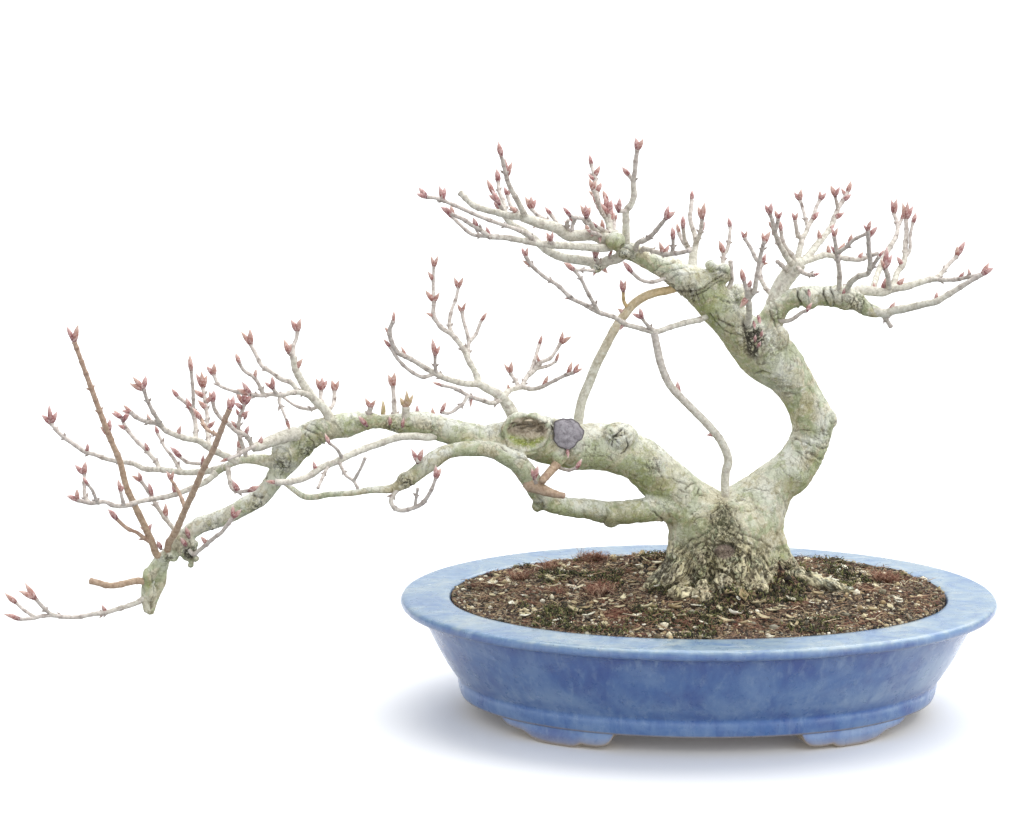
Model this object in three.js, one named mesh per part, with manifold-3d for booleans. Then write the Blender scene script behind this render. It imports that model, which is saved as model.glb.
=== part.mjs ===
// A Japanese maple bonsai in a blue oval pot: a leafless cascading tree with winter buds, its soil and pot.
// Millimetres, +Z up, the pot's long side along X and its front towards -Y.
import * as THREE from 'three';
import { mergeVertices } from 'three/addons/utils/BufferGeometryUtils.js';
import Module from 'manifold-3d';

const wasm = await Module();
wasm.setup();

// Driving dimensions of the pot
const POT_LENGTH = 400;
const POT_WIDTH = 302;
const POT_HEIGHT = 79;
const FOOT_HEIGHT = 11;
const LIP_WIDTH = 32;
const OVAL_POWER = 2.06;
const POT_SIDES = 32;
const DRAIN_HOLE_X = 78;
const DRAIN_HOLE_RADIUS = 13;

// The gap that touching pieces keep
const GAP = 0.3;
const TUBE_GAP = 0.42;

// Branch points are read in the front view, on the upright plane through the pot's centre, as seen from EYE.
// A depth moves a point back (+) or forward (-) along its own line of sight.
const EYE = new THREE.Vector3(-125, -1661, 489);

function place(x, z, depth) {
  const share = -depth / EYE.y;
  return new THREE.Vector3(x + (x - EYE.x) * share, depth, z + (z - EYE.z) * share);
}

// Closed solids and their joins

function solidOf(geometry) {
  const bare = geometry.clone();
  bare.deleteAttribute('normal');
  bare.deleteAttribute('uv');
  const merged = mergeVertices(bare, 1e-4);
  return new wasm.Manifold(new wasm.Mesh({
    numProp: 3,
    vertProperties: new Float32Array(merged.attributes.position.array),
    triVerts: new Uint32Array(merged.index.array),
  }));
}

function geometryOf(vertices, triangles) {
  const geometry = new THREE.BufferGeometry();
  const numbers = vertices.flatMap((vertex) => vertex.toArray());
  geometry.setAttribute('position', new THREE.Float32BufferAttribute(numbers, 3));
  geometry.setIndex(triangles);
  return geometry;
}

function geometryOfSolid(solid) {
  const mesh = solid.getMesh();
  const geometry = new THREE.BufferGeometry();
  geometry.setAttribute('position', new THREE.BufferAttribute(new Float32Array(mesh.vertProperties), 3));
  geometry.setIndex(new THREE.BufferAttribute(new Uint32Array(mesh.triVerts), 1));
  geometry.computeVertexNormals();
  return geometry;
}

function joined(solids) {
  return wasm.Manifold.union(solids);
}

// The one main body: scraps, sealed hollows and seams finer than SEAM are left out
const SEAM = 0.26;
const LARGEST_SCRAP = 6;

function mainBody(solid) {
  const bodies = solid.decompose().sort((a, b) => b.volume() - a.volume());
  const lost = bodies.slice(1).filter((body) => body.volume() > LARGEST_SCRAP);
  if (lost.length > 0) {
    const box = lost[0].boundingBox();
    throw new Error(`a piece of ${lost[0].volume().toFixed(0)} mm3 is loose at ${box.min} to ${box.max}`);
  }
  return bodies[0].asOriginal().simplify(SEAM);
}

// Rings of equal vertex count stacked between two end points or flat ends
function stackedRings(rings, first, last) {
  const sides = rings[0].length;
  const vertices = rings.flat();
  const triangles = [];
  for (let row = 0; row + 1 < rings.length; row += 1) {
    for (let side = 0; side < sides; side += 1) {
      const a = row * sides + side;
      const b = row * sides + ((side + 1) % sides);
      triangles.push(a, b, b + sides, a, b + sides, a + sides);
    }
  }
  vertices.push(first, last);
  const end = vertices.length - 1;
  const top = (rings.length - 1) * sides;
  for (let side = 0; side < sides; side += 1) {
    const next = (side + 1) % sides;
    triangles.push(end - 1, next, side);
    triangles.push(end, top + side, top + next);
  }
  return geometryOf(vertices, triangles);
}

function middleOf(ring) {
  return ring.reduce((sum, corner) => sum.add(corner), new THREE.Vector3()).divideScalar(ring.length);
}

// A tapering closed tube through points, with a radius at each; the ends stand out by `grow`
function tube(points, radii, sides, grow = 0) {
  const tangents = points.map((point, i) => {
    const before = points[Math.max(i - 1, 0)];
    const after = points[Math.min(i + 1, points.length - 1)];
    const into = point.clone().sub(before).normalize();
    const out = after.clone().sub(point).normalize();
    return into.add(out).normalize();
  });
  let across = new THREE.Vector3(0, 1, 0).cross(tangents[0]);
  if (across.length() < 0.1) across = new THREE.Vector3(1, 0, 0).cross(tangents[0]);
  const rings = points.map((point, i) => {
    const tangent = tangents[i];
    across.addScaledVector(tangent, -across.dot(tangent)).normalize();
    const up = tangent.clone().cross(across);
    const ends = (i === points.length - 1 ? grow : 0) - (i === 0 ? grow : 0);
    return Array.from({ length: sides }, (unused, side) => {
      const angle = (2 * Math.PI * side) / sides;
      return point.clone()
        .addScaledVector(tangent, ends)
        .addScaledVector(across, Math.cos(angle) * (radii[i] + grow))
        .addScaledVector(up, Math.sin(angle) * (radii[i] + grow));
    });
  });
  const first = middleOf(rings[0]).addScaledVector(tangents[0], -0.4 * radii[0]);
  const last = middleOf(rings.at(-1)).addScaledVector(tangents.at(-1), 0.4 * radii.at(-1));
  return solidOf(stackedRings(rings, first, last));
}

// A winter bud: a spindle on a pointed root that sits in its twig
const BUD_SIDES = 3;
const BUD_ROOT = 1.6;

function bud(base, tip, width) {
  const along = tip.clone().sub(base);
  const length = along.length();
  along.normalize();
  const across = new THREE.Vector3(0, 1, 0).cross(along).normalize();
  const up = along.clone().cross(across);
  const ring = Array.from({ length: BUD_SIDES }, (unused, side) => {
    const angle = (2 * Math.PI * (side + 0.25)) / BUD_SIDES;
    return base.clone()
      .addScaledVector(along, 0.34 * length)
      .addScaledVector(across, (Math.cos(angle) * width) / 2)
      .addScaledVector(up, (Math.sin(angle) * width) / 2);
  });
  return solidOf(stackedRings([ring], base.clone().addScaledVector(along, -BUD_ROOT), tip));
}

function knob(centre, radii) {
  const geometry = new THREE.IcosahedronGeometry(1, 1);
  geometry.scale(...radii);
  geometry.translate(...centre.toArray());
  return solidOf(geometry);
}

// Twigs: a spray is a list of twigs, each growing from the nearest point of what is built before it

const SIDES_BY_RADIUS = [[9, 9], [5, 7], [2.3, 5], [0, 4]];
const BEND_TOLERANCE = 1.25;
const ROOT_SINK = 0.5;
const WANDER = 1.6;
const LEAN = 1.5;

function sidesFor(radius) {
  return SIDES_BY_RADIUS.find(([least]) => radius >= least)[1];
}

// Drops the points of a branch that lie close to the straight line between their neighbours
function simplified(branch) {
  const points = branch.map((point) => place(...point));
  const foot = new THREE.Vector3();
  const keep = [0];
  for (let to = 2; to < points.length; to += 1) {
    const from = keep.at(-1);
    const line = new THREE.Line3(points[from], points[to]);
    const strays = points.slice(from + 1, to).some((point) => {
      line.closestPointToPoint(point, true, foot);
      return foot.distanceTo(point) > BEND_TOLERANCE;
    });
    if (strays) keep.push(to - 1);
  }
  keep.push(points.length - 1);
  return keep.map((i) => branch[i]);
}

// The nearest spot, in the front view, on the branches built so far
function nearestSpot(branches, x, z) {
  let best = { distance: Infinity };
  for (const branch of branches) {
    for (let i = 0; i + 1 < branch.length; i += 1) {
      const [ax, az, ay] = branch[i];
      const [bx, bz, by] = branch[i + 1];
      const squared = (bx - ax) ** 2 + (bz - az) ** 2 || 1;
      const share = Math.min(Math.max(((x - ax) * (bx - ax) + (z - az) * (bz - az)) / squared, 0), 1);
      const spot = [ax + share * (bx - ax), az + share * (bz - az), ay + share * (by - ay)];
      const distance = Math.hypot(spot[0] - x, spot[1] - z);
      if (distance < best.distance) best = { distance, spot };
    }
  }
  return best.spot;
}

// A twig's points as [x, z, depth, radius]: it leans away from its root by `lean`, with a slight wander
function grown(twig, parents, others) {
  const root = nearestSpot(parents, ...twig.path[0]);
  const route = [...twig.path];
  if (Math.hypot(root[0] - route[0][0], root[1] - route[0][1]) > ROOT_SINK) route.unshift(root);
  const reach = [0];
  for (let i = 1; i < route.length; i += 1) {
    reach.push(reach[i - 1] + Math.hypot(route[i][0] - route[i - 1][0], route[i][1] - route[i - 1][1]));
  }
  const end = twig.joins ? nearestSpot(others, ...route.at(-1)) : null;
  const lean = end ? end[2] - root[2] : twig.lean * LEAN;
  const [thick, thin] = twig.radii;
  return simplified(route.map(([x, z], i) => {
    const share = reach[i] / reach.at(-1);
    const wander = Math.sin(0.11 * x + 0.07 * z) * WANDER * Math.sin(Math.PI * share);
    return [x, z, root[2] + lean * share ** 0.85 + wander, thick + (thin - thick) * share];
  }));
}

const BUD_SPREAD = 1.2;
const BUD_SLENDER = 0.36;
const BUD_WIDEST = 3.9;

function budWidth(length) {
  return Math.min(length * BUD_SLENDER, BUD_WIDEST);
}

function budAt(root, tipX, tipZ, side) {
  const base = place(...root);
  const tip = place(tipX, tipZ, root[2] + side * BUD_SPREAD);
  return bud(base, tip, budWidth(base.distanceTo(tip)));
}

function twigSolids(twigs, trunks) {
  const branches = [...trunks];
  const solids = [];
  twigs.forEach((twig, order) => {
    const parents = order === 0 || twig.fromLimb ? trunks : branches.slice(trunks.length);
    const line = grown(twig, parents, branches);
    branches.push(line);
    const radii = line.map((point) => point[3]);
    solids.push(tube(line.map((point) => place(...point)), radii, sidesFor(twig.radii[0])));
    (twig.tips ?? []).forEach(([x, z], i) => solids.push(budAt(line.at(-1), x, z, i % 2 ? -1 : 1)));
    (twig.buds ?? []).forEach(([x, z, tipX, tipZ], i) => {
      solids.push(budAt(nearestSpot([line], x, z), tipX, tipZ, i % 2 ? 1 : -1));
    });
  });
  return solids;
}

// Limbs: [x, z, depth, radius] in the front view

const RIGHT_TRUNK = [
  [32, 128, 16, 28], [50, 153, 19, 16], [63, 164.5, 21, 14.5], [71.5, 179, 23, 13.2], [75, 190, 24, 13.4],
  [74, 201, 24.5, 14], [67.5, 213.5, 24, 13.2], [59, 227, 22, 14.8], [49, 237, 20, 17.6],
  [37, 247, 17, 17.2],
  [22, 261, 14, 13], [10, 276, 12.5, 13.2], [-1, 287, 11, 12.6], [-11, 292, 10, 10.8], [-22, 299, 9, 8.3],
  [-36, 304.5, 7.5, 5.8], [-47, 311, 6.5, 6.2], [-55, 315, 5.5, 5], [-64, 318.6, 4.5, 4.2],
];
const LEFT_LIMB = [
  [4, 128, 14, 24], [-8, 141, 13, 19], [-18, 150, 12, 17], [-29, 160.5, 9, 16], [-39, 170, 6, 15.4],
  [-52, 176, 3, 15], [-65, 179.5, 0, 15.8], [-79, 179, -3, 15.2], [-90, 181.5, -4, 16],
  [-102, 184, -5, 15.5],
  [-115, 187, -6, 14], [-128, 186, -7, 11.8], [-142, 185.5, -8, 8.8], [-155, 187.5, -8, 8.6],
  [-170, 191, -8, 8.6],
  [-185, 195.5, -7, 8.2], [-200, 195.5, -6, 6.6], [-212, 196.5, -5, 4.8], [-222, 197, -4, 6.2],
  [-233, 195, -2, 8.3],
  [-245, 192.5, 0, 8], [-255, 189.5, 2, 8.8], [-263, 185, 4, 9.4], [-269, 178, 5, 9.2], [-275, 170, 6, 8.2],
  [-281, 162, 7, 6.8], [-287, 153, 8, 6], [-294, 145, 9, 6.4], [-303, 139.5, 9.5, 6.1], [-313, 134, 10, 6],
  [-325, 129, 10, 5.8], [-335, 125.5, 10, 5.6], [-345, 118, 10, 5.4], [-354, 109, 11, 4.8],
  [-361, 101, 12, 4.2],
];
const LOWER_LIMB = [
  [-4, 134, 9, 13], [-18, 137.5, 4, 10], [-30, 137, 0, 8.8], [-48, 135, -6, 7.8], [-60, 134.5, -9, 7.6],
  [-75, 137, -12, 7], [-90, 139, -15, 6.5], [-99, 141, -17, 6.3], [-106, 146, -18.5, 6.2],
  [-111, 155, -20, 6.6],
  [-118, 165, -21, 6.8], [-128, 172.5, -22, 6], [-140, 177.5, -22, 5.3], [-155, 178, -21, 5],
  [-168, 176, -20, 5],
  [-178, 170, -20, 5.8], [-188, 162, -20, 5.4], [-196, 156, -21, 4.6], [-205, 151, -22, 2.4],
  [-220, 150, -22, 1.7], [-232, 148, -21, 1.5], [-247, 147, -19, 1.4], [-262, 145, -15, 1.4],
  [-271, 150, -9, 1.4],
  [-281, 159, 3, 1.4],
];
const RIGHT_LIMB = [
  [38, 247, 17, 15], [46, 264, 16, 9], [52, 274.5, 15, 7.4], [60, 279, 14, 6.5], [70, 281, 12, 7],
  [80, 281, 10, 6.5], [90, 280.5, 8, 7.5], [97, 279, 7, 7.5], [104, 276, 6, 6.2], [110, 272, 5, 5],
  [118, 269.5, 4, 3.8],
];
const CASCADE_STEM = [
  [-278, 167, 6, 5.5], [-290, 170, 5, 4.2], [-300, 171, 4, 3.2], [-309, 169.5, 3, 2.6],
  [-317, 165.5, 2, 2.4],
  [-323, 161.5, 2, 2.2],
];
const HOOK_FRONT = [[-361, 103, 12, 4.4], [-366, 96, 11, 4.2], [-370, 87, 10, 3.8], [-372, 77, 9, 3.2],
  [-371, 66, 9, 2.6]];
const HOOK_BACK = [[-359, 103, 13, 4.4], [-361, 94, 15, 4], [-362, 86, 16, 3.8], [-366, 76, 15, 3.2],
  [-369.5, 65, 11, 2.8]];
const LIMBS = [
  RIGHT_TRUNK, LEFT_LIMB, LOWER_LIMB, RIGHT_LIMB, CASCADE_STEM, HOOK_FRONT, HOOK_BACK,
];

// Swellings of the limbs: [x, z, depth, half-width, half-depth, half-height]
const SWELLINGS = [
  [-275, 175, 4, 10.5, 10.5, 10.5], [11, 295, 9, 8, 8, 8], [24, 281, 12, 7, 7, 8],
  [86, 198, 22, 5.5, 6, 6.5],
  [-59, 129, -8, 5.5, 5.5, 4.5], [-196, 157, -21, 5.8, 5.5, 5.5], [95, 280, 6, 9, 8.5, 8.5],
  [-57, 188, -6, 11, 12, 10], [-343, 110, 7, 6.5, 6, 9],
];

// The healed cut on the limb: a raised ring round a shallow hollow, facing the front
const CALLUS = { x: -115, z: 189, depth: -19, width: 16, height: 12.5, rim: 3.4 };

function callusRing(grow) {
  const geometry = new THREE.TorusGeometry(1, 0.25, 5, 14);
  geometry.scale(CALLUS.width - CALLUS.rim / 2, CALLUS.height - CALLUS.rim / 2, CALLUS.rim / 0.25 + grow);
  geometry.rotateX(Math.PI / 2);
  geometry.translate(...place(CALLUS.x, CALLUS.z, CALLUS.depth).toArray());
  return solidOf(geometry);
}

// The foot of the trunk: rings that widen into surface roots
const TRUNK_FOOT = { x: 21, depth: 15, lobes: 5, sides: 16 };
const FOOT_RINGS = [
  // height, half-width, half-depth, how far the root lobes stand out
  [50, 34, 30, 0.1], [70, 50, 42, 0.24], [80, 52, 44, 0.26], [88, 48, 41, 0.22], [97, 43.5, 38, 0.14],
  [108, 40, 36, 0.07], [120, 38, 34.5, 0.04], [131, 36, 32, 0.02], [141, 27, 25, 0],
];

function trunkFoot(grow) {
  const { x, depth, lobes, sides } = TRUNK_FOOT;
  const rings = FOOT_RINGS.map(([height, halfWidth, halfDepth, lobe], row) => {
    const ends = (row === FOOT_RINGS.length - 1 ? grow : 0) - (row === 0 ? grow : 0);
    return Array.from({ length: sides }, (unused, side) => {
      const angle = (2 * Math.PI * side) / sides;
      const swell = 1 + lobe * Math.cos(lobes * angle + 0.6) + lobe * 0.4 * Math.cos(3 * angle + 2);
      const lean = (height - 90) * -0.06;
      return new THREE.Vector3(
        x + lean + Math.cos(angle) * (halfWidth * swell + grow),
        depth + Math.sin(angle) * (halfDepth * swell + grow),
        height + ends,
      );
    });
  });
  const middle = (height) => new THREE.Vector3(x, depth, height);
  const [bottom, top] = [FOOT_RINGS[0][0] - grow - 2, FOOT_RINGS.at(-1)[0] + grow + 4];
  return solidOf(stackedRings(rings, middle(bottom), middle(top)));
}

// Roots: [x, y, z, radius] in true positions; the first two lie on the soil, the rest are in it
const ROOTS = [
  [[52, 6, 92, 10], [72, -4, 89, 6], [88, -10, 85.5, 4], [104, -20, 80, 3]],
  [[2, -8, 90, 11], [-12, -20, 84, 6.5], [-24, -32, 78, 4.5]],
  [[34, -8, 88, 12], [38, -28, 84, 7], [44, -44, 76, 5]],
  [[-4, 20, 74, 12], [-38, 26, 64, 7], [-72, 22, 52, 4], [-100, 30, 42, 2.5]],
  [[50, 30, 72, 12], [78, 48, 60, 7], [104, 56, 46, 4], [124, 50, 38, 2.5]],
  [[20, 40, 70, 11], [6, 70, 58, 6], [-14, 88, 46, 3]],
  [[30, -10, 66, 10], [60, -48, 54, 5.5], [90, -62, 44, 3]],
];

// Short twigs and resting buds that stand straight on the trunk and limbs
const LIMB_TWIGS = [
  { path: [[-24, 293], [-33, 290], [-40, 291.5], [-46, 296.5]], radii: [1.3, 1], lean: -10,
    tips: [[-53, 305]] },
  { path: [[19, 288], [19, 304]], radii: [1.5, 1.3], lean: -3 },
  { path: [[54, 264], [60, 265], [67, 270], [70, 271]], radii: [1.5, 1.1], lean: -12, tips: [[74, 277]] },
  { path: [[94, 280], [95, 288]], radii: [1.4, 1.4], lean: -2 },
  { path: [[-222, 198], [-219, 206]], radii: [1.6, 1.4], lean: -3, tips: [[-223, 213.5], [-215, 212]] },
  { path: [[-211, 197], [-211, 203]], radii: [2, 2], lean: 2, tips: [[-211, 213.5]] },
  { path: [[-203, 198], [-203.5, 210], [-204, 220]], radii: [1.5, 1.2], lean: 5, tips: [[-207.5, 229.5],
    [-202.5, 231]] },
  { path: [[-196, 198], [-195.5, 206]], radii: [2.4, 2.2], lean: -4, tips: [[-200, 214], [-195, 219],
    [-190, 216]] },
  { path: [[-187, 172], [-188, 169]], radii: [1.8, 1.6], lean: -4, tips: [[-193, 179.5], [-183.5, 179.5]] },
  { path: [[-188, 198], [-188, 201]], radii: [1.6, 1.6], lean: 0, tips: [[-188, 209]] },
  { path: [[-177, 196], [-177.5, 199]], radii: [1.6, 1.6], lean: 3, tips: [[-178, 207]] },
  { path: [[-96, 168], [-100, 164], [-104, 160], [-108, 162]], radii: [1.4, 1], lean: -20 },
  { path: [[-308, 170], [-307, 178]], radii: [1.5, 1.4], lean: 3, tips: [[-307, 187.5]] },
  { path: [[-302, 171], [-305, 181], [-307.5, 190]], radii: [1.2, 1], lean: -7, tips: [[-309, 197]] },
];

// Sprays: twigs with their front-view path, root and tip radius, lean in depth, end buds and side buds

const CROWN_LEFT_HIGH = [
  { path: [[-58, 316.5], [-64, 318.6], [-72, 321.5], [-80, 321], [-88, 321], [-95, 325.5], [-107, 329],
    [-118, 333]],
    radii: [4, 2.8], lean: -14, buds: [[-74, 321, -77, 330], [-107, 329, -112, 325]] },
  { path: [[-118, 333], [-128, 334], [-135, 336], [-143, 338], [-150, 340.5], [-155, 345], [-159, 349]],
    radii: [2.1, 1.9], lean: 16 },
  { path: [[-116, 333], [-118, 337], [-121, 343], [-126, 352], [-128, 357], [-129, 361], [-132, 373]],
    radii: [1.8, 1.1], lean: -20, tips: [[-134, 384]], buds: [[-128, 362, -129.5, 373],
      [-128, 359, -124, 371]] },
  { path: [[-119, 334], [-122, 336], [-126, 341], [-128, 347]], radii: [1.4, 1.1], lean: 9,
    tips: [[-130.5, 354], [-126, 353]], buds: [[-122, 335, -128, 341]] },
  { path: [[-98, 327], [-103, 331], [-107, 333], [-112, 338]], radii: [1.5, 1.2], lean: 20,
    tips: [[-117, 347.5], [-112.5, 348], [-108.5, 346]] },
  { path: [[-93, 325], [-96, 330], [-99, 334]], radii: [1.3, 1.1], lean: 12, tips: [[-104, 341]] },
  { path: [[-70, 321], [-73, 328], [-76, 333]], radii: [1.7, 1.3], lean: -22,
    tips: [[-81, 342], [-77, 342.5], [-73, 341]] },
  { path: [[-76, 329], [-79, 332], [-84, 332.5], [-87, 334]], radii: [1.2, 1.1], lean: -14,
    tips: [[-92.5, 340.5]] },
];

const CROWN_LEFT_TOP = [
  { path: [[-58, 316], [-60.5, 323], [-62, 331], [-66, 337], [-69, 345], [-70, 352], [-71, 360],
    [-73, 367]],
    radii: [2.3, 1.1], lean: 30, tips: [[-74.5, 375]],
    buds: [[-70, 357, -76, 362], [-70, 360, -66.5, 368], [-69, 346, -75.5, 351], [-69, 349, -66, 357],
      [-65, 336, -62, 345], [-62, 331, -58, 340]] },
];

const CROWN_LEFT_LOW = [
  { path: [[-57, 315.5], [-62, 313], [-68, 312.5], [-80, 313.5], [-97, 314.5], [-110, 316], [-118, 317.5],
    [-130, 319.5],
    [-140, 320]], radii: [2.6, 1.6], lean: -46, buds: [[-99, 315, -103, 321], [-141, 320, -142, 328]] },
  { path: [[-110, 316.5], [-115, 322], [-121, 324.5], [-130, 327.5], [-140, 331], [-150, 335],
    [-160, 339.5], [-167, 342.5],
    [-175, 345.5], [-181, 346]], radii: [1.3, 1.1], lean: -32, tips: [[-187, 354], [-189, 349]],
    buds: [[-170, 343, -173, 355], [-171, 344, -168.5, 354]] },
  { path: [[-141, 321], [-148, 326], [-152, 328], [-157, 331.5], [-165, 335]], radii: [1.3, 1.1], lean: -3,
    tips: [[-173, 340.5], [-168.5, 340.5]], buds: [[-148, 326, -151, 334]] },
  { path: [[-141, 320.5], [-151, 321.5], [-158, 327], [-164, 333]], radii: [1.2, 1.1], lean: 14,
    tips: [[-170, 339], [-165.5, 342]] },
];

const CROWN_LEFT_BACK = [
  { path: [[-50, 312], [-55, 306], [-62, 304], [-69, 300], [-72, 303], [-80, 304.5], [-90, 306],
    [-97, 308.5], [-103, 312],
    [-110, 318], [-118, 324], [-125, 328], [-130, 335], [-134, 343], [-137, 348]], radii: [3.4, 1.6],
    lean: 48,
    tips: [[-142, 359.5]], buds: [[-138, 341, -141.5, 348], [-64, 303, -63, 296], [-69, 300, -72, 293]] },
  { path: [[-129, 334], [-131, 344], [-133.5, 350], [-134, 356]], radii: [1.4, 1.1], lean: 12,
    tips: [[-135.5, 366]] },
];

const CROWN_TOP = [
  { path: [[-50, 312], [-50, 320], [-50, 330], [-50, 337], [-47, 341], [-45, 347], [-45.5, 356],
    [-44.5, 363], [-44, 370],
    [-43, 377]], radii: [2.5, 1.2], lean: -14, tips: [[-44.5, 386.5], [-38.5, 385.5]] },
  { path: [[-46, 357], [-48, 360]], radii: [1.2, 1.1], lean: 3, tips: [[-53.5, 367]] },
  { path: [[-50, 337], [-55, 337]], radii: [1.4, 1.2], lean: -5, tips: [[-58.5, 343], [-54, 347]] },
];

const CROWN_FRONT = [
  { path: [[-44, 310], [-42, 316], [-37, 318], [-33, 321], [-28, 327], [-24, 332]], radii: [1.6, 1.2],
    lean: -34,
    tips: [[-21.5, 342], [-16.5, 337.5]] },
];

const CROWN_MIDDLE = [
  { path: [[-42, 308], [-38, 312], [-30, 310], [-24, 308.5], [-14, 309.5], [-8, 311]], radii: [1.6, 1.2],
    lean: -24,
    buds: [[-25, 309, -28.5, 318], [-25, 309, -21, 316]] },
  { path: [[-19.5, 309], [-19, 313], [-19, 319]], radii: [1.1, 1], lean: -6, tips: [[-20, 328]] },
];

const CROWN_CENTRE = [
  { path: [[-6, 295], [-6, 303], [-5.5, 309]], radii: [3.2, 2.6], lean: 10 },
  { path: [[-6, 309], [-9, 312], [-13, 318], [-15, 322]], radii: [1.6, 1.2], lean: 18, tips: [[-17, 330]] },
  { path: [[-9, 313], [-11, 317], [-12.5, 326]], radii: [1.3, 1.1], lean: -8, tips: [[-12.5, 335.5]] },
  { path: [[-5, 309], [-4, 316], [-5, 322], [-7, 328], [-8, 333], [-7.5, 338], [-7, 344]],
    radii: [1.7, 1.2], lean: 16,
    tips: [[-6.5, 352]] },
  { path: [[-4, 315], [-3, 318], [-1, 323], [-0.5, 327], [0, 332]], radii: [1.5, 1.1], lean: -12,
    tips: [[-3.5, 341], [2, 344]], buds: [[-1, 323, 2.5, 331]] },
];

const CROWN_STEM = [
  { path: [[12, 294], [14, 302], [14.5, 309]], radii: [1.8, 1.3], lean: 14, buds: [[14.5, 309, 11, 319]] },
  { path: [[14.5, 309], [16.5, 311], [18, 318], [18.5, 326]], radii: [1.2, 1], lean: 7, tips: [[17, 334]] },
];

const CROWN_INNER = [
  { path: [[30, 262], [32, 270], [31, 279], [30.5, 286]], radii: [2.2, 1.7], lean: -24, tips: [[33, 292.5]],
    buds: [[31, 280, 25, 272]] },
  { path: [[30, 285], [28, 291]], radii: [1.2, 1.1], lean: -3, tips: [[26, 300.5]] },
  { path: [[31, 279], [35, 284], [36, 290], [37, 297], [38, 304]], radii: [1.6, 1.2], lean: -8 },
  { path: [[38, 304], [36, 305], [33, 311], [30, 316], [28, 319]], radii: [1.2, 1.1], lean: 4,
    tips: [[25.5, 325], [30, 325]] },
  { path: [[38, 304], [40, 313], [41, 317]], radii: [1.2, 1.1], lean: -6, tips: [[39.5, 324]],
    buds: [[40, 315, 46, 325]] },
];

const CROWN_INNER_RIGHT = [
  { path: [[48, 272], [47, 280], [42, 287], [39, 293], [38.5, 298], [40, 302]], radii: [1.5, 1.2], lean: 24,
    tips: [[42.5, 310], [45, 303]] },
];

const CROWN_RIGHT = [
  { path: [[48, 272], [50, 280], [53, 288], [57, 294], [61, 299], [64, 303]], radii: [5, 4.9], lean: 2 },
  { path: [[58, 296], [53, 301], [50, 303.5]], radii: [1.6, 1.2], lean: -14 },
  { path: [[62, 301], [57, 305], [54, 310], [51, 315], [49, 320], [47, 326], [46, 331], [44.5, 335]],
    radii: [2, 1.2],
    lean: -26, tips: [[40.5, 342.5], [45.5, 343.5]], buds: [[47, 325, 43, 331]] },
  { path: [[48.5, 325], [50, 332]], radii: [1.1, 1], lean: -4, tips: [[47, 338.5], [53, 337.5]] },
  { path: [[61, 302], [60, 307], [56, 312], [53, 318], [52, 324]], radii: [1.5, 1.1], lean: -8,
    tips: [[51, 332]] },
  { path: [[63, 302], [63.5, 307], [65, 314], [66, 319]], radii: [2, 1.6], lean: 8 },
  { path: [[66, 319], [63, 321], [62, 326], [61, 331]], radii: [1.4, 1.1], lean: -6, tips: [[58.5, 337],
    [63, 337]] },
  { path: [[66, 319], [68, 322], [70, 327], [73, 333], [75, 340], [77, 344]], radii: [1.5, 1.1], lean: 14,
    tips: [[77, 351.5], [82, 350]], buds: [[72, 331, 77.5, 337.5]] },
  { path: [[69.5, 326], [67, 335], [65.5, 340], [64, 344]], radii: [1.1, 1], lean: 9, tips: [[59.5, 350.5],
    [65, 352.5]] },
  { path: [[65, 303], [68, 305], [72, 309.5], [76, 315], [81, 321], [85, 327], [87, 333], [90, 340],
    [93, 345], [95, 349]],
    radii: [2.4, 1.2], lean: 34, tips: [[97.5, 358]],
    buds: [[92, 344, 98.5, 349], [94, 347, 90.5, 353], [78, 317, 76.5, 326], [83, 324, 88, 329],
      [87, 332, 94.5, 337]] },
  { path: [[89, 339], [88, 343], [87, 347]], radii: [1.1, 1], lean: -6, tips: [[83.5, 355], [90.5, 354]] },
  { path: [[66, 303], [75, 306], [82, 308], [88, 307], [96, 305.5], [104, 305], [110, 307], [116, 309]],
    radii: [2, 1.3],
    lean: 22, buds: [[84, 308, 83, 316], [103, 305, 107, 311]] },
  { path: [[63, 300], [66, 297], [70, 295], [74, 294.5]], radii: [1.4, 1.2], lean: -22, tips: [[79, 296]] },
];

const RIGHT_RISE = [
  { path: [[91, 281], [91, 289], [91, 296], [90, 303], [89, 309], [88, 315], [87, 320]], radii: [1.7, 1.1],
    lean: -20,
    tips: [[85, 327], [89.5, 327]], buds: [[89, 309, 84, 315], [90, 308, 95, 318]] },
  { path: [[90, 310], [95, 313], [100, 318], [108, 322]], radii: [1.2, 1], lean: -12,
    buds: [[97, 315, 99, 323]] },
];

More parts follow.
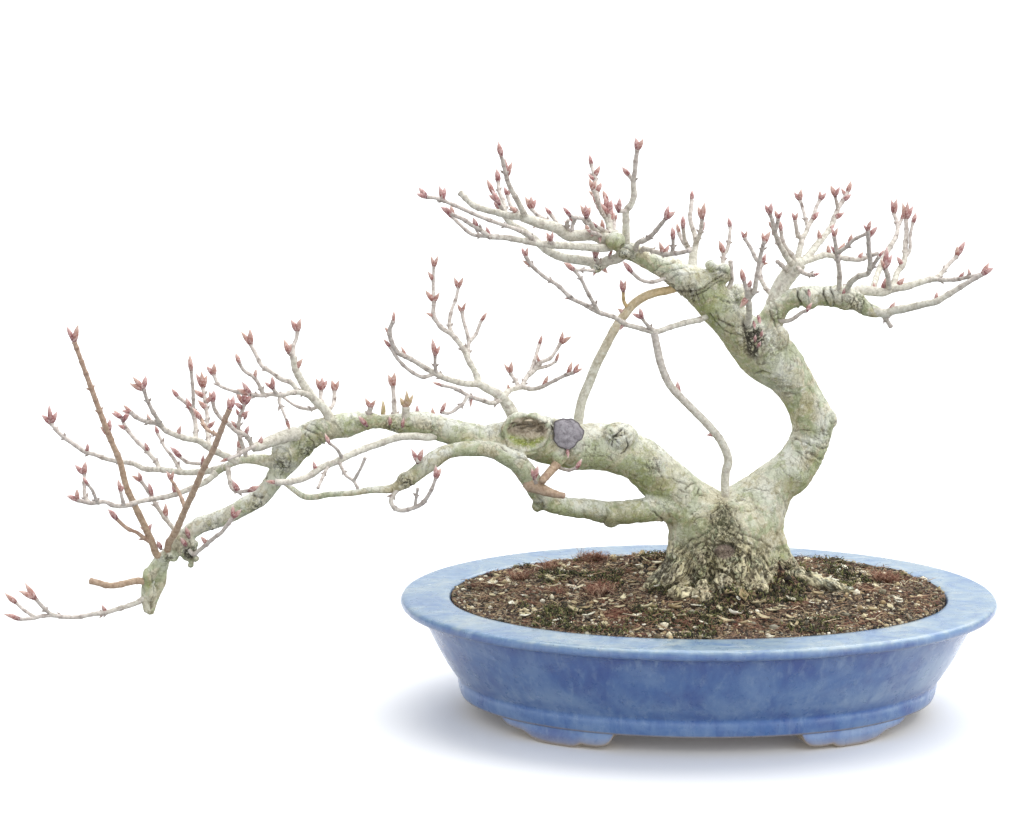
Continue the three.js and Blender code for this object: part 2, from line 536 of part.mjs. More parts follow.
const RIGHT_ARM = [
  { path: [[97, 280], [105, 284.5], [112, 284], [120, 283.5], [127, 286], [135, 287], [143, 289.5],
    [150, 291.5], [156, 293]],
    radii: [3.7, 1.7], lean: 12,
    buds: [[119, 284, 123, 296], [115, 284, 113.5, 291], [129, 286, 135, 294]] },
  { path: [[156, 293], [160, 298], [164, 303], [168, 307]], radii: [1.5, 1.3], lean: 10,
    tips: [[174.5, 319], [168, 315]] },
  { path: [[152, 292], [158, 291.5], [165, 291.5], [170, 292], [177, 293.5], [184, 295]],
    radii: [1.4, 1.1], lean: -12,
    tips: [[191, 297]], buds: [[170, 292, 174, 298], [177, 293.5, 176, 300]] },
  { path: [[124, 285], [123, 294], [121, 299]], radii: [1.7, 1.4], lean: -16, tips: [[122, 316],
    [117.5, 306], [126, 310]] },
  { path: [[127, 286], [129, 296], [133, 302], [134, 308], [134, 315], [134.5, 323], [134, 331]],
    radii: [1.9, 1.3],
    lean: 22, tips: [[131, 344], [135, 345], [139.5, 342]], buds: [[132, 301, 128, 308]] },
  { path: [[134, 306], [137, 311], [137, 320], [138.5, 329]], radii: [1, 0.9], lean: 7,
    tips: [[140.5, 337]] },
  { path: [[113, 284], [116, 295], [119, 303], [121, 308], [125, 315], [128, 321], [128.5, 328],
    [126, 335]],
    radii: [2, 1.2], lean: 44, tips: [[123.5, 346], [128, 346.5]] },
  { path: [[128.5, 327], [131, 331]], radii: [1, 0.9], lean: 3, tips: [[133, 338]] },
];

const RIGHT_FORK = [
  { path: [[96, 282], [98, 289], [104, 294], [110, 296], [111, 305], [110, 312], [109.5, 320], [109, 324]],
    radii: [1.9, 1.2], lean: -36, tips: [[105.5, 329], [111, 332]], buds: [[110, 320, 116.5, 328]] },
  { path: [[110, 296], [112, 299], [115, 304], [117, 307]], radii: [1.2, 1.1], lean: -8,
    tips: [[121, 312]] },
];

const RIGHT_TIP = [
  { path: [[114, 271], [122, 269], [127, 271], [133, 272], [140, 273.5], [148, 275.5], [155, 277],
    [162, 281], [170, 286],
    [178, 291], [185, 295]], radii: [2.8, 1.3], lean: -20, tips: [[190, 304.5], [194, 300]],
    buds: [[124, 270, 129, 278], [155, 277, 156, 285]] },
  { path: [[120, 269], [124, 263], [126, 260]], radii: [1.6, 1.3], lean: 3 },
];

const GRAFT_ARCH = [
  { path: [[-82, 188], [-80, 203], [-78, 212], [-74, 222], [-69, 235], [-65, 243], [-60, 253], [-55, 262],
    [-50, 269],
    [-45, 275], [-38, 280], [-30, 283], [-22, 284.5], [-14, 287]], radii: [3, 2.4], joins: true,
    buds: [[-50, 269, -56, 273]] },
  { path: [[-48, 272], [-51, 277], [-51.5, 284]], radii: [1.1, 1], lean: -5, tips: [[-53.5, 293],
    [-49.5, 292]] },
];

const GRAFT_SHOOT = [
  { path: [[8, 272], [2, 266], [-10, 263], [-20, 260], [-30, 257], [-43, 260], [-50, 262], [-57, 266.5],
    [-68, 270],
    [-77, 275], [-86, 279.5], [-95, 288], [-103, 293], [-112, 301], [-116, 307]], radii: [1.8, 1.1],
    lean: -44,
    tips: [[-119, 314], [-114.5, 314]], buds: [[-51, 262, -54, 257], [-86, 279.5, -91, 279],
      [-112, 301, -119, 305]] },
  { path: [[-31, 257], [-36, 262], [-39, 266]], radii: [1.2, 1], lean: -8, tips: [[-47, 269.5],
    [-41, 274]] },
  { path: [[-68, 270], [-70, 274], [-75, 283], [-80, 293], [-84, 298]], radii: [1.2, 1], lean: -14,
    tips: [[-92, 303.5]] },
  { path: [[-84, 298], [-78, 298], [-71, 297.5]], radii: [1, 0.9], lean: 6 },
  { path: [[17, 140], [17.5, 155], [18, 163], [19.5, 169], [18, 176], [14, 184], [11, 188], [4, 196],
    [-3, 203], [-10, 210],
    [-14, 214], [-20, 221], [-24, 229], [-27, 238], [-29, 247], [-31, 257]], radii: [2.4, 1.9],
    fromLimb: true, joins: true,
    buds: [[11, 188, 3.5, 187], [-14, 214, -15, 225.5], [-15, 215, -20, 217]] },
];

const MIDDLE_SPRAY = [
  { path: [[-122, 190], [-124, 200], [-127, 206], [-131, 212], [-136, 216], [-141, 218.5], [-147, 222]],
    radii: [4.6, 2.4],
    lean: -8 },
  { path: [[-147, 222], [-155, 222], [-162, 223.5], [-170, 226], [-176, 229], [-183, 233], [-190, 237.5],
    [-197, 241],
    [-201, 243.5], [-205, 251], [-206, 258], [-203.5, 264]], radii: [1.9, 1.2], lean: -32,
    tips: [[-203, 272]],
    buds: [[-196, 240, -199, 248], [-205.5, 255, -210, 261]] },
  { path: [[-176, 229], [-184, 226.5], [-190, 229], [-196, 233.5], [-201, 239], [-206, 247]],
    radii: [1.1, 1], lean: -12,
    tips: [[-211, 253]] },
  { path: [[-175, 228], [-176, 234], [-176, 241]], radii: [1, 1], lean: -6, tips: [[-172, 249],
    [-178, 254]] },
  { path: [[-147, 222], [-149, 229], [-154, 238], [-157, 245], [-162, 252], [-166, 256], [-171, 259],
    [-175, 264], [-177, 268],
    [-176.5, 277]], radii: [1.9, 1.2], lean: 16, tips: [[-183, 286], [-172, 284]],
    buds: [[-176, 267, -183, 270]] },
  { path: [[-176.8, 274], [-177, 285], [-177, 292], [-176.5, 300]], radii: [1.1, 0.9], lean: 5,
    tips: [[-179, 308.5], [-173.5, 308.5]], buds: [[-177, 291, -181, 298]] },
  { path: [[-165, 255.5], [-166.5, 262], [-165, 271], [-162, 279], [-160.5, 286]], radii: [1.2, 1],
    lean: 14,
    tips: [[-163.5, 294.5], [-156.5, 294.5]] },
  { path: [[-154, 238], [-154, 247], [-153.5, 250], [-155, 257], [-157, 264], [-158, 270]],
    radii: [1.3, 1], lean: 18,
    tips: [[-161.5, 276.5], [-155, 277.5]] },
  { path: [[-153.5, 250], [-149, 255], [-147, 260], [-145.5, 264]], radii: [1.1, 1], lean: 8,
    tips: [[-141, 271]] },
  { path: [[-131, 212], [-138, 209], [-145, 211], [-152, 213], [-155, 214.5], [-163, 219], [-172, 221]],
    radii: [1.5, 1],
    lean: -26, tips: [[-179, 223]], buds: [[-152, 213, -152.5, 205]] },
  { path: [[-155, 213], [-158, 208], [-161, 206], [-164, 203.5], [-168, 202], [-172, 203]],
    radii: [1, 0.9], lean: -8,
    tips: [[-168, 211]] },
  { path: [[-131, 212], [-127, 217.5], [-122, 219], [-118.5, 220]], radii: [1.9, 1.6], lean: 12,
    buds: [[-127, 217, -128, 223]] },
  { path: [[-121, 220], [-122, 223], [-124, 226], [-126, 229]], radii: [1.3, 1.1], lean: 10,
    tips: [[-131, 236.5], [-125, 238]] },
  { path: [[-118.5, 220], [-116, 225], [-112, 232], [-107, 248]], radii: [1.3, 1.1], lean: 24,
    tips: [[-105, 256]] },
  { path: [[-114, 228], [-110, 231], [-107, 236], [-100, 239], [-96, 244], [-93, 249]], radii: [1.3, 1.1],
    lean: 12,
    tips: [[-91, 258.5], [-84.5, 254.5]], buds: [[-107, 236, -109, 243]] },
  { path: [[-109, 232], [-100, 234.5], [-96, 237]], radii: [1, 0.9], lean: 8, tips: [[-93.5, 244]] },
  { path: [[-118.5, 220], [-112, 218.5], [-105, 220], [-97, 224], [-90, 227.5], [-84, 229.5]],
    radii: [1.4, 1], lean: -16,
    tips: [[-79.5, 237], [-77, 233]], buds: [[-104, 220, -100.5, 229], [-88, 229, -85, 238]] },
];

const UNDER_LIMB = [
  { path: [[-172, 189], [-180, 186], [-190, 186.5], [-200, 186], [-207, 184], [-215, 181], [-225, 177.5],
    [-235, 173],
    [-243, 169], [-252, 165.5], [-260, 160], [-267, 157], [-275, 155.5], [-283, 155]], radii: [2.3, 1.8],
    lean: -34,
    tips: [[-291, 156]], buds: [[-256, 163, -258, 171]] },
  { path: [[-241, 170], [-236, 160], [-231, 156], [-228, 151]], radii: [1, 0.9], lean: -8 },
  { path: [[-231, 156], [-226, 165], [-223, 172]], radii: [0.9, 0.9], lean: -6 },
  { path: [[-238, 171], [-242, 178], [-247, 182]], radii: [1, 0.9], lean: -10, tips: [[-250, 189]] },
  { path: [[-247, 168], [-251, 160], [-255, 151]], radii: [1, 0.9], lean: -9 },
];

const HANGING_TWIG = [
  { path: [[-200, 153], [-206, 143], [-204, 138], [-200, 136], [-195, 136.5], [-188, 139], [-184, 142],
    [-179, 150],
    [-176, 158]], radii: [1.4, 1.1], lean: -14, tips: [[-172, 166], [-176, 168]] },
  { path: [[-190, 138.5], [-189, 146], [-188, 151]], radii: [0.9, 0.8], lean: -6 },
];

const LEFT_HIGH = [
  { path: [[-245, 192], [-247, 200], [-250, 205], [-256, 211], [-262, 219], [-266, 226], [-269, 233],
    [-270, 240]],
    radii: [3.2, 2], lean: -6, buds: [[-268, 232, -263, 240]] },
  { path: [[-270, 240], [-273, 243]], radii: [1.3, 1.2], lean: -3, tips: [[-276.5, 253], [-271, 250]] },
  { path: [[-270, 239], [-270, 247], [-268, 252], [-267, 257]], radii: [1.3, 1.1], lean: 5,
    tips: [[-272, 266.5], [-264.5, 267]] },
  { path: [[-258, 213], [-265, 216], [-272, 216], [-278, 214.5], [-285, 215], [-292, 214], [-299, 215]],
    radii: [1.7, 1.2],
    lean: -24, tips: [[-309, 219], [-305, 225]] },
  { path: [[-281, 214.5], [-284, 219]], radii: [1.2, 1.1], lean: -5, tips: [[-290.5, 224],
    [-284.5, 228.5]] },
  { path: [[-278, 214.5], [-280, 211], [-278, 205], [-275, 197]], radii: [1, 0.9], lean: -6,
    tips: [[-273, 190]] },
  { path: [[-290, 214], [-293, 221], [-296, 226], [-303, 231], [-306, 236]], radii: [1.2, 1], lean: -8,
    tips: [[-308.5, 244]], buds: [[-296, 226, -294.5, 233]] },
  { path: [[-262, 218], [-266, 216.5], [-272, 223], [-278, 225], [-285, 230], [-291, 234], [-294, 240],
    [-298, 248]],
    radii: [1.6, 1.2], lean: 22, tips: [[-305.5, 258.5], [-298.5, 260.5]] },
  { path: [[-253, 208], [-258, 205], [-266, 206], [-272, 209], [-277, 213]], radii: [1.1, 0.9], lean: 18,
    tips: [[-283, 217]] },
  { path: [[-250, 206], [-252, 212], [-252, 218]], radii: [1.3, 1.1], lean: 8,
    tips: [[-256, 227], [-247, 225.5]], buds: [[-252, 217, -251, 228]] },
  { path: [[-249, 203], [-244, 208], [-243, 217]], radii: [1.2, 1.1], lean: 12, tips: [[-245, 226],
    [-239.5, 225.5]] },
  { path: [[-299, 215], [-306, 216], [-314, 218.5], [-320, 221.5], [-323, 228]], radii: [1.1, 1], lean: 7,
    tips: [[-328.5, 235], [-322.5, 237]] },
];

const LEFT_KNUCKLE = [
  { path: [[-264, 184], [-270, 188], [-278, 186], [-285, 183.5], [-293, 180], [-298, 179]],
    radii: [4.6, 2.8], lean: -20,
    buds: [[-294, 180, -291.5, 188]] },
  { path: [[-296, 180], [-303, 177], [-309, 173.5], [-315, 171]], radii: [1.3, 1], lean: -14,
    tips: [[-321, 169]] },
  { path: [[-298, 179], [-302, 187], [-309, 190], [-314, 195], [-319, 199], [-323, 205], [-324, 210]],
    radii: [1.4, 1.1],
    lean: -20, tips: [[-327, 218], [-323, 219]], buds: [[-303, 187, -300, 195]] },
];

const LEFT_MIDDLE_HIGH = [
  { path: [[-309, 169.5], [-318, 174], [-325, 177.5], [-334, 183.5], [-342, 185], [-348, 187], [-355, 190],
    [-361, 195],
    [-370, 197], [-376, 200], [-379, 203]], radii: [2.3, 1.3], lean: -28, tips: [[-384.5, 208.5],
    [-386, 204]],
    buds: [[-348, 187, -345, 195], [-366, 196, -368, 203]] },
  { path: [[-359, 194], [-361, 198], [-364, 203], [-368, 212], [-370, 219]], radii: [1.4, 1.1], lean: -18,
    tips: [[-368, 229], [-378, 228]], buds: [[-370, 218, -380.5, 223]] },
  { path: [[-336, 184], [-336, 196], [-338, 203], [-342, 209], [-347, 213]], radii: [1.4, 1.1], lean: 12,
    tips: [[-352, 220]], buds: [[-338, 204, -342, 214]] },
  { path: [[-327, 179], [-328, 190], [-328, 200], [-329, 210], [-330.5, 219]], radii: [1.4, 1.1], lean: 30,
    tips: [[-335.5, 231], [-331.5, 232], [-327, 229]], buds: [[-328, 192, -322, 198]] },
  { path: [[-337, 200], [-337, 215], [-338, 231]], radii: [1.1, 1], lean: -10, tips: [[-338.5, 243]] },
];

const LEFT_MIDDLE_LONG = [
  { path: [[-317, 165.5], [-330, 162.5], [-338, 162], [-345, 162], [-356, 163.5], [-364, 164],
    [-371, 164.5], [-378, 168],
    [-385, 169], [-395, 171], [-403, 174], [-410, 176], [-417, 181], [-424, 186], [-428, 190], [-432, 195]],
    radii: [2.1, 1.2], lean: 38, tips: [[-439.5, 202], [-433, 210], [-427, 205]],
      buds: [[-409, 175, -408, 183]] },
  { path: [[-361, 164], [-362, 168], [-365, 172], [-370, 178], [-376, 184], [-382, 192], [-385, 199]],
    radii: [1.4, 1.1],
    lean: 18, tips: [[-391, 205]], buds: [[-368, 176, -370.5, 184], [-382, 191, -389, 195]] },
  { path: [[-346, 162], [-348, 166], [-352, 173], [-356, 178], [-359, 184], [-361, 188]], radii: [1.2, 1],
    lean: 16,
    tips: [[-363, 195]] },
  { path: [[-328, 163], [-331, 167.5], [-336, 168], [-342, 169], [-346, 172]], radii: [1.2, 1.1], lean: 10,
    tips: [[-354.5, 180.5]] },
];

const LEFT_MIDDLE_LOW = [
  { path: [[-323, 161.5], [-328, 157], [-333, 154], [-340, 151], [-348, 148], [-356, 145.5], [-365, 144],
    [-375, 142],
    [-385, 139], [-392, 139.5], [-398, 142], [-407, 141], [-416, 143]], radii: [1.8, 1.2], lean: -26,
    tips: [[-424.5, 146.5], [-416, 152]], buds: [[-350, 147, -353, 155]] },
  { path: [[-385, 139], [-386, 144], [-387, 149]], radii: [1.1, 1], lean: -4, tips: [[-389, 158.5],
    [-384.5, 154]] },
  { path: [[-408, 141], [-411, 146], [-411, 156], [-411, 161]], radii: [1.2, 1], lean: 6,
    tips: [[-418, 168.5], [-409.5, 170.5]] },
  { path: [[-402, 141], [-404, 145], [-406, 150], [-409, 154]], radii: [1, 0.9], lean: -12,
    tips: [[-412.5, 160]] },
];

const LEFT_LONG_SHOOT = [
  { path: [[-359, 103], [-364, 106], [-366, 112], [-370, 122], [-374, 131], [-378, 140], [-383, 152],
    [-387, 170], [-391, 180],
    [-394, 188], [-397, 196], [-401, 208], [-405, 220], [-409, 232], [-413, 244], [-415, 250]],
    radii: [2.6, 1.5],
    lean: -40, tips: [[-420.5, 262.5], [-411.5, 263.5]],
    buds: [[-394, 187, -400.5, 194], [-394, 189, -392.5, 200], [-396, 194, -399, 206],
      [-370, 122, -375.5, 125],
      [-370, 121, -366, 128]] },
  { path: [[-367, 114], [-372, 117], [-377, 121], [-382, 123], [-386, 126], [-390, 130]],
    radii: [1.3, 1.1], lean: -10,
    tips: [[-397, 138]] },
];

const LEFT_BACK_SHOOT = [
  { path: [[-356, 108], [-356, 113], [-351, 121], [-346, 132], [-343, 139], [-339, 147], [-335, 156],
    [-331, 165],
    [-325, 176], [-320, 188], [-316, 198], [-313, 205]], radii: [2.5, 1.8], lean: -72,
    tips: [[-309.5, 215.5], [-314, 214]] },
  { path: [[-344, 137], [-347, 146], [-350, 152], [-353, 157]], radii: [1.1, 1], lean: 8,
    tips: [[-356.5, 163.5], [-351, 164]] },
  { path: [[-320, 187], [-325, 189], [-329, 192], [-332, 198]], radii: [1.1, 1], lean: 10,
    tips: [[-338.5, 207]] },
];

const LEFT_RED_SHOOT = [
  { path: [[-345, 117], [-350, 121.5], [-354, 126], [-359, 133], [-363, 139], [-366, 145], [-369, 150],
    [-373, 156]],
    radii: [1.7, 1.1], lean: 4, tips: [[-380.5, 160.5], [-375, 163.5]],
    buds: [[-366, 145, -368.5, 157], [-357, 131, -357, 142.5]] },
];

const LEFT_LOW_SPRAY = [
  { path: [[-345, 116], [-342, 109], [-339, 106], [-336, 108], [-330, 113], [-324, 118], [-320, 121],
    [-316, 126],
    [-312, 131]], radii: [1.5, 1.1], lean: -22, tips: [[-312, 140.5], [-305.5, 137.5]],
    buds: [[-330, 113, -335, 119]] },
];

const LEFT_CROSS_TWIG = [
  { path: [[-315, 166.5], [-314, 158], [-312, 151], [-308, 149], [-301, 149.5]], radii: [1.5, 1.1],
    lean: -20,
    tips: [[-292.5, 153.5]], buds: [[-308, 149, -312.5, 158]] },
];

const LEFT_CUT_SHOOT = [
  { path: [[-370, 87], [-378, 87.5], [-385, 86], [-392, 84.5], [-398, 84.5], [-403, 86], [-409, 87.5]],
    radii: [2.2, 1.9],
    lean: -16 },
];

const LEFT_LOW_TIP = [
  { path: [[-372, 77], [-377, 73], [-385, 70], [-393, 67.5], [-400, 65.5], [-408, 64.5], [-418, 62.5],
    [-427, 62.5],
    [-435, 63.5], [-443, 63], [-449, 61.5], [-457, 61]], radii: [1.6, 1.1], lean: -22, tips: [[-465, 62.5],
    [-470, 65]],
    buds: [[-399, 66, -402.5, 72]] },
  { path: [[-434, 63.5], [-438, 66], [-442, 70], [-446, 75]], radii: [1.2, 1.1], lean: -6,
    tips: [[-454, 88], [-459.5, 81.5]] },
  { path: [[-447, 62], [-451, 65], [-455, 68], [-459, 72]], radii: [1.1, 1], lean: 6,
    tips: [[-468, 80.5]] },
];

const SPRAYS = {
  crown_left_high: CROWN_LEFT_HIGH,
  crown_left_top: CROWN_LEFT_TOP,
  crown_left_low: CROWN_LEFT_LOW,
  crown_left_back: CROWN_LEFT_BACK,
  crown_top: CROWN_TOP,
  crown_front: CROWN_FRONT,
  crown_middle: CROWN_MIDDLE,
  crown_centre: CROWN_CENTRE,
  crown_stem: CROWN_STEM,
  crown_inner: CROWN_INNER,
  crown_inner_right: CROWN_INNER_RIGHT,
  crown_right: CROWN_RIGHT,
  right_rise: RIGHT_RISE,
  right_arm: RIGHT_ARM,
  right_fork: RIGHT_FORK,
  right_tip: RIGHT_TIP,
  graft_arch: GRAFT_ARCH,
  graft_shoot: GRAFT_SHOOT,
  middle_spray: MIDDLE_SPRAY,
  under_limb: UNDER_LIMB,
  hanging_twig: HANGING_TWIG,
  left_high: LEFT_HIGH,
  left_knuckle: LEFT_KNUCKLE,
  left_middle_high: LEFT_MIDDLE_HIGH,
  left_middle_long: LEFT_MIDDLE_LONG,
  left_middle_low: LEFT_MIDDLE_LOW,
  left_long_shoot: LEFT_LONG_SHOOT,
  left_back_shoot: LEFT_BACK_SHOOT,
  left_red_shoot: LEFT_RED_SHOOT,
  left_low_spray: LEFT_LOW_SPRAY,
  left_cross_twig: LEFT_CROSS_TWIG,
  left_cut_shoot: LEFT_CUT_SHOOT,
  left_low_tip: LEFT_LOW_TIP,
};

// The trunk, its limbs and what stands straight on them

function limbSolid(limb, grow) {
  const radii = limb.map((point) => point[3]);
  const sides = sidesFor(Math.max(...radii.slice(1)));
  return tube(limb.map((point) => place(...point)), radii, sides, grow);
}

function rootSolid(root, grow) {
  return tube(root.map(([x, y, z]) => new THREE.Vector3(x, y, z)), root.map((point) => point[3]), 5, grow);
}

function swellingSolid([x, z, depth, ...radii], grow) {
  return knob(place(x, z, depth), radii.map((radius) => radius + grow));
}

function woodSolids(grow) {
  return [
    trunkFoot(grow),
    callusRing(grow),
    ...LIMBS.map((limb) => limbSolid(limb, grow)),
    ...ROOTS.map((root) => rootSolid(root, grow)),
    ...SWELLINGS.map((swelling) => swellingSolid(swelling, grow)),
  ];
}

const TRUNKS = LIMBS.map((limb) => limb.map(([x, z, depth]) => [x, z, depth]));

function trunkSolid() {
  const shorts = LIMB_TWIGS.flatMap((twig) => twigSolids([twig], TRUNKS));
  return mainBody(joined([...woodSolids(0), ...shorts]));
}

// The oval pot

function ovalPoint(turn) {
  const [c, s] = [Math.cos(turn), Math.sin(turn)];
  const bend = (value) => Math.sign(value) * Math.abs(value) ** (2 / OVAL_POWER);
  return new THREE.Vector2((bend(c) * POT_LENGTH) / 2, (bend(s) * POT_WIDTH) / 2);
}

// A ring of the oval, set in from the rim's edge by `inset`
function ovalRing(inset, height) {
  const [halfLength, halfWidth] = [POT_LENGTH / 2, POT_WIDTH / 2];
  return Array.from({ length: POT_SIDES }, (unused, side) => {
    const point = ovalPoint((2 * Math.PI * side) / POT_SIDES);
    const normal = new THREE.Vector2(point.x / halfLength ** 2, point.y / halfWidth ** 2).normalize();
    point.addScaledVector(normal, -inset);
    return new THREE.Vector3(point.x, point.y, height);
  });
}

const POT_OUTSIDE = [
  // inset from the rim's edge, height
  [46, FOOT_HEIGHT], [41, FOOT_HEIGHT + 0.2], [39.8, 13.5], [38.5, 19], [38.7, 22.8], [37, 25.2],
  [32.6, 31.5],
  [26, 43], [19, 57],
  [13, 69.5],
  [4, 71.8], [0.6, 73.6], [0, POT_HEIGHT - 2.4], [2.2, POT_HEIGHT],
];
const POT_FLOOR = 21;
const POT_INSIDE = [
  [LIP_WIDTH, POT_HEIGHT], [33.4, POT_HEIGHT - 1.4], [34, 56], [37, 42], [43, 30], [51, POT_FLOOR],
];

function potSolid() {
  const rings = [...POT_OUTSIDE, ...POT_INSIDE].map(([inset, height]) => ovalRing(inset, height));
  const middle = (height) => new THREE.Vector3(0, 0, height);
  const shell = solidOf(stackedRings(rings, middle(FOOT_HEIGHT), middle(POT_FLOOR)));
  const holes = [-1, 1].map((side) => {
    const geometry = new THREE.CylinderGeometry(DRAIN_HOLE_RADIUS, DRAIN_HOLE_RADIUS, 40, 14);
    geometry.rotateX(Math.PI / 2);
    geometry.translate(side * DRAIN_HOLE_X, 0, FOOT_HEIGHT);
    return solidOf(geometry);
  });
  const feet = [[1, 1], [1, -1], [-1, 1], [-1, -1]].map(([sideX, sideY]) => footSolid(sideX, sideY));
  return mainBody(joined([shell, ...feet]).subtract(joined(holes)));
}

// A cloud foot: its scalloped lower edge, as [distance from the pot's middle, height]
const FOOT_OUTLINE = [
  [60.8, 10.4], [62, 7.2], [64, 4.6], [68, 2.6], [74, 2.1], [79, 2.4], [82, 2.6], [83.6, 1.2], [87, 0],
  [101, 0], [107, 0.8],
  [111.6, 1.9], [116.5, 4.9], [122, 6], [127.6, 7.3], [131.5, 10.4],
];
const FOOT_INSET = 40.4;
const FOOT_DEPTH = 20;
const FOOT_TOP = FOOT_HEIGHT + 3;

function footSolid(sideX, sideY) {
  const [a, b] = [POT_LENGTH / 2 - FOOT_INSET, POT_WIDTH / 2 - FOOT_INSET];
  const rings = FOOT_OUTLINE.map(([x, low]) => {
    const y = b * (1 - (x / a) ** OVAL_POWER) ** (1 / OVAL_POWER);
    const normal = new THREE.Vector2(x / a ** 2, y / b ** 2).normalize();
    const inner = new THREE.Vector2(x, y).addScaledVector(normal, -FOOT_DEPTH);
    return [[x, y, low], [x, y, FOOT_TOP], [inner.x, inner.y, FOOT_TOP], [inner.x, inner.y, low]]
      .map((corner) => new THREE.Vector3(corner[0] * sideX, corner[1] * sideY, corner[2]));
  });
  const turned = sideX * sideY > 0 ? rings : rings.map((ring) => [...ring].reverse());
  return solidOf(stackedRings(turned, middleOf(turned[0]), middleOf(turned.at(-1))));
}

// The soil: it fills the pot and rises to the trunk
const SOIL_EDGE = 76.4;
const SOIL_RISE = 8;
const SOIL_CENTRE = { x: 20, y: 15 };
const SOIL_MOUND = { halfLength: 165, halfWidth: 118 };
const SOIL_RINGS = [0.88, 0.72, 0.54, 0.36, 0.18];

function soilHeight(x, y) {
  const { halfLength, halfWidth } = SOIL_MOUND;
  const away = Math.hypot((x - SOIL_CENTRE.x) / halfLength, (y - SOIL_CENTRE.y) / halfWidth);
  const mound = SOIL_RISE * Math.cos((Math.min(away, 1) * Math.PI) / 2) ** 1.3;
  const bumps = 0.8 * Math.sin(0.09 * x + 1) * Math.sin(0.12 * y) * Math.min(4 * (1.1 - away), 1);
  return SOIL_EDGE + mound + bumps;
}

function soilSolid(trunkRoom, meshRooms) {
  const sideRings = [...POT_INSIDE].reverse().filter(([, height]) => height < SOIL_EDGE)
    .map(([inset, height]) => ovalRing(inset + 2 * GAP, Math.max(height, POT_FLOOR + GAP)));
  const edge = ovalRing(33.6 + 2 * GAP, SOIL_EDGE);
  const topRings = SOIL_RINGS.map((share) => edge.map((point) => {
    const x = point.x * share + SOIL_CENTRE.x * (1 - share);
    const y = point.y * share + SOIL_CENTRE.y * (1 - share);
    return new THREE.Vector3(x, y, soilHeight(x, y));
  }));
  const rings = [...sideRings, edge, ...topRings];
  const low = new THREE.Vector3(0, 0, POT_FLOOR + GAP);
  const peak = new THREE.Vector3(SOIL_CENTRE.x, SOIL_CENTRE.y, soilHeight(SOIL_CENTRE.x, SOIL_CENTRE.y));
  const solid = solidOf(stackedRings(rings, low, peak));
  return mainBody(solid.subtract(joined([trunkRoom, ...meshRooms])));
}

// Drainage mesh over each hole: crossed bars in a square
const MESH_SIZE = 40;
const MESH_THICKNESS = 1.2;
const MESH_BAR = 2.6;
const MESH_BARS = 4;

function drainMesh(side) {
  const pitch = (MESH_SIZE - MESH_BAR) / (MESH_BARS - 1);
  const bars = Array.from({ length: MESH_BARS }, (unused, i) => {
    const offset = -MESH_SIZE / 2 + MESH_BAR / 2 + i * pitch;
    const along = new THREE.BoxGeometry(MESH_SIZE, MESH_BAR, MESH_THICKNESS);
    const across = new THREE.BoxGeometry(MESH_BAR, MESH_SIZE, MESH_THICKNESS);
    along.translate(0, offset, 0);
    across.translate(offset, 0, 0);
    return [solidOf(along), solidOf(across)];
  });
  const height = POT_FLOOR + GAP + MESH_THICKNESS / 2;
  return mainBody(joined(bars.flat())).translate([side * DRAIN_HOLE_X, 0, height]);
}

function meshRoom(side) {
  const [width, height] = [MESH_SIZE + 2 * GAP, 2 * MESH_THICKNESS + 2 * GAP + 2];
  const room = new THREE.BoxGeometry(width, width, height);
  room.translate(side * DRAIN_HOLE_X, 0, POT_FLOOR + GAP - 1);
  return solidOf(room);
}

// The dark sealing paste on the second cut of the limb: a thin domed patch
const PASTE = { x: -88, z: 188.5, depth: -21.5, width: 10, height: 10.5, thickness: 3 };

function pasteSolid(woodRoom) {
  const geometry = new THREE.SphereGeometry(1, 14, 8);
  geometry.scale(PASTE.width, PASTE.thickness, PASTE.height);
  geometry.translate(...place(PASTE.x, PASTE.z, PASTE.depth).toArray());
  return mainBody(solidOf(geometry).subtract(woodRoom));
}

// Materials

const material = (color, roughness) => new THREE.MeshStandardMaterial({ color, roughness, metalness: 0 });
const GLAZE = material('#557dbe', 0.3);
const EARTH = material('#5d3f2e', 0.95);
const PLASTIC_NET = material('#2b2b2b', 0.7);
const BARK = material('#b9b39c', 0.85);
const TWIG = material('#b7a58e', 0.7);
const YOUNG_TWIG = material('#9a6a52', 0.65);
const SEALING_PASTE = material('#55505a', 0.8);
const YOUNG_SPRAYS = [
  'left_long_shoot', 'left_back_shoot', 'left_red_shoot', 'left_low_spray', 'left_low_tip',
];

function named(name, solid, look) {
  const mesh = new THREE.Mesh(geometryOfSolid(solid), look);
  mesh.name = name;
  return mesh;
}

function bonsai() {
  const tree = new THREE.Group();
  const wood = trunkSolid();
  const woodRoom = joined(woodSolids(TUBE_GAP));
  tree.add(named('pot', potSolid(), GLAZE));
  tree.add(named('soil', soilSolid(woodRoom, [meshRoom(-1), meshRoom(1)]), EARTH));
  tree.add(named('drain_mesh_left', drainMesh(-1), PLASTIC_NET));
  tree.add(named('drain_mesh_right', drainMesh(1), PLASTIC_NET));
  tree.add(named('trunk', wood, BARK));
  tree.add(named('sealing_paste', pasteSolid(woodRoom), SEALING_PASTE));
  for (const [name, twigs] of Object.entries(SPRAYS)) {
    const spray = mainBody(joined(twigSolids(twigs, TRUNKS)).subtract(woodRoom));
    tree.add(named(name, spray, YOUNG_SPRAYS.includes(name) ? YOUNG_TWIG : TWIG));
  }
  return tree;
}

// The feet stand on z = 0, and the middle of the whole object's box is the origin
const group = new THREE.Group();
const tree = bonsai();
const box = new THREE.Box3().setFromObject(tree);
tree.position.set(-(box.min.x + box.max.x) / 2, -(box.min.y + box.max.y) / 2, -box.min.z);
group.add(tree);

export default group;
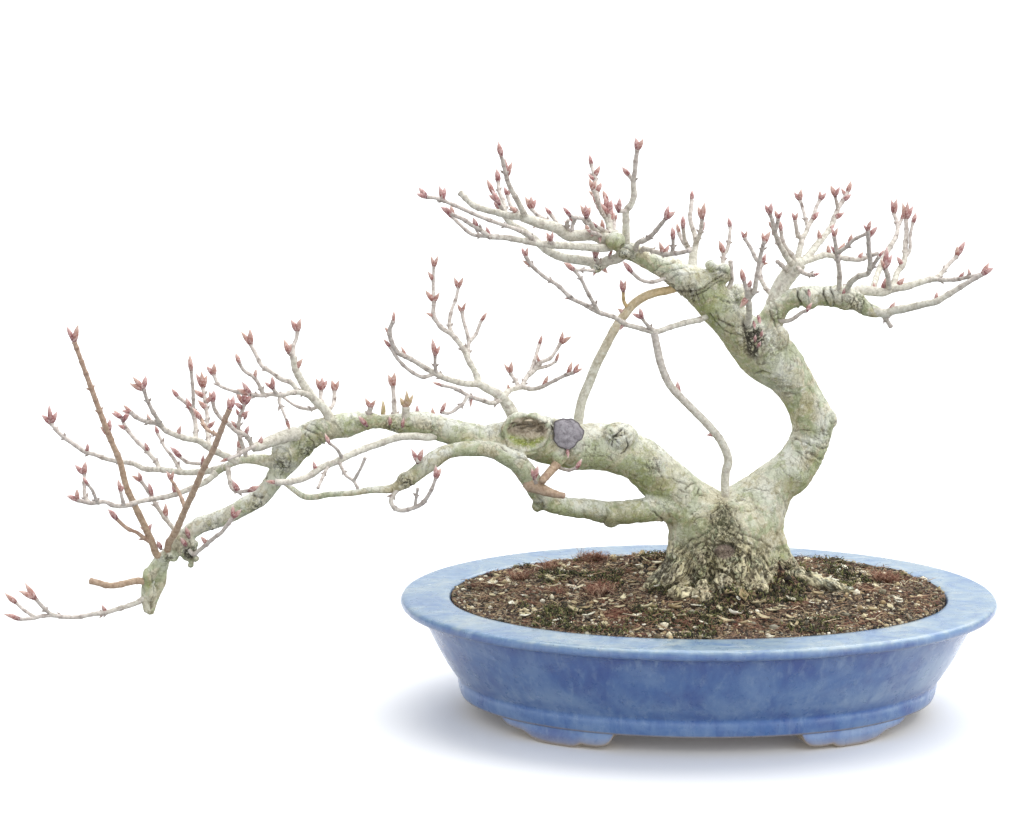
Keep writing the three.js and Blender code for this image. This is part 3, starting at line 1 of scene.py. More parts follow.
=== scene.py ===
"""A leafless Japanese maple bonsai in a blue oval pot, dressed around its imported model.

The tree, its soil and its pot are built in millimetres in the pot's own frame, whose origin is under the
pot's middle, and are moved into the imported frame, in metres, when a mesh is made.
"""

from __future__ import annotations

import logging
import math
from dataclasses import dataclass, field
from enum import Enum

import bmesh
import bpy
import numpy as np
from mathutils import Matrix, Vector

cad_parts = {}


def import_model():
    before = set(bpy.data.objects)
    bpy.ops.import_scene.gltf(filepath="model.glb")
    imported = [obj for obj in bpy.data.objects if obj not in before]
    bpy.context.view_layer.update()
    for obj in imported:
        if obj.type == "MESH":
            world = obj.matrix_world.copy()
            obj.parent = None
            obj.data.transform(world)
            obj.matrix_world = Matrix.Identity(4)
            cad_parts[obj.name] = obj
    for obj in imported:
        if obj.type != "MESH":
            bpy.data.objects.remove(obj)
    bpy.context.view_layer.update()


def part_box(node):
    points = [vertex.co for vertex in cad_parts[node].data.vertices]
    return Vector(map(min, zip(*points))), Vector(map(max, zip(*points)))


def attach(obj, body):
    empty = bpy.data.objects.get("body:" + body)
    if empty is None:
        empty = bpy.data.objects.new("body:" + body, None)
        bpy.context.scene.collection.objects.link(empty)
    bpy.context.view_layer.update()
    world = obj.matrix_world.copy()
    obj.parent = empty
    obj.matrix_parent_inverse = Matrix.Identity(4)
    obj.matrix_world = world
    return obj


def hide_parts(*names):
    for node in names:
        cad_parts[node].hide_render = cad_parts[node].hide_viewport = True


LOG = logging.getLogger("bonsai")
MM = 0.001
ROOT_BODY = "root"

# Branch points are read in the front view, on the upright plane through the pot's centre, as seen from EYE
EYE = np.array((-125.0, -1661.0, 489.0))

# Driving dimensions of the pot, in millimetres
POT_LENGTH = 400.0
POT_WIDTH = 302.0
POT_HEIGHT = 79.0
FOOT_HEIGHT = 11.0
OVAL_POWER = 2.06
POT_FLOOR = 21.0
DRAIN_HOLE_X = 78.0
DRAIN_HOLE_RADIUS = 13.0
SOIL_EDGE = 78.0
SOIL_RISE = 7.5
SOIL_CENTRE = (20.0, 15.0)
SOIL_SPREAD = (165.0, 118.0)
COLLAR_CENTRE = (20.0, 12.0)
COLLAR_RISE = 5.0
COLLAR_SIZE = 50.0
# Mossy clumps against the trunk: x, y, size and height
CLUMPS = [
    (40, -42, 13, 5), (18, -44, 12, 4), (56, 0, 10, 15), (72, 2, 8, 5), (46, -20, 8, 8), (-21, 44, 8, 4),
    (-30, 76, 12, 5), (-2, -40, 9, 3), (62, -16, 12, 5), (-32, 54, 11, 6), (30, -50, 8, 4),
    (52, -36, 9, 5),
]
# Flat mossy patches: x, y and size
MOSS_SPOTS = [
    (-60, -95, 24), (-8, -104, 20), (45, -92, 16), (-105, -72, 18), (95, -50, 12), (-60, 30, 14),
    (-95, 50, 10), (12, -62, 12),
]
# How far a loose piece is kept from what it rests on, in millimetres
GAP = 0.3


@dataclass
class Twig:
    """One twig of a spray, as read in the front view.

    It grows from the nearest point of what is built before it. `path` is x, z, x, z and so on, `tips` the
    x and z of each bud at its end, and `buds` the root x, root z, tip x and tip z of each side bud. `tone`
    tints its buds, from red at 0 over brown to olive at 1. A `tan` twig has young bark.
    """

    path: list[float]
    thick: float
    thin: float
    lean: float = 0.0
    tips: list[float] = field(default_factory=list)
    buds: list[float] = field(default_factory=list)
    joins: bool = False
    from_limb: bool = False
    tone: float | None = None
    tan: bool = False


RIGHT_TRUNK = [
    [32, 128, 16, 28], [50, 153, 19, 16], [63, 164.5, 21, 14.5], [71.5, 179, 23, 13.2],
    [75, 190, 24, 13.4], [74, 201, 24.5, 14], [67.5, 213.5, 24, 13.2], [59, 227, 22, 14.8],
    [49, 237, 20, 17.6], [37, 247, 17, 17.2], [22, 261, 14, 13], [10, 276, 12.5, 13.2],
    [-1, 287, 11, 12.6], [-11, 292, 10, 10.8], [-22, 299, 9, 8.3], [-36, 304.5, 7.5, 5.8],
    [-47, 311, 6.5, 6.2], [-55, 315, 5.5, 5], [-64, 318.6, 4.5, 4.2],
]
LEFT_LIMB = [
    [4, 128, 14, 24], [-8, 141, 13, 19], [-18, 150, 12, 17], [-29, 160.5, 9, 16], [-39, 170, 6, 15.4],
    [-52, 176, 3, 15], [-65, 179.5, 0, 15.8], [-79, 179, -3, 15.2], [-90, 181.5, -4, 16],
    [-102, 184, -5, 15.5], [-115, 187, -6, 14], [-128, 186, -7, 11.8], [-142, 185.5, -8, 8.8],
    [-155, 187.5, -8, 8.6], [-170, 191, -8, 8.6], [-185, 195.5, -7, 8.2], [-200, 195.5, -6, 6.6],
    [-212, 196.5, -5, 4.8], [-222, 197, -4, 6.2], [-233, 195, -2, 8.3], [-245, 192.5, 0, 8],
    [-255, 189.5, 2, 8.8], [-263, 185, 4, 9.4], [-269, 178, 5, 9.2], [-275, 170, 6, 8.2],
    [-281, 162, 7, 6.8], [-287, 153, 8, 6], [-294, 145, 9, 6.4], [-303, 139.5, 9.5, 6.1],
    [-313, 134, 10, 6], [-325, 129, 10, 5.8], [-335, 125.5, 10, 5.6], [-345, 118, 10, 5.4],
    [-354, 109, 11, 4.8], [-361, 101, 12, 4.2],
]
LOWER_LIMB = [
    [-4, 134, 9, 13], [-18, 137.5, 4, 10], [-30, 137, 0, 8.8], [-48, 135, -6, 7.8], [-60, 134.5, -9, 7.6],
    [-75, 137, -12, 7], [-90, 139, -15, 6.5], [-99, 141, -17, 6.3], [-106, 146, -18.5, 6.2],
    [-111, 155, -20, 6.6], [-118, 165, -21, 6.8], [-128, 172.5, -22, 6], [-140, 177.5, -22, 5.3],
    [-155, 178, -21, 5], [-168, 176, -20, 5], [-178, 170, -20, 5.8], [-188, 162, -20, 5.4],
    [-196, 156, -21, 4.6], [-205, 151, -22, 3.1], [-220, 150, -22, 2.5], [-232, 148, -21, 2.3],
    [-247, 147, -19, 2.2], [-262, 145, -15, 2.2], [-271, 150, -9, 2.1], [-281, 159, 3, 2.1],
]
RIGHT_LIMB = [
    [38, 247, 17, 15], [46, 264, 16, 9], [52, 274.5, 15, 7.4], [60, 279, 14, 6.5], [70, 281, 12, 7],
    [80, 281, 10, 6.5], [90, 280.5, 8, 7.5], [97, 279, 7, 7.5], [104, 276, 6, 6.2], [110, 272, 5, 5],
    [118, 269.5, 4, 3.8],
]
CASCADE_STEM = [
    [-278, 167, 6, 5.5], [-290, 170, 5, 4.2], [-300, 171, 4, 3.2], [-309, 169.5, 3, 2.6],
    [-317, 165.5, 2, 2.4], [-323, 161.5, 2, 2.2],
]
HOOK_FRONT = [[-361, 103, 12, 4.4], [-366, 96, 11, 4.2], [-370, 87, 10, 3.8], [-372, 77, 9, 3.2],
              [-371, 66, 9, 2.6]]
HOOK_BACK = [[-359, 103, 13, 4.4], [-361, 94, 15, 4], [-362, 86, 16, 3.8], [-366, 76, 15, 3.2],
             [-369.5, 65, 11, 2.8]]
LIMBS = [RIGHT_TRUNK, LEFT_LIMB, LOWER_LIMB, RIGHT_LIMB, CASCADE_STEM, HOOK_FRONT, HOOK_BACK]

# Swellings of the limbs: [x, z, depth, half-width, half-depth, half-height]
SWELLINGS = [
    [-275, 175, 4, 10.5, 10.5, 10.5], [11, 295, 9, 8, 8, 8], [24, 281, 12, 7, 7, 8],
    [86, 198, 22, 5.5, 6, 6.5], [-59, 129, -8, 5.5, 5.5, 4.5], [-196, 157, -21, 5.8, 5.5, 5.5],
    [95, 280, 6, 9, 8.5, 8.5], [-54, 186.5, -6, 14, 12, 9.5], [-343, 110, 7, 6.5, 6, 9],
]

# Rings of the trunk's foot
FOOT_RINGS = [
    # height, half-width, half-depth, how far the root lobes stand out
    [50, 34, 30, 0.1], [70, 50, 42, 0.24], [80, 52, 44, 0.26], [88, 48, 41, 0.22], [97, 43.5, 38, 0.14],
    [108, 40, 36, 0.07], [120, 38, 34.5, 0.04], [131, 36, 32, 0.02], [141, 27, 25, 0],
]

# Roots: [x, y, z, radius] in true positions; the first two lie on the soil, the rest are in it
ROOTS = [
    [[83, 68, 78.5, 1.8], [90, 69, 81.5, 2.3], [99, 67, 82, 2.2], [108, 65, 81, 1.8], [116, 61, 78, 1.2]],
    [[52, 6, 92, 10], [72, -4, 90, 6], [88, -10, 87, 4], [104, -16, 82.5, 3], [112, -20, 79, 2]],
    [[2, -8, 90, 11], [-12, -20, 84, 6.5], [-24, -32, 78, 4.5]],
    [[34, -8, 88, 12], [38, -28, 84, 7], [44, -44, 76, 5]],
    [[-4, 20, 74, 12], [-38, 26, 64, 7], [-72, 22, 52, 4], [-100, 30, 42, 2.5]],
    [[50, 30, 72, 12], [78, 48, 60, 7], [104, 56, 46, 4], [124, 50, 38, 2.5]],
    [[20, 40, 70, 11], [6, 70, 58, 6], [-14, 88, 46, 3]],
    [[30, -10, 66, 10], [60, -48, 54, 5.5], [90, -62, 44, 3]],
]

# Short twigs and resting buds that stand straight on the trunk and limbs
LIMB_TWIGS = [
    Twig([-24, 293, -33, 290, -40, 291.5, -46, 296.5], 1.3, 1, -10, [-53, 305]),
    Twig([19, 288, 19, 304], 1.5, 1.3, -3),
    Twig([54, 264, 60, 265, 67, 270, 70, 271], 1.5, 1.1, -12, [74, 277]),
    Twig([94, 280, 95, 288], 1.4, 1.4, -2),
    Twig([-222, 198, -219, 206], 1.6, 1.4, -3, [-223, 213.5, -215, 212], tone=0.7),
    Twig([-211, 195, -211, 198], 2, 2, 2, [-211, 213], tone=1),
    Twig([-203, 198, -203.5, 210, -204, 220], 1.5, 1.2, 5, [-207.5, 229.5, -202.5, 231], tone=0.75),
    Twig([-196, 198, -195.5, 206], 2.4, 2.2, -4, [-200, 214, -195, 219, -190, 216], tone=0.95),
    Twig([-187, 172, -188, 169], 1.8, 1.6, -4, [-193, 179.5, -183.5, 179.5]),
    Twig([-188, 198, -188, 201], 1.6, 1.6, 0, [-188, 209]),
    Twig([-177, 196, -177.5, 199], 1.6, 1.6, 3, [-178, 207]),
    Twig([-92, 175, -95, 168, -100, 162, -105, 156], 3.4, 2.2, -20, tan=True),
    Twig([-92, 172, -95, 167, -88, 163.5, -82, 165], 1.3, 1, -15, [-78, 172]),
    Twig([-113, 154, -104, 150, -97, 147.5, -90, 146], 4.4, 1.6, -12, tan=True),
    Twig([-108, 152, -110, 158], 1.4, 1.1, -10, [-112, 166, -107, 168]),
    Twig([-308, 170, -307, 178], 1.5, 1.4, 3, [-307, 187.5]),
    Twig([-302, 171, -305, 181, -307.5, 190, -306, 200, -303, 208], 1.3, 1, -7, [-309.5, 219, -303, 221.5,
        -297, 217], [-306, 200, -299, 204, -307, 192, -313, 198, -304, 205, -311, 210]),
    Twig([-50, 311, -54, 317, -58, 323], 3.2, 2.6, 0),
]

# Sprays: twigs with their front-view path, root and tip radius, lean in depth, end buds and side buds
SPRAYS = {
    "crown_left_high": [
        Twig([-58, 316.5, -64, 318.6, -72, 321.5, -80, 321, -88, 321, -95, 325.5, -107, 329, -118, 333],
            4, 2.8, -14, buds=[-74, 321, -77, 330, -107, 329, -112, 325]),
        Twig([-118, 333, -128, 334, -135, 336, -143, 338, -150, 340.5, -155, 345, -159, 349], 2.1, 1.9,
            16),
        Twig([-116, 333, -118, 337, -121, 343, -126, 352, -128, 357, -129, 361, -132, 373], 1.8, 1.1, -20,
            [-134, 384], [-128, 362, -129.5, 373, -128, 359, -124, 371]),
        Twig([-119, 334, -122, 336, -126, 341, -128, 347], 1.4, 1.1, 9, [-130.5, 354, -126, 353], [-122,
            335, -128, 341]),
        Twig([-98, 327, -103, 331, -107, 333, -112, 338], 1.5, 1.2, 20, [-117, 347.5, -112.5, 348, -108.5,
            346]),
        Twig([-93, 325, -96, 330, -99, 334], 1.3, 1.1, 12, [-104, 341]),
        Twig([-70, 321, -73, 328, -76, 333], 1.7, 1.3, -22, [-81, 342, -77, 342.5, -73, 341]),
        Twig([-76, 329, -79, 332, -84, 332.5, -87, 334], 1.2, 1.1, -14, [-92.5, 340.5]),
        Twig([-83, 333, -85, 328, -85.5, 324], 1.2, 1.1, 2, buds=[-84.5, 330, -88.5, 334]),
        Twig([-86, 322, -89, 327, -88, 331], 1.2, 1.1, -6, buds=[-88, 328, -91, 331]),
        Twig([-66, 320, -70, 322, -73, 323], 1.4, 1.2, -14, [-77, 325], [-68, 320, -67, 315, -70, 322,
            -74, 320]),
    ],
    "crown_left_top": [
        Twig([-58, 316, -60.5, 323, -62, 331, -66, 337, -69, 345, -70, 352, -71, 360, -73, 367], 2.3, 1.1,
            30, [-74.5, 375], [-70, 357, -76, 362, -70, 360, -66.5, 368, -69, 346, -75.5, 351, -69, 349,
            -66, 357, -65, 336, -62, 345, -62, 331, -58, 340]),
        Twig([-61, 325, -60.5, 332, -62, 338, -62.5, 343], 1.7, 1.2, 8, [-66, 352], [-62, 338, -64.5, 348,
            -61, 336, -59.5, 346, -62, 334, -68, 344, -61, 330, -57, 337]),
        Twig([-64, 333, -67, 338, -70, 347, -72, 351], 1.3, 1.1, -12, [-74.5, 359.5, -70, 358], [-68, 341,
            -73, 349, -66, 337, -71, 342]),
        Twig([-60, 320, -58, 325, -58, 330], 1.4, 1.2, 14, [-60.5, 337, -55.5, 336]),
        Twig([-60, 322, -66, 325, -70, 327], 1.3, 1.1, -16, [-75, 331], [-65, 325, -66, 333, -62, 323,
            -68, 319]),
    ],
    "crown_left_low": [
        Twig([-57, 315.5, -62, 313, -68, 312.5, -80, 313.5, -97, 314.5, -110, 316, -118, 317.5, -130,
            319.5, -140, 320], 2.6, 1.6, -46, buds=[-99, 315, -103, 321, -141, 320, -142, 328]),
        Twig([-110, 316.5, -115, 322, -121, 324.5, -130, 327.5, -140, 331, -150, 335, -160, 339.5, -167,
            342.5, -175, 345.5, -181, 346], 1.3, 1.1, -32, [-187, 354, -189, 349], [-170, 343, -173, 355,
            -171, 344, -168.5, 354]),
        Twig([-141, 321, -148, 326, -152, 328, -157, 331.5, -165, 335], 1.3, 1.1, -3, [-173, 340.5,
            -168.5, 340.5], [-148, 326, -151, 334]),
        Twig([-141, 320.5, -151, 321.5, -158, 327, -164, 333], 1.2, 1.1, 14, [-170, 339, -165.5, 342]),
        Twig([-98, 315, -99.5, 317], 1.5, 1.4, -4, [-103, 324, -98, 324.5]),
    ],
    "crown_left_back": [
        Twig([-50, 312, -55, 306, -62, 304, -69, 300, -72, 303, -80, 304.5, -90, 306, -97, 308.5, -103,
            312, -110, 318, -118, 324, -125, 328, -130, 335, -134, 343, -137, 348], 3.4, 1.7, 14, [-142,
            359.5], [-138, 341, -141.5, 348, -64, 303, -63, 296, -69, 300, -72, 293]),
        Twig([-129, 334, -131, 344, -133.5, 350, -134, 356], 1.4, 1.1, 12, [-135.5, 366]),
        Twig([-131, 337, -133, 341], 1.3, 1.2, -3, [-139, 352], [-130, 335, -138, 344]),
        Twig([-68, 303, -70, 307], 1.4, 1.3, -8, [-71.5, 315.5, -67.5, 313], [-66, 301, -61, 295]),
        Twig([-61, 305, -60.5, 308], 1.1, 1, -4, [-58.5, 313]),
    ],
    "crown_top": [
        Twig([-50, 312, -50, 320, -50, 330, -50, 337, -47, 341, -45, 347, -45.5, 356, -44.5, 363, -44,
            370, -43, 377], 2.5, 1.2, -14, [-44.5, 386.5, -38.5, 385.5]),
        Twig([-46, 357, -48, 360], 1.2, 1.1, 3, [-53.5, 367]),
        Twig([-50, 337, -55, 337], 1.4, 1.2, -5, [-58.5, 343, -54, 347]),
    ],
    "crown_front": [
        Twig([-44, 310, -42, 316, -37, 318, -33, 321, -28, 327, -24, 332], 1.6, 1.2, -34, [-21.5, 342,
            -16.5, 337.5]),
    ],
    "crown_middle": [
        Twig([-42, 308, -38, 312, -30, 310, -24, 308.5, -14, 309.5, -8, 311], 1.6, 1.2, -24, buds=[-25,
            309, -28.5, 318, -25, 309, -21, 316]),
        Twig([-19.5, 309, -19, 313, -19, 319], 1.1, 1, -6, [-20, 328]),
    ],
    "crown_centre": [
        Twig([-6, 295, -6, 303, -5.5, 309], 3.2, 2.6, 10),
        Twig([-6, 309, -9, 312, -13, 318, -15, 322], 1.6, 1.2, 18, [-17, 330]),
        Twig([-9, 313, -11, 317, -12.5, 326], 1.3, 1.1, -8, [-12.5, 335.5]),
        Twig([-5, 309, -4, 316, -5, 322, -7, 328, -8, 333, -7.5, 338, -7, 344], 1.7, 1.2, 16, [-6.5, 352]),
        Twig([-4, 315, -3, 318, -1, 323, -0.5, 327, 0, 332], 1.5, 1.1, -12, [-3.5, 341, 2, 344], [-1, 323,
            2.5, 331]),
    ],
    "crown_stem": [
        Twig([12, 294, 14, 302, 14.5, 309], 1.8, 1.3, 14, buds=[14.5, 309, 11, 319]),
        Twig([14.5, 309, 16.5, 311, 18, 318, 18.5, 326], 1.2, 1, 7, [17, 334]),
    ],
    "crown_inner": [
        Twig([30, 262, 32, 270, 31, 279, 30.5, 286], 2.2, 1.7, -24, [33, 292.5], [31, 280, 25, 272]),
        Twig([30, 285, 28, 291], 1.2, 1.1, -3, [26, 300.5]),
        Twig([31, 279, 35, 284, 36, 290, 37, 297, 38, 304], 1.6, 1.2, -8),
        Twig([38, 304, 36, 305, 33, 311, 30, 316, 28, 319], 1.2, 1.1, 4, [25.5, 325, 30, 325]),
        Twig([38, 304, 40, 313, 41, 317], 1.2, 1.1, -6, [39.5, 324], [40, 315, 46, 325]),
    ],
    "crown_inner_right": [
        Twig([48, 272, 47, 280, 42, 287, 39, 293, 38.5, 298, 40, 302], 1.5, 1.2, 24, [42.5, 310, 45, 303]),
    ],
    "crown_right": [
        Twig([48, 272, 50, 280, 53, 288, 57, 294, 61, 299, 64, 303], 5, 4.9, 2),
        Twig([58, 296, 53, 301, 50, 303.5], 1.6, 1.2, -14),
        Twig([62, 301, 57, 305, 54, 310, 51, 315, 49, 320, 47, 326, 46, 331, 44.5, 335], 2, 1.2, -26,
            [40.5, 342.5, 45.5, 343.5], [47, 325, 43, 331]),
        Twig([48.5, 325, 50, 332], 1.1, 1, -4, [47, 338.5, 53, 337.5]),
        Twig([61, 302, 60, 307, 56, 312, 53, 318, 52, 324], 1.5, 1.1, -8, [51, 332]),
        Twig([63, 302, 63.5, 307, 65, 314, 66, 319], 2, 1.6, 8),
        Twig([66, 319, 63, 321, 62, 326, 61, 331], 1.4, 1.1, -6, [58.5, 337, 63, 337]),
        Twig([66, 319, 68, 322, 70, 327, 73, 333, 75, 340, 77, 344], 1.5, 1.1, 14, [77, 351.5, 82, 350],
            [72, 331, 77.5, 337.5]),
        Twig([69.5, 326, 67, 335, 65.5, 340, 64, 344], 1.1, 1, 9, [59.5, 350.5, 65, 352.5]),
        Twig([65, 303, 68, 305, 72, 309.5, 76, 315, 81, 321, 85, 327, 87, 333, 90, 340, 93, 345, 95, 349],
            2.4, 1.2, 34, [97.5, 358], [92, 344, 98.5, 349, 94, 347, 90.5, 353, 78, 317, 76.5, 326, 83,
            324, 88, 329, 87, 332, 94.5, 337]),
        Twig([89, 339, 88, 343, 87, 347], 1.1, 1, -6, [83.5, 355, 90.5, 354]),
        Twig([66, 303, 75, 306, 82, 308, 88, 307, 96, 305.5, 104, 305, 110, 307, 116, 309], 2, 1.3, 22,
            buds=[84, 308, 83, 316, 103, 305, 107, 311]),
        Twig([63, 300, 66, 297, 70, 295, 74, 294.5], 1.4, 1.2, -22, [79, 296]),
    ],
    "right_rise": [
        Twig([91, 281, 91, 289, 91, 296, 90, 303, 89, 309, 88, 315, 87, 320], 1.7, 1.1, -20, [85, 327,
            89.5, 327], [89, 309, 84, 315, 90, 308, 95, 318]),
        Twig([90, 310, 95, 313, 100, 318, 108, 322], 1.2, 1, -12, buds=[97, 315, 99, 323]),
    ],
    "right_arm": [
        Twig([97, 280, 105, 284.5, 112, 284, 120, 283.5, 127, 286, 135, 287, 143, 289.5, 150, 291.5, 156,
            293], 3.7, 1.7, 12, buds=[119, 284, 123, 296, 115, 284, 113.5, 291, 129, 286, 135, 294]),
        Twig([156, 293, 160, 298, 164, 303, 168, 307], 1.5, 1.3, 10, [174.5, 319, 168, 315]),
        Twig([152, 292, 158, 291.5, 165, 291.5, 170, 292, 177, 293.5, 184, 295], 1.4, 1.1, -12, [191,
            297], [170, 292, 174, 298, 177, 293.5, 176, 300]),
        Twig([124, 285, 123, 294, 121, 299], 1.7, 1.4, -16, [122, 316, 117.5, 306, 126, 310]),
        Twig([127, 286, 129, 296, 133, 302, 134, 308, 134, 315, 134.5, 323, 134, 331], 1.9, 1.3, 22, [131,
            344, 135, 345, 139.5, 342], [132, 301, 128, 308]),
        Twig([134, 306, 137, 311, 137, 320, 138.5, 329], 1, 0.9, 7, [140.5, 337]),
        Twig([113, 284, 116, 295, 119, 303, 121, 308, 125, 315, 128, 321, 128.5, 328, 126, 335], 2, 1.2,
            44, [123.5, 346, 128, 346.5]),
        Twig([128.5, 327, 131, 331], 1, 0.9, 3, [133, 338]),
    ],
    "right_fork": [
        Twig([96, 282, 98, 289, 104, 294, 110, 296, 111, 305, 110, 312, 109.5, 320, 109, 324], 1.9, 1.2,
            -36, [105.5, 329, 111, 332], [110, 320, 116.5, 328]),
        Twig([110, 296, 112, 299, 115, 304, 117, 307], 1.2, 1.1, -8, [121, 312]),
    ],
    "right_tip": [
        Twig([114, 271, 122, 269, 127, 271, 133, 272, 140, 273.5, 148, 275.5, 155, 277, 162, 281, 170,
            286, 178, 291, 185, 295], 2.8, 1.3, -20, [190, 304.5, 194, 300], [124, 270, 129, 278, 155,
            277, 156, 285]),
        Twig([120, 269, 124, 263, 126, 260], 1.6, 1.3, 3),
    ],
    "graft_arch": [
        Twig([-82, 188, -80, 203, -78, 212, -74, 222, -69, 235, -65, 243, -60, 253, -55, 262, -50, 269,
            -45, 275, -38, 280, -30, 283, -22, 284.5, -14, 287], 3, 2.4, 0, buds=[-50, 269, -56, 273],
            joins=True),
        Twig([-48, 272, -51, 277, -51.5, 284], 1.1, 1, -5, [-53.5, 293, -49.5, 292]),
    ],
    "graft_shoot": [
        Twig([8, 272, 2, 266, -10, 263, -20, 260, -30, 257, -43, 260, -50, 262, -57, 266.5, -68, 270, -77,
            275, -86, 279.5, -95, 288, -103, 293, -112, 301, -116, 307], 1.8, 1.1, -44, [-119, 314,
            -114.5, 314], [-51, 262, -54, 257, -86, 279.5, -91, 279, -112, 301, -119, 305]),
        Twig([-31, 257, -36, 262, -39, 266], 1.2, 1, -8, [-47, 269.5, -41, 274]),
        Twig([-68, 270, -70, 274, -75, 283, -80, 293, -84, 298], 1.2, 1, -14, [-92, 303.5]),
        Twig([-84, 298, -78, 298, -71, 297.5], 1, 0.9, 6),
        Twig([17, 140, 17.5, 155, 18, 163, 19.5, 169, 18, 176, 14, 184, 11, 188, 4, 196, -3, 203, -10,
            210, -14, 214, -20, 221, -24, 229, -27, 238, -29, 247, -31, 257], 2.7, 2.2, 0, buds=[11, 188,
            3.5, 187, -14, 214, -15, 225.5, -15, 215, -20, 217], joins=True, from_limb=True),
    ],
    "middle_spray": [
        Twig([-122, 190, -124, 200, -127, 206, -131, 212, -136, 216, -141, 218.5, -147, 222], 4.6, 2.4,
            -8),
        Twig([-147, 222, -155, 222, -162, 223.5, -170, 226, -176, 229, -183, 233, -190, 237.5, -197, 241,
            -201, 243.5, -205, 251, -206, 258, -203.5, 264], 1.9, 1.2, -32, [-203, 272], [-196, 240, -199,
            248, -205.5, 255, -210, 261]),
        Twig([-176, 229, -184, 226.5, -190, 229, -196, 233.5, -201, 239, -206, 247], 1.1, 1, -12, [-211,
            253]),
        Twig([-175, 228, -176, 234, -176, 241], 1, 1, -6, [-172, 249, -178, 254]),
        Twig([-147, 222, -149, 229, -154, 238, -157, 245, -162, 252, -166, 256, -171, 259, -175, 264,
            -177, 268, -176.5, 277], 1.9, 1.2, 16, [-183, 286, -172, 284], [-176, 267, -183, 270]),
        Twig([-176.8, 274, -177, 285, -177, 292, -176.5, 300], 1.1, 0.9, 5, [-179, 308.5, -173.5, 308.5],
            [-177, 291, -181, 298]),
        Twig([-165, 255.5, -166.5, 262, -165, 271, -162, 279, -160.5, 286], 1.2, 1, 14, [-163.5, 294.5,
            -156.5, 294.5]),
        Twig([-154, 238, -154, 247, -153.5, 250, -155, 257, -157, 264, -158, 270], 1.3, 1, 18, [-161.5,
            276.5, -155, 277.5]),
        Twig([-153.5, 250, -149, 255, -147, 260, -145.5, 264], 1.1, 1, 8, [-141, 271]),
        Twig([-131, 212, -138, 209, -145, 211, -152, 213, -155, 214.5, -163, 219, -172, 221], 1.5, 1, -26,
            [-179, 223], [-152, 213, -152.5, 205]),
        Twig([-155, 213, -158, 208, -161, 206, -164, 203.5, -168, 202, -172, 203], 1, 0.9, -8, [-168,
            211]),
        Twig([-131, 212, -127, 217.5, -122, 219, -118.5, 220], 1.9, 1.6, 12, buds=[-127, 217, -128, 223]),
        Twig([-121, 220, -122, 223, -124, 226, -126, 229], 1.3, 1.1, 10, [-131, 236.5, -125, 238]),
        Twig([-118.5, 220, -116, 225, -112, 232, -107, 248], 1.3, 1.1, 24, [-105, 256]),
        Twig([-114, 228, -110, 231, -107, 236, -100, 239, -96, 244, -93, 249], 1.3, 1.1, 12, [-91, 258.5,
            -84.5, 254.5], [-107, 236, -109, 243]),
        Twig([-109, 232, -100, 234.5, -96, 237], 1, 0.9, 8, [-93.5, 244]),
        Twig([-118.5, 220, -112, 218.5, -105, 220, -97, 224, -90, 227.5, -84, 229.5], 1.4, 1, -16, [-79.5,
            237, -77, 233], [-104, 220, -100.5, 229, -88, 229, -85, 238]),
    ],
    "under_limb": [
        Twig([-172, 189, -180, 186, -190, 186.5, -200, 186, -207, 184, -215, 181, -225, 177.5, -235, 173,
            -243, 169, -252, 165.5, -260, 160, -267, 157, -275, 155.5, -283, 155], 2.3, 1.8, -34, [-291,
            156], [-256, 163, -258, 171]),
        Twig([-241, 170, -236, 160, -231, 156, -228, 151], 1, 0.9, -8),
        Twig([-231, 156, -226, 165, -223, 172], 0.9, 0.9, -6),
        Twig([-238, 171, -242, 178, -247, 182], 1, 0.9, -10, [-250, 189]),
        Twig([-247, 168, -251, 160, -255, 151], 1, 0.9, -9),
    ],
    "hanging_twig": [
        Twig([-200, 153, -206, 143, -204, 138, -200, 136, -195, 136.5, -188, 139, -184, 142, -179, 150,
            -176, 158], 1.4, 1.1, -14, [-172, 166, -176, 168]),
        Twig([-190, 138.5, -189, 146, -188, 151], 0.9, 0.8, -6),
    ],
    "left_high": [
        Twig([-245, 192, -247, 200, -250, 205, -256, 211, -262, 219, -266, 226, -269, 233, -270, 240],
            3.2, 2, -6, buds=[-268, 232, -263, 240]),
        Twig([-270, 240, -273, 243], 1.3, 1.2, -3, [-276.5, 253, -271, 250]),
        Twig([-270, 239, -270, 247, -268, 252, -267, 257], 1.3, 1.1, 5, [-272, 266.5, -264.5, 267]),
        Twig([-258, 213, -265, 216, -272, 216, -278, 214.5, -285, 215, -292, 214, -299, 215], 1.7, 1.2,
            -24, [-309, 219, -305, 225]),
        Twig([-281, 214.5, -284, 219], 1.2, 1.1, -5, [-290.5, 224, -284.5, 228.5]),
        Twig([-278, 214.5, -280, 211, -278, 205, -275, 197], 1, 0.9, -6, [-273, 190]),
        Twig([-290, 214, -293, 221, -296, 226, -303, 231, -306, 236], 1.2, 1, -8, [-308.5, 244], [-296,
            226, -294.5, 233]),
        Twig([-262, 218, -266, 216.5, -272, 223, -278, 225, -285, 230, -291, 234, -294, 240, -298, 248],
            1.6, 1.2, 22, [-305.5, 258.5, -298.5, 260.5]),
        Twig([-253, 208, -258, 205, -266, 206, -272, 209, -277, 213], 1.1, 0.9, 18, [-283, 217]),
        Twig([-250, 206, -252, 212, -252, 218], 1.3, 1.1, 8, [-256, 227, -247, 225.5], [-252, 217, -251,
            228]),
        Twig([-249, 203, -244, 208, -243, 217], 1.2, 1.1, 12, [-245, 226, -239.5, 225.5]),
        Twig([-299, 215, -306, 216, -314, 218.5, -320, 221.5, -323, 228], 1.1, 1, 7, [-328.5, 235, -322.5,
            237]),
    ],
    "left_knuckle": [
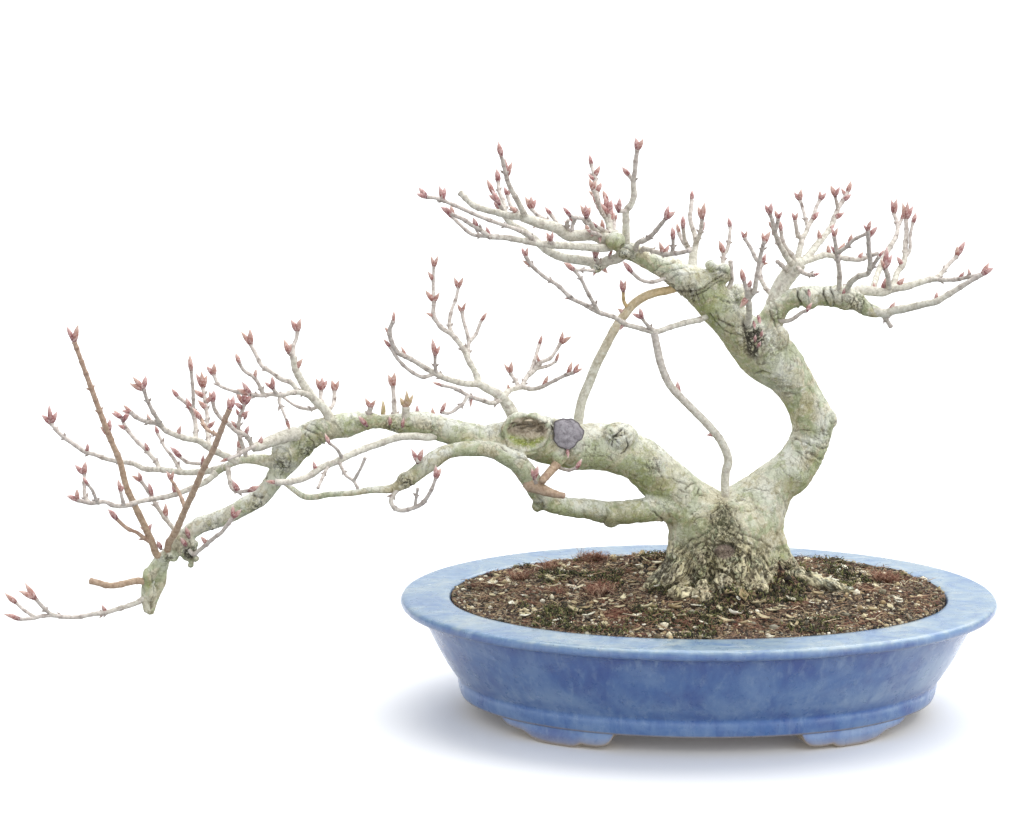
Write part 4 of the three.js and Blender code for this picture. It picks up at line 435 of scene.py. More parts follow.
        Twig([-264, 184, -270, 188, -278, 186, -285, 183.5, -293, 180, -298, 179], 4.6, 2.8, -20,
            buds=[-294, 180, -291.5, 188]),
        Twig([-296, 180, -303, 177, -309, 173.5, -315, 171], 1.3, 1, -14, [-321, 169]),
        Twig([-298, 179, -302, 187, -309, 190, -314, 195, -319, 199, -323, 205, -324, 210], 1.4, 1.1, -20,
            [-327, 218, -323, 219], [-303, 187, -300, 195]),
    ],
    "left_middle_high": [
        Twig([-309, 169.5, -318, 174, -325, 177.5, -334, 183.5, -342, 185, -348, 187, -355, 190, -361,
            195, -370, 197, -376, 200, -379, 203], 2.3, 1.3, -28, [-384.5, 208.5, -386, 204], [-348, 187,
            -345, 195, -366, 196, -368, 203]),
        Twig([-359, 194, -361, 198, -364, 203, -368, 212, -370, 219], 1.4, 1.1, -18, [-368, 229, -378,
            228], [-370, 218, -380.5, 223]),
        Twig([-336, 184, -336, 196, -338, 203, -342, 209, -347, 213], 1.4, 1.1, 12, [-352, 220], [-338,
            204, -342, 214]),
        Twig([-327, 179, -328, 190, -328, 200, -329, 210, -330.5, 219], 1.4, 1.1, 30, [-335.5, 231,
            -331.5, 232, -327, 229], [-328, 192, -322, 198, -328, 205, -335, 212, -329, 209, -322.5, 216,
            -330, 213, -338, 219]),
        Twig([-337, 200, -337, 215, -338, 231], 1.1, 1, -10, [-338.5, 243]),
    ],
    "left_middle_long": [
        Twig([-317, 165.5, -330, 162.5, -338, 162, -345, 162, -356, 163.5, -364, 164, -371, 164.5, -378,
            168, -385, 169, -395, 171, -403, 174, -410, 176, -417, 181, -424, 186, -428, 190, -432, 195],
            2.1, 1.2, 38, [-439.5, 202, -433, 210, -427, 205], [-409, 175, -408, 183]),
        Twig([-361, 164, -362, 168, -365, 172, -370, 178, -376, 184, -382, 192, -385, 199], 1.4, 1.1, 18,
            [-391, 205], [-368, 176, -370.5, 184, -382, 191, -389, 195]),
        Twig([-346, 162, -348, 166, -352, 173, -356, 178, -359, 184, -361, 188], 1.2, 1, 16, [-363, 195]),
        Twig([-328, 163, -331, 167.5, -336, 168, -342, 169, -346, 172], 1.2, 1.1, 10, [-354.5, 180.5]),
    ],
    "left_middle_low": [
        Twig([-323, 161.5, -328, 157, -333, 154, -340, 151, -348, 148, -356, 145.5, -365, 144, -375, 142,
            -385, 139, -392, 139.5, -398, 142, -407, 141, -416, 143], 1.8, 1.2, -26, [-424.5, 146.5, -416,
            152], [-350, 147, -353, 155]),
        Twig([-385, 139, -386, 144, -387, 149], 1.1, 1, -4, [-389, 158.5, -384.5, 154]),
        Twig([-408, 141, -411, 146, -411, 156, -411, 161], 1.2, 1, 6, [-418, 168.5, -409.5, 170.5]),
        Twig([-402, 141, -404, 145, -406, 150, -409, 154], 1, 0.9, -12, [-412.5, 160]),
    ],
    "left_long_shoot": [
        Twig([-359, 103, -364, 106, -366, 112, -370, 122, -374, 131, -378, 140, -383, 152, -387, 170,
            -391, 180, -394, 188, -397, 196, -401, 208, -405, 220, -409, 232, -413, 244, -415, 250], 2.2,
            1.3, -40, [-420.5, 262.5, -411.5, 263.5], [-394, 187, -400.5, 194, -394, 189, -392.5, 200,
            -396, 194, -399, 206, -370, 122, -375.5, 125, -370, 121, -366, 128]),
        Twig([-367, 114, -372, 117, -377, 121, -382, 123, -386, 126, -390, 130], 1.3, 1.1, -10, [-397,
            138]),
    ],
    "left_back_shoot": [
        Twig([-356, 108, -356, 113, -351, 121, -346, 132, -343, 139, -339, 147, -335, 156, -331, 165,
            -325, 176, -320, 188, -316, 198, -313, 205], 2.1, 1.5, -72, [-309.5, 215.5, -314, 214]),
        Twig([-344, 137, -347, 146, -350, 152, -353, 157], 1.1, 1, 8, [-356.5, 163.5, -351, 164]),
        Twig([-320, 187, -325, 189, -329, 192, -332, 198], 1.1, 1, 10, [-338.5, 207]),
    ],
    "left_red_shoot": [
        Twig([-345, 117, -350, 121.5, -354, 126, -359, 133, -363, 139, -366, 145, -369, 150, -373, 156],
            1.7, 1.1, 4, [-380.5, 160.5, -375, 163.5], [-366, 145, -368.5, 157, -357, 131, -357, 142.5]),
    ],
    "left_low_spray": [
        Twig([-345, 116, -342, 109, -339, 106, -336, 108, -330, 113, -324, 118, -320, 121, -316, 126,
            -312, 131], 1.5, 1.1, -22, [-312, 140.5, -305.5, 137.5], [-330, 113, -335, 119]),
    ],
    "left_cross_twig": [
        Twig([-315, 166.5, -314, 158, -312, 151, -308, 149, -301, 149.5], 1.5, 1.1, -20, [-292.5, 153.5],
            [-308, 149, -312.5, 158]),
    ],
    "left_cut_shoot": [
        Twig([-370, 87, -378, 87.5, -385, 86, -392, 84.5, -398, 84.5, -403, 86, -409, 87.5], 2.2, 1.9,
            -16),
    ],
    "left_low_tip": [
        Twig([-372, 77, -377, 73, -385, 70, -393, 67.5, -400, 65.5, -408, 64.5, -418, 62.5, -427, 62.5,
            -435, 63.5, -443, 63, -449, 61.5, -457, 61], 1.6, 1.1, -22, [-465, 62.5, -470, 65], [-399, 66,
            -402.5, 72]),
        Twig([-434, 63.5, -438, 66, -442, 70, -446, 75], 1.2, 1.1, -6, [-454, 88, -459.5, 81.5]),
        Twig([-447, 62, -451, 65, -455, 68, -459, 72], 1.1, 1, 6, [-468, 80.5]),
    ],
}

# Small twigs and resting buds that the trunk's solid leaves out: [x, z, depth] of root and tip
LOOSE_BUDS = [
    [(-88, 177, -22), (-87.5, 171, -25)], [(35, 263, -16), (36, 258, -20)],
    [(38, 267, -15), (39.5, 261, -19)], [(71, 284, -6), (72, 279, -10)], [(-101, 314, 1), (-102, 320, -2)],
    [(47, 322, 0), (48, 328, -3)], [(32, 287, -10), (33, 292, -13)], [(-148, 324, -30), (-149, 331, -33)],
    [(94, 281, 0), (95, 287, -3)], [(-222, 194, -10), (-228, 201, -14)],
    [(-206, 194, -10), (-207, 201, -13)], [(-198, 193, -12), (-197, 200, -14)],
    [(-307, 201, 5), (-309, 206, 3)], [(-303, 199, 5), (-301, 204, 3)], [(-342, 118, 2), (-344, 126, -2)],
    [(-344, 112, 2), (-348, 118, -3)], [(-332, 168, 2), (-331, 175, 0)], [(38, 247, -16), (40, 251, -19)],
    [(36, 251, -16), (36.5, 255.5, -19)], [(40, 254, -14), (41, 258.5, -17)],
    [(-66, 318, 4), (-74, 323.5, 0)], [(-70, 305, 3), (-71, 314, 0)], [(-385, 199, 50), (-393, 203, 48)],
    [(-384, 197, 50), (-379, 205, 52)], [(-361, 110, 6), (-364, 116, 2)],
]

# Small knobs on the limbs: [x, z, depth, half-width, half-depth, half-height]
KNOBS = [
    [-343, 119, 6, 2.8, 3, 2.6], [-338, 113, 4, 2.6, 2.6, 3], [-345, 106, 3, 2.8, 3, 2.6],
    [-338, 103, 5, 2.8, 2.6, 2.4], [-341, 98.5, 6, 2.6, 2.4, 2.2], [-348, 122, 8, 2.4, 2.4, 2],
    [-119, 171, -25, 4, 3, 4], [-112, 163, -23, 3.6, 3, 3.4], [15, 299, 4, 3.6, 3.5, 3.2],
    [6, 301, 4, 4, 3.5, 3.6], [27, 278, 6, 4, 4, 4.5], [-108, 139, -17, 4, 4, 4],
    [-69, 299, 8, 3.6, 3.6, 3.2], [104, 275, 2, 4, 4, 4.5], [-262, 190, 1, 4, 4.5, 5],
    [-50, 310, 6, 5, 5, 5], [72, 279, 8, 6, 6, 7], [52, 252, 6, 7, 5, 9], [-196, 158, -24, 4.5, 4, 4.5],
    [-353, 104, 8, 4, 4, 3.6], [15.5, 85, -28, 5, 5, 8], [3.4, 80, -33, 6, 6, 8], [40, 95, -17, 5, 5, 8],
    [46, 88, -22, 5, 5, 6], [-12, 93, -13, 6, 6, 8], [-20, 87, -16, 5.5, 6, 5], [2, 98, -22, 4, 4, 9],
    [28, 92, -26, 5, 5, 8], [16, 83, -32, 7, 7, 9], [5, 76, -40, 7, 9, 5], [-11, 79, -34, 9, 9, 5],
    [29, 78, -37, 9, 9, 5], [41, 82, -32, 7, 9, 5], [-3, 78, -36, 8, 8, 4], [19, 76, -38, 8, 8, 4.5],
    [-370.5, 90, 8, 3.6, 3.6, 7], [-367.3, 78, 8, 3, 3.4, 7.5], [-57, 317, -5, 7, 6, 6.5],
    [-93, 172, -19, 5, 4, 6], [-51, 309, 2, 5, 5, 4],
]


def in_rows(values: list[float], width: int) -> np.ndarray:
    """A flat list as rows of `width` numbers."""
    return np.array(values, float).reshape(-1, width)


def place(points: np.ndarray) -> np.ndarray:
    """Moves front-view points to where they stand.

    Args:
        points: rows of x, z and depth; depth moves a point back (+) or forward (-) along its line of sight.

    Returns:
        Rows of x, y and z in the pot's frame.
    """
    rows = np.atleast_2d(np.asarray(points, float))
    flat = np.stack([rows[:, 0], np.zeros(len(rows)), rows[:, 1]], 1)
    share = (-rows[:, 2] / EYE[1])[:, None]
    return flat + (flat - EYE) * share


def front_view(points: np.ndarray) -> np.ndarray:
    """The x and z at which points of the pot's frame are seen on the front view's plane."""
    share = (-points[:, 1] / EYE[1])[:, None]
    return (points[:, ::2] + EYE[::2] * share) / (1 + share)


def unit(rows: np.ndarray) -> np.ndarray:
    """Rows scaled to length 1."""
    return rows / np.maximum(np.linalg.norm(rows, axis=-1, keepdims=True), 1e-9)


def circle(sides: int) -> np.ndarray:
    """Angles spread evenly round a circle."""
    return 2 * math.pi * np.arange(sides) / sides


def bell(x: np.ndarray, y: np.ndarray, size: float) -> np.ndarray:
    """How much a place lies in a soft round spot: 1 in its middle, and falling to 0 past its size."""
    return np.exp(-(x ** 2 + y ** 2) / size ** 2)


def dabbed(x: np.ndarray, y: np.ndarray, dabs: list[tuple[float, ...]], ground: np.ndarray,
           strength: np.ndarray | float = 1.0) -> np.ndarray:
    """The ground with soft round spots over it, wherever they are stronger.

    Args:
        x: where each point lies.
        y: where it lies the other way.
        dabs: the spots, as x, y, size and how much.
        ground: the values without them.
        strength: how well the spots take at each point.
    """
    for at_x, at_y, size, much in dabs:
        ground = np.maximum(ground, much * bell(x - at_x, y - at_y, size) * strength)
    return ground


def step(low: float, high: float, value: np.ndarray) -> np.ndarray:
    """A smooth step from 0 at low to 1 at high; low may be above high."""
    share = np.clip((value - low) / (high - low), 0, 1)
    return share * share * (3 - 2 * share)


class Noise:
    """Smooth random values in space, the same in each run."""

    PRIMES = (374761393, 668265263, 2246822519)

    @classmethod
    def cell(cls, cells: np.ndarray, seed: int) -> np.ndarray:
        """A random value from 0 to 1 for each row of whole numbers."""
        mixed = np.full(len(cells), seed * 974634777 & 0xFFFFFFFF, np.uint64)
        for axis, prime in enumerate(cls.PRIMES):
            mixed = (mixed + (cells[:, axis].astype(np.int64) & 0xFFFFFFFF).astype(np.uint64)
                     * np.uint64(prime))
            mixed &= np.uint64(0xFFFFFFFF)
            mixed ^= mixed >> np.uint64(15)
            mixed = (mixed * np.uint64(2654435761)) & np.uint64(0xFFFFFFFF)
        mixed ^= mixed >> np.uint64(13)
        return mixed.astype(float) / 0xFFFFFFFF

    @classmethod
    def smooth(cls, points: np.ndarray, size: float, seed: int, octaves: int = 1) -> np.ndarray:
        """Smooth noise from about -1 to 1.

        Args:
            points: where it is read.
            size: the size of its lumps.
            seed: picks one noise among many.
            octaves: how many finer layers it has.
        """
        total = np.zeros(len(points))
        reach, weight = 1.0 / size, 1.0
        for octave in range(octaves):
            spot = points * reach + 17.3 * octave
            low = np.floor(spot)
            part = spot - low
            part = part * part * (3 - 2 * part)
            for corner in range(8):
                shift = np.array([corner & 1, corner >> 1 & 1, corner >> 2 & 1])
                share = np.prod(np.where(shift, part, 1 - part), axis=1)
                total += weight * share * (2 * cls.cell(low + shift, seed + octave) - 1)
            reach, weight = reach * 2.1, weight * 0.5
        return total

    @classmethod
    def edges(cls, points: np.ndarray, size: float, seed: int) -> np.ndarray:
        """How far a point is from the border between two random cells, 0 on the border, in cell sizes."""
        spot = points / size
        low = np.floor(spot)
        first, second = np.full(len(points), 9.0), np.full(len(points), 9.0)
        for shift in np.ndindex(3, 3, 3):
            cell = low + shift - 1
            seat = np.stack([cls.cell(cell, seed + k) for k in range(3)], 1)
            away = np.linalg.norm(cell + seat - spot, axis=1)
            second = np.where(away < first, first, np.minimum(second, away))
            first = np.minimum(first, away)
        return second - first


def curve_through(points: np.ndarray, spacing: float) -> np.ndarray:
    """A smooth line through points, with a new point about every `spacing`.

    Args:
        points: rows of any width, the first three of which give the place.
        spacing: the distance between the new points.

    Returns:
        The rows of the line, its first and last point among them.
    """
    ends = np.vstack([2 * points[0] - points[1], points, 2 * points[-1] - points[-2]])
    rows = []
    for i in range(1, len(ends) - 2):
        a, b, c, d = ends[i - 1:i + 3]
        count = max(int(round(np.linalg.norm((c - b)[:3]) / spacing)), 1)
        for share in np.arange(count) / count:
            t, u = share, 1 - share
            slope_b = (c - a) / max(np.linalg.norm((c - a)[:3]), 1e-6) * np.linalg.norm((c - b)[:3])
            slope_c = (d - b) / max(np.linalg.norm((d - b)[:3]), 1e-6) * np.linalg.norm((c - b)[:3])
            rows.append(b * (1 + 2 * t) * u * u + slope_b * t * u * u + c * t * t * (3 - 2 * t)
                        - slope_c * t * t * u)
    rows.append(points[-1])
    return np.array(rows)


def frames_along(line: np.ndarray) -> tuple[np.ndarray, np.ndarray, np.ndarray]:
    """Directions along a line that turn as little as they can.

    Returns:
        The tangent, and the two directions across it, at each point.
    """
    tangents = unit(np.gradient(line, axis=0))
    across = np.zeros_like(tangents)
    guide = np.cross((0, 1, 0), tangents[0])
    if np.linalg.norm(guide) < 0.1:
        guide = np.cross((1, 0, 0), tangents[0])
    for i, tangent in enumerate(tangents):
        guide = guide - tangent * (guide @ tangent)
        guide = guide / np.linalg.norm(guide)
        across[i] = guide
    return tangents, across, np.cross(tangents, across)


def tube(centre: np.ndarray, radius: np.ndarray, sides: int) -> tuple[np.ndarray, np.ndarray, np.ndarray]:
    """Rings of vertices round a line.

    Returns:
        The rings, and the points that close the first and the last of them.
    """
    tangents, across, up = frames_along(centre)
    turn = circle(sides)
    rings = centre[:, None] + radius[:, None, None] * (across[:, None] * np.cos(turn)[:, None]
                                                       + up[:, None] * np.sin(turn)[:, None])
    return rings, centre[0] - tangents[0] * 0.4 * radius[0], centre[-1] + tangents[-1] * 0.5 * radius[-1]


def lengths_along(line: np.ndarray) -> np.ndarray:
    """The length along a line at each of its points."""
    return np.concatenate([[0], np.cumsum(np.linalg.norm(np.diff(line, axis=0), axis=1))])


def lay_paint(mesh: bpy.types.Mesh, name: str, values: np.ndarray) -> None:
    """Gives each vertex of a mesh a value, or a vector, under a name."""
    kind, slot = ("FLOAT", "value") if values.ndim == 1 else ("FLOAT_VECTOR", "vector")
    mesh.attributes.new(name, kind, "POINT").data.foreach_set(slot, values.ravel().astype(np.float32))


def shade_smooth(mesh: bpy.types.Mesh) -> None:
    """Shades all faces of a mesh smoothly."""
    mesh.polygons.foreach_set("use_smooth", np.ones(len(mesh.polygons), bool))
    mesh.update()


def in_scene(name: str, data: bpy.types.ID) -> bpy.types.Object:
    """Stands a new object with the given data in the scene."""
    made = bpy.data.objects.new(name, data)
    bpy.context.scene.collection.objects.link(made)
    return made


def as_mesh(made: bmesh.types.BMesh, name: str) -> bpy.types.Mesh:
    """The mesh of what bmesh has built, which is then let go."""
    mesh = bpy.data.meshes.new(name)
    made.to_mesh(mesh)
    made.free()
    return mesh


class Skin:
    """The vertices, faces and painted values of one piece, in millimetres in the pot's frame."""

    def __init__(self, *paints: str) -> None:
        """Starts an empty skin whose vertices carry the named values."""
        self.points: list[np.ndarray] = []
        self.faces: list[np.ndarray] = []
        self.looks: list[np.ndarray] = []
        self.paints: dict[str, list[np.ndarray]] = {name: [] for name in paints}
        self.count = 0

    def add(self, points: np.ndarray, faces: np.ndarray, look: int = 0,
            **paints: np.ndarray | float) -> None:
        """Adds a patch.

        Args:
            points: its vertices.
            faces: its faces, as rows of three or four vertex numbers.
            look: the material slot of its faces.
            paints: a value for all its vertices, or one for each.
        """
        self.points.append(points)
        self.faces.append(np.asarray(faces) + self.count)
        self.looks.append(np.full(len(faces), look))
        for name, store in self.paints.items():
            store.append(np.broadcast_to(paints.get(name, 0.0), (len(points),)).astype(float))
        self.count += len(points)

    def add_rings(self, rings: np.ndarray, first: np.ndarray, last: np.ndarray, look: int = 0,
                  **paints: np.ndarray) -> None:
        """Adds a closed skin over rings of vertices.

        Args:
            rings: ring, side and coordinate.
            first: the point that closes the first ring.
            last: the point that closes the last ring.
            look: the material slot.
            paints: values for each ring and side.
        """
        count, sides = rings.shape[:2]
        row, side = np.meshgrid(np.arange(count - 1), np.arange(sides), indexing="ij")
        a = row * sides + side
        b = row * sides + (side + 1) % sides
        quads = np.stack([a, b, b + sides, a + sides], -1).reshape(-1, 4)
        turn = np.arange(sides)
        after = (turn + 1) % sides
        top, end = (count - 1) * sides, count * sides
        caps = np.vstack([np.stack([np.full(sides, end), after, turn], 1),
                          np.stack([np.full(sides, end + 1), top + turn, top + after], 1)])
        points = np.vstack([rings.reshape(-1, 3), first, last])
        spread = {}
        for name, value in paints.items():
            wide = np.broadcast_to(value if np.ndim(value) == 2 else np.reshape(value, (-1, 1)),
                                   (count, sides))
            spread[name] = np.concatenate([wide.ravel(), [wide[0, 0], wide[-1, 0]]])
        self.add(points, quads, look, **spread)
        self.faces.append(caps + self.count - len(points))
        self.looks.append(np.full(len(caps), look))

    def add_copies(self, bodies: np.ndarray, faces: np.ndarray, **paints: np.ndarray) -> None:
        """Adds many bodies of the same build.

        Args:
            bodies: body, vertex and coordinate.
            faces: the faces of one body.
            paints: a value for each body.
        """
        count, size = bodies.shape[:2]
        rows = (np.arange(count)[:, None, None] * size + faces[None]).reshape(-1, faces.shape[1])
        self.add(bodies.reshape(-1, 3), rows,
                 **{name: np.repeat(value, size) for name, value in paints.items()})

    def mesh(self, name: str) -> bpy.types.Mesh:
        """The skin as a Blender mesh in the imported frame."""
        points = (np.vstack(self.points) + POT_SHIFT) * MM
        faces = [row for block in self.faces for row in block.tolist()]
        mesh = bpy.data.meshes.new(name)
        mesh.from_pydata(points.tolist(), [], faces)
        mesh.polygons.foreach_set("material_index", np.concatenate(self.looks).astype(np.int32))
        for paint, store in self.paints.items():
            lay_paint(mesh, paint, np.concatenate(store))
        shade_smooth(mesh)
        return mesh


# Where the pot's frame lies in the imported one, in millimetres; main() sets it before anything is built
POT_SHIFT = np.zeros(3)


def make_piece(name: str, mesh: bpy.types.Mesh, looks: list[bpy.types.Material],
               replaced: tuple[str, ...] = ()) -> bpy.types.Object:
    """Stands a mesh in the scene as a piece of the object.

    Args:
        name: the piece's name.
        mesh: its mesh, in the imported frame.
        looks: its materials, in the order of the faces' slots.
        replaced: the CAD nodes that it stands for.
    """
    piece = in_scene(name, mesh)
    for look in looks:
        mesh.materials.append(look)
    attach(piece, ROOT_BODY)
    if replaced:
        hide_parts(*replaced)
    LOG.info("%s: %d vertices, %d faces", name, len(mesh.vertices), len(mesh.polygons))
    return piece


# Finishes

Colour = tuple[float, float, float]


def srgb(red: int, green: int, blue: int) -> Colour:
    """A colour given in 0 to 255, as the shader's linear colour."""
    return tuple(v / 12.92 if v <= 0.04045 else ((v + 0.055) / 1.055) ** 2.4
                 for v in (red / 255, green / 255, blue / 255))


class Shader:
    """A node material in the making."""

    def __init__(self, name: str, roughness: float, **sockets: float) -> None:
        """Starts a material with one Principled shader.

        Args:
            name: the material's name.
            roughness: the shader's roughness, until one is linked.
            sockets: other even values of the shader, by socket name with _ for a space.
        """
        self.material = bpy.data.materials.new(name)
        self.material.use_nodes = True
        self.tree = self.material.node_tree
        self.surface = self.tree.nodes["Principled BSDF"]
        self.surface.inputs["Roughness"].default_value = roughness
        for socket, value in sockets.items():
            self.surface.inputs[socket.replace("_", " ")].default_value = value
        self.place = self.node("ShaderNodeTexCoord").outputs["Object"]

    def node(self, kind: str, **inputs: object) -> bpy.types.Node:
        """Adds a node; each input is a value, or an output to link."""
        made = self.tree.nodes.new(kind)
        for name, value in inputs.items():
            self.feed(made.inputs[name], value)
        return made

    def feed(self, socket: bpy.types.NodeSocket, value: object) -> None:
        """Links an output to a socket, or sets its value."""
        if isinstance(value, bpy.types.NodeSocket):
            self.tree.links.new(value, socket)
        elif socket.type == "RGBA" and len(value) == 3:
            socket.default_value = (*value, 1.0)
        else:
            socket.default_value = value

    def fill(self, made: bpy.types.Node, first: int, *values: object) -> None:
        """Feeds a node's inputs from the given number on."""
        for number, value in enumerate(values, first):
            self.feed(made.inputs[number], value)

    def paint(self, name: str, output: str = "Fac") -> bpy.types.NodeSocket:
        """The value that the vertices carry under a name."""
        made = self.node("ShaderNodeAttribute")
        made.attribute_name = name
        return made.outputs[output]

    def stretched(self, scale: tuple[float, float, float]) -> bpy.types.NodeSocket:
        """Object coordinates, scaled."""
        made = self.node("ShaderNodeMapping", Vector=self.place)
        made.inputs["Scale"].default_value = scale
        return made.outputs["Vector"]

    def noise(self, size: float, detail: float = 3.0, rough: float = 0.55, warp: float = 0.0,
              where: bpy.types.NodeSocket | None = None) -> bpy.types.NodeSocket:
        """Noise whose lumps are about `size` millimetres."""
        made = self.node("ShaderNodeTexNoise", Vector=where or self.place, Scale=1000.0 / size,
                         Detail=detail, Roughness=rough, Distortion=warp)
        return made.outputs["Fac"]

    def cells(self, size: float, feature: str = "F1",
              where: bpy.types.NodeSocket | None = None) -> bpy.types.NodeSocket:
        """A Voronoi pattern whose cells are about `size` millimetres."""
        made = self.node("ShaderNodeTexVoronoi", Vector=where or self.place, Scale=1000.0 / size)
        made.feature = feature
        return made.outputs["Distance"]

    def warped(self, size: float, reach: float,
               stretch: tuple[float, float, float]) -> bpy.types.NodeSocket:
        """Stretched coordinates, pushed by up to half of `reach` by a noise of `size` millimetres."""
        push = self.node("ShaderNodeTexNoise", Vector=self.place, Scale=1000.0 / size, Detail=3.0)
        scaled = self.node("ShaderNodeVectorMath")
        scaled.operation = "MULTIPLY_ADD"
        self.fill(scaled, 0, push.outputs["Color"], (reach * MM,) * 3, self.stretched(stretch))
        return scaled.outputs[0]

    def ramp(self, value: bpy.types.NodeSocket,
             *stops: tuple[float, Colour | float]) -> bpy.types.NodeSocket:
        """A colour or grey for a value, through stops of (value, colour)."""
        made = self.node("ShaderNodeValToRGB", Fac=value)
        points = made.color_ramp.elements
        while len(points) < len(stops):
            points.new(0.5)
        for point, (at, colour) in zip(points, stops):
            point.position = at
            point.color = (*colour, 1.0) if isinstance(colour, tuple) else (colour, colour, colour, 1.0)
        return made.outputs["Color"]

    def mix(self, share: bpy.types.NodeSocket | float, first: object,
            second: object) -> bpy.types.NodeSocket:
        """Two colours mixed by a share."""
        made = self.node("ShaderNodeMix")
        made.data_type = "RGBA"
        self.fill(made, 0, share)
        self.fill(made, 6, first, second)
        return made.outputs[2]

    def times(self, first: object, second: object) -> bpy.types.NodeSocket:
        """The product of two values."""
        made = self.node("ShaderNodeMath")
        made.operation = "MULTIPLY"
        self.fill(made, 0, first, second)
        return made.outputs[0]

    def bump(self, *layers: tuple[bpy.types.NodeSocket, float]) -> None:
        """Roughens the surface by layers of (height, millimetres)."""
        normal = None
        for height, depth in layers:
            made = self.node("ShaderNodeBump", Height=height, Distance=depth * MM, Strength=1.0)
            if normal is not None:
                self.feed(made.inputs["Normal"], normal)
            normal = made.outputs["Normal"]
        self.feed(self.surface.inputs["Normal"], normal)

    def done(self, colour: bpy.types.NodeSocket,
             rough: bpy.types.NodeSocket | None = None) -> bpy.types.Material:
        """Links the colour, and the roughness if one is given."""
        self.feed(self.surface.inputs["Base Color"], colour)
        if rough is not None:
            self.feed(self.surface.inputs["Roughness"], rough)
        return self.material


@dataclass(frozen=True)
class GlazeFinish:
    """Mid-blue glaze with specks, pinholes and pale mineral marks, worn to the clay at the feet; painted
    light makes the wall paler on the right, and painted shade darkens a band under the lip.
    """

    deep: Colour = srgb(40, 76, 148)
    body: Colour = srgb(72, 110, 168)
    pale: Colour = srgb(150, 174, 202)
    clay: Colour = srgb(176, 158, 134)

    def material(self) -> bpy.types.Material:
        """Builds the glaze."""
        made = Shader("oval_pot_glaze", 0.3, Coat_Weight=0.45, Coat_Roughness=0.18)
        cloud = made.noise(44, 7, 0.66, 0.7)
        colour = made.ramp(cloud, (0.36, self.deep), (0.5, self.body), (0.62, srgb(100, 132, 180)))
        # pale haze, plus painted light that makes the outer wall paler towards the right
        haze_and_light_share = made.times(made.paint("haze"),
                          made.ramp(made.noise(20, 6, 0.65, 0.5), (0.4, 0.15), (0.6, 1.0)))
        colour = made.mix(haze_and_light_share, colour, self.pale)
        # painted shade: the band under the lip is mixed towards a deep blue
        shade = made.times(made.paint("under"), made.ramp(cloud, (0.4, 1.0), (0.6, 0.35)))
        colour = made.mix(shade, colour, srgb(38, 72, 146))
        mottle = made.ramp(made.noise(30, 7, 0.66, 0.9), (0.36, srgb(152, 166, 170)),
                           (0.46, srgb(130, 152, 166)), (0.56, srgb(110, 138, 164)),
                           (0.68, srgb(86, 120, 160)))
        run = made.noise(5, 6, 0.68, 0.4, made.stretched((0.22, 1, 1)))
        mottle = made.mix(made.ramp(run, (0.36, 0.45), (0.46, 0.0)), mottle, srgb(72, 106, 152))
        mottle = made.mix(made.ramp(run, (0.57, 0.0), (0.68, 0.45)), mottle, srgb(184, 196, 200))
        colour = made.mix(made.paint("rim"), colour, mottle)
        scuff = made.ramp(made.noise(4.5, 8, 0.8, 0.6, made.stretched((0.6, 1, 1))), (0.63, 0.0),
                          (0.67, 0.8))
        edge = made.ramp(made.paint("rim"), (0.0, 0.12), (0.5, 1.0))
        colour = made.mix(made.times(scuff, edge), colour, srgb(220, 222, 216))
        streak = made.noise(6, 5, 0.65, 0.3, made.stretched((1, 1, 0.22)))
        colour = made.mix(made.ramp(streak, (0.53, 0.0), (0.72, 0.4)), colour, self.pale)
        colour = made.mix(made.ramp(streak, (0.3, 0.4), (0.45, 0.0)), colour, self.deep)
        speck = made.cells(3.4)
        dark = made.ramp(speck, (0.05, 1.0), (0.14, 0.0))
        sparse = made.ramp(made.noise(7, 2), (0.56, 0.0), (0.64, 1.0))
        colour = made.mix(made.times(dark, sparse), colour, srgb(38, 58, 96))
        colour = made.mix(made.paint("wear"), colour, self.clay)
        rough = made.ramp(made.noise(9, 3), (0.3, 0.22), (0.7, 0.42))
        made.bump((made.noise(16, 2), 0.5), (made.noise(1.6, 2), 0.05), (dark, -0.12))
        return made.done(colour, rough)


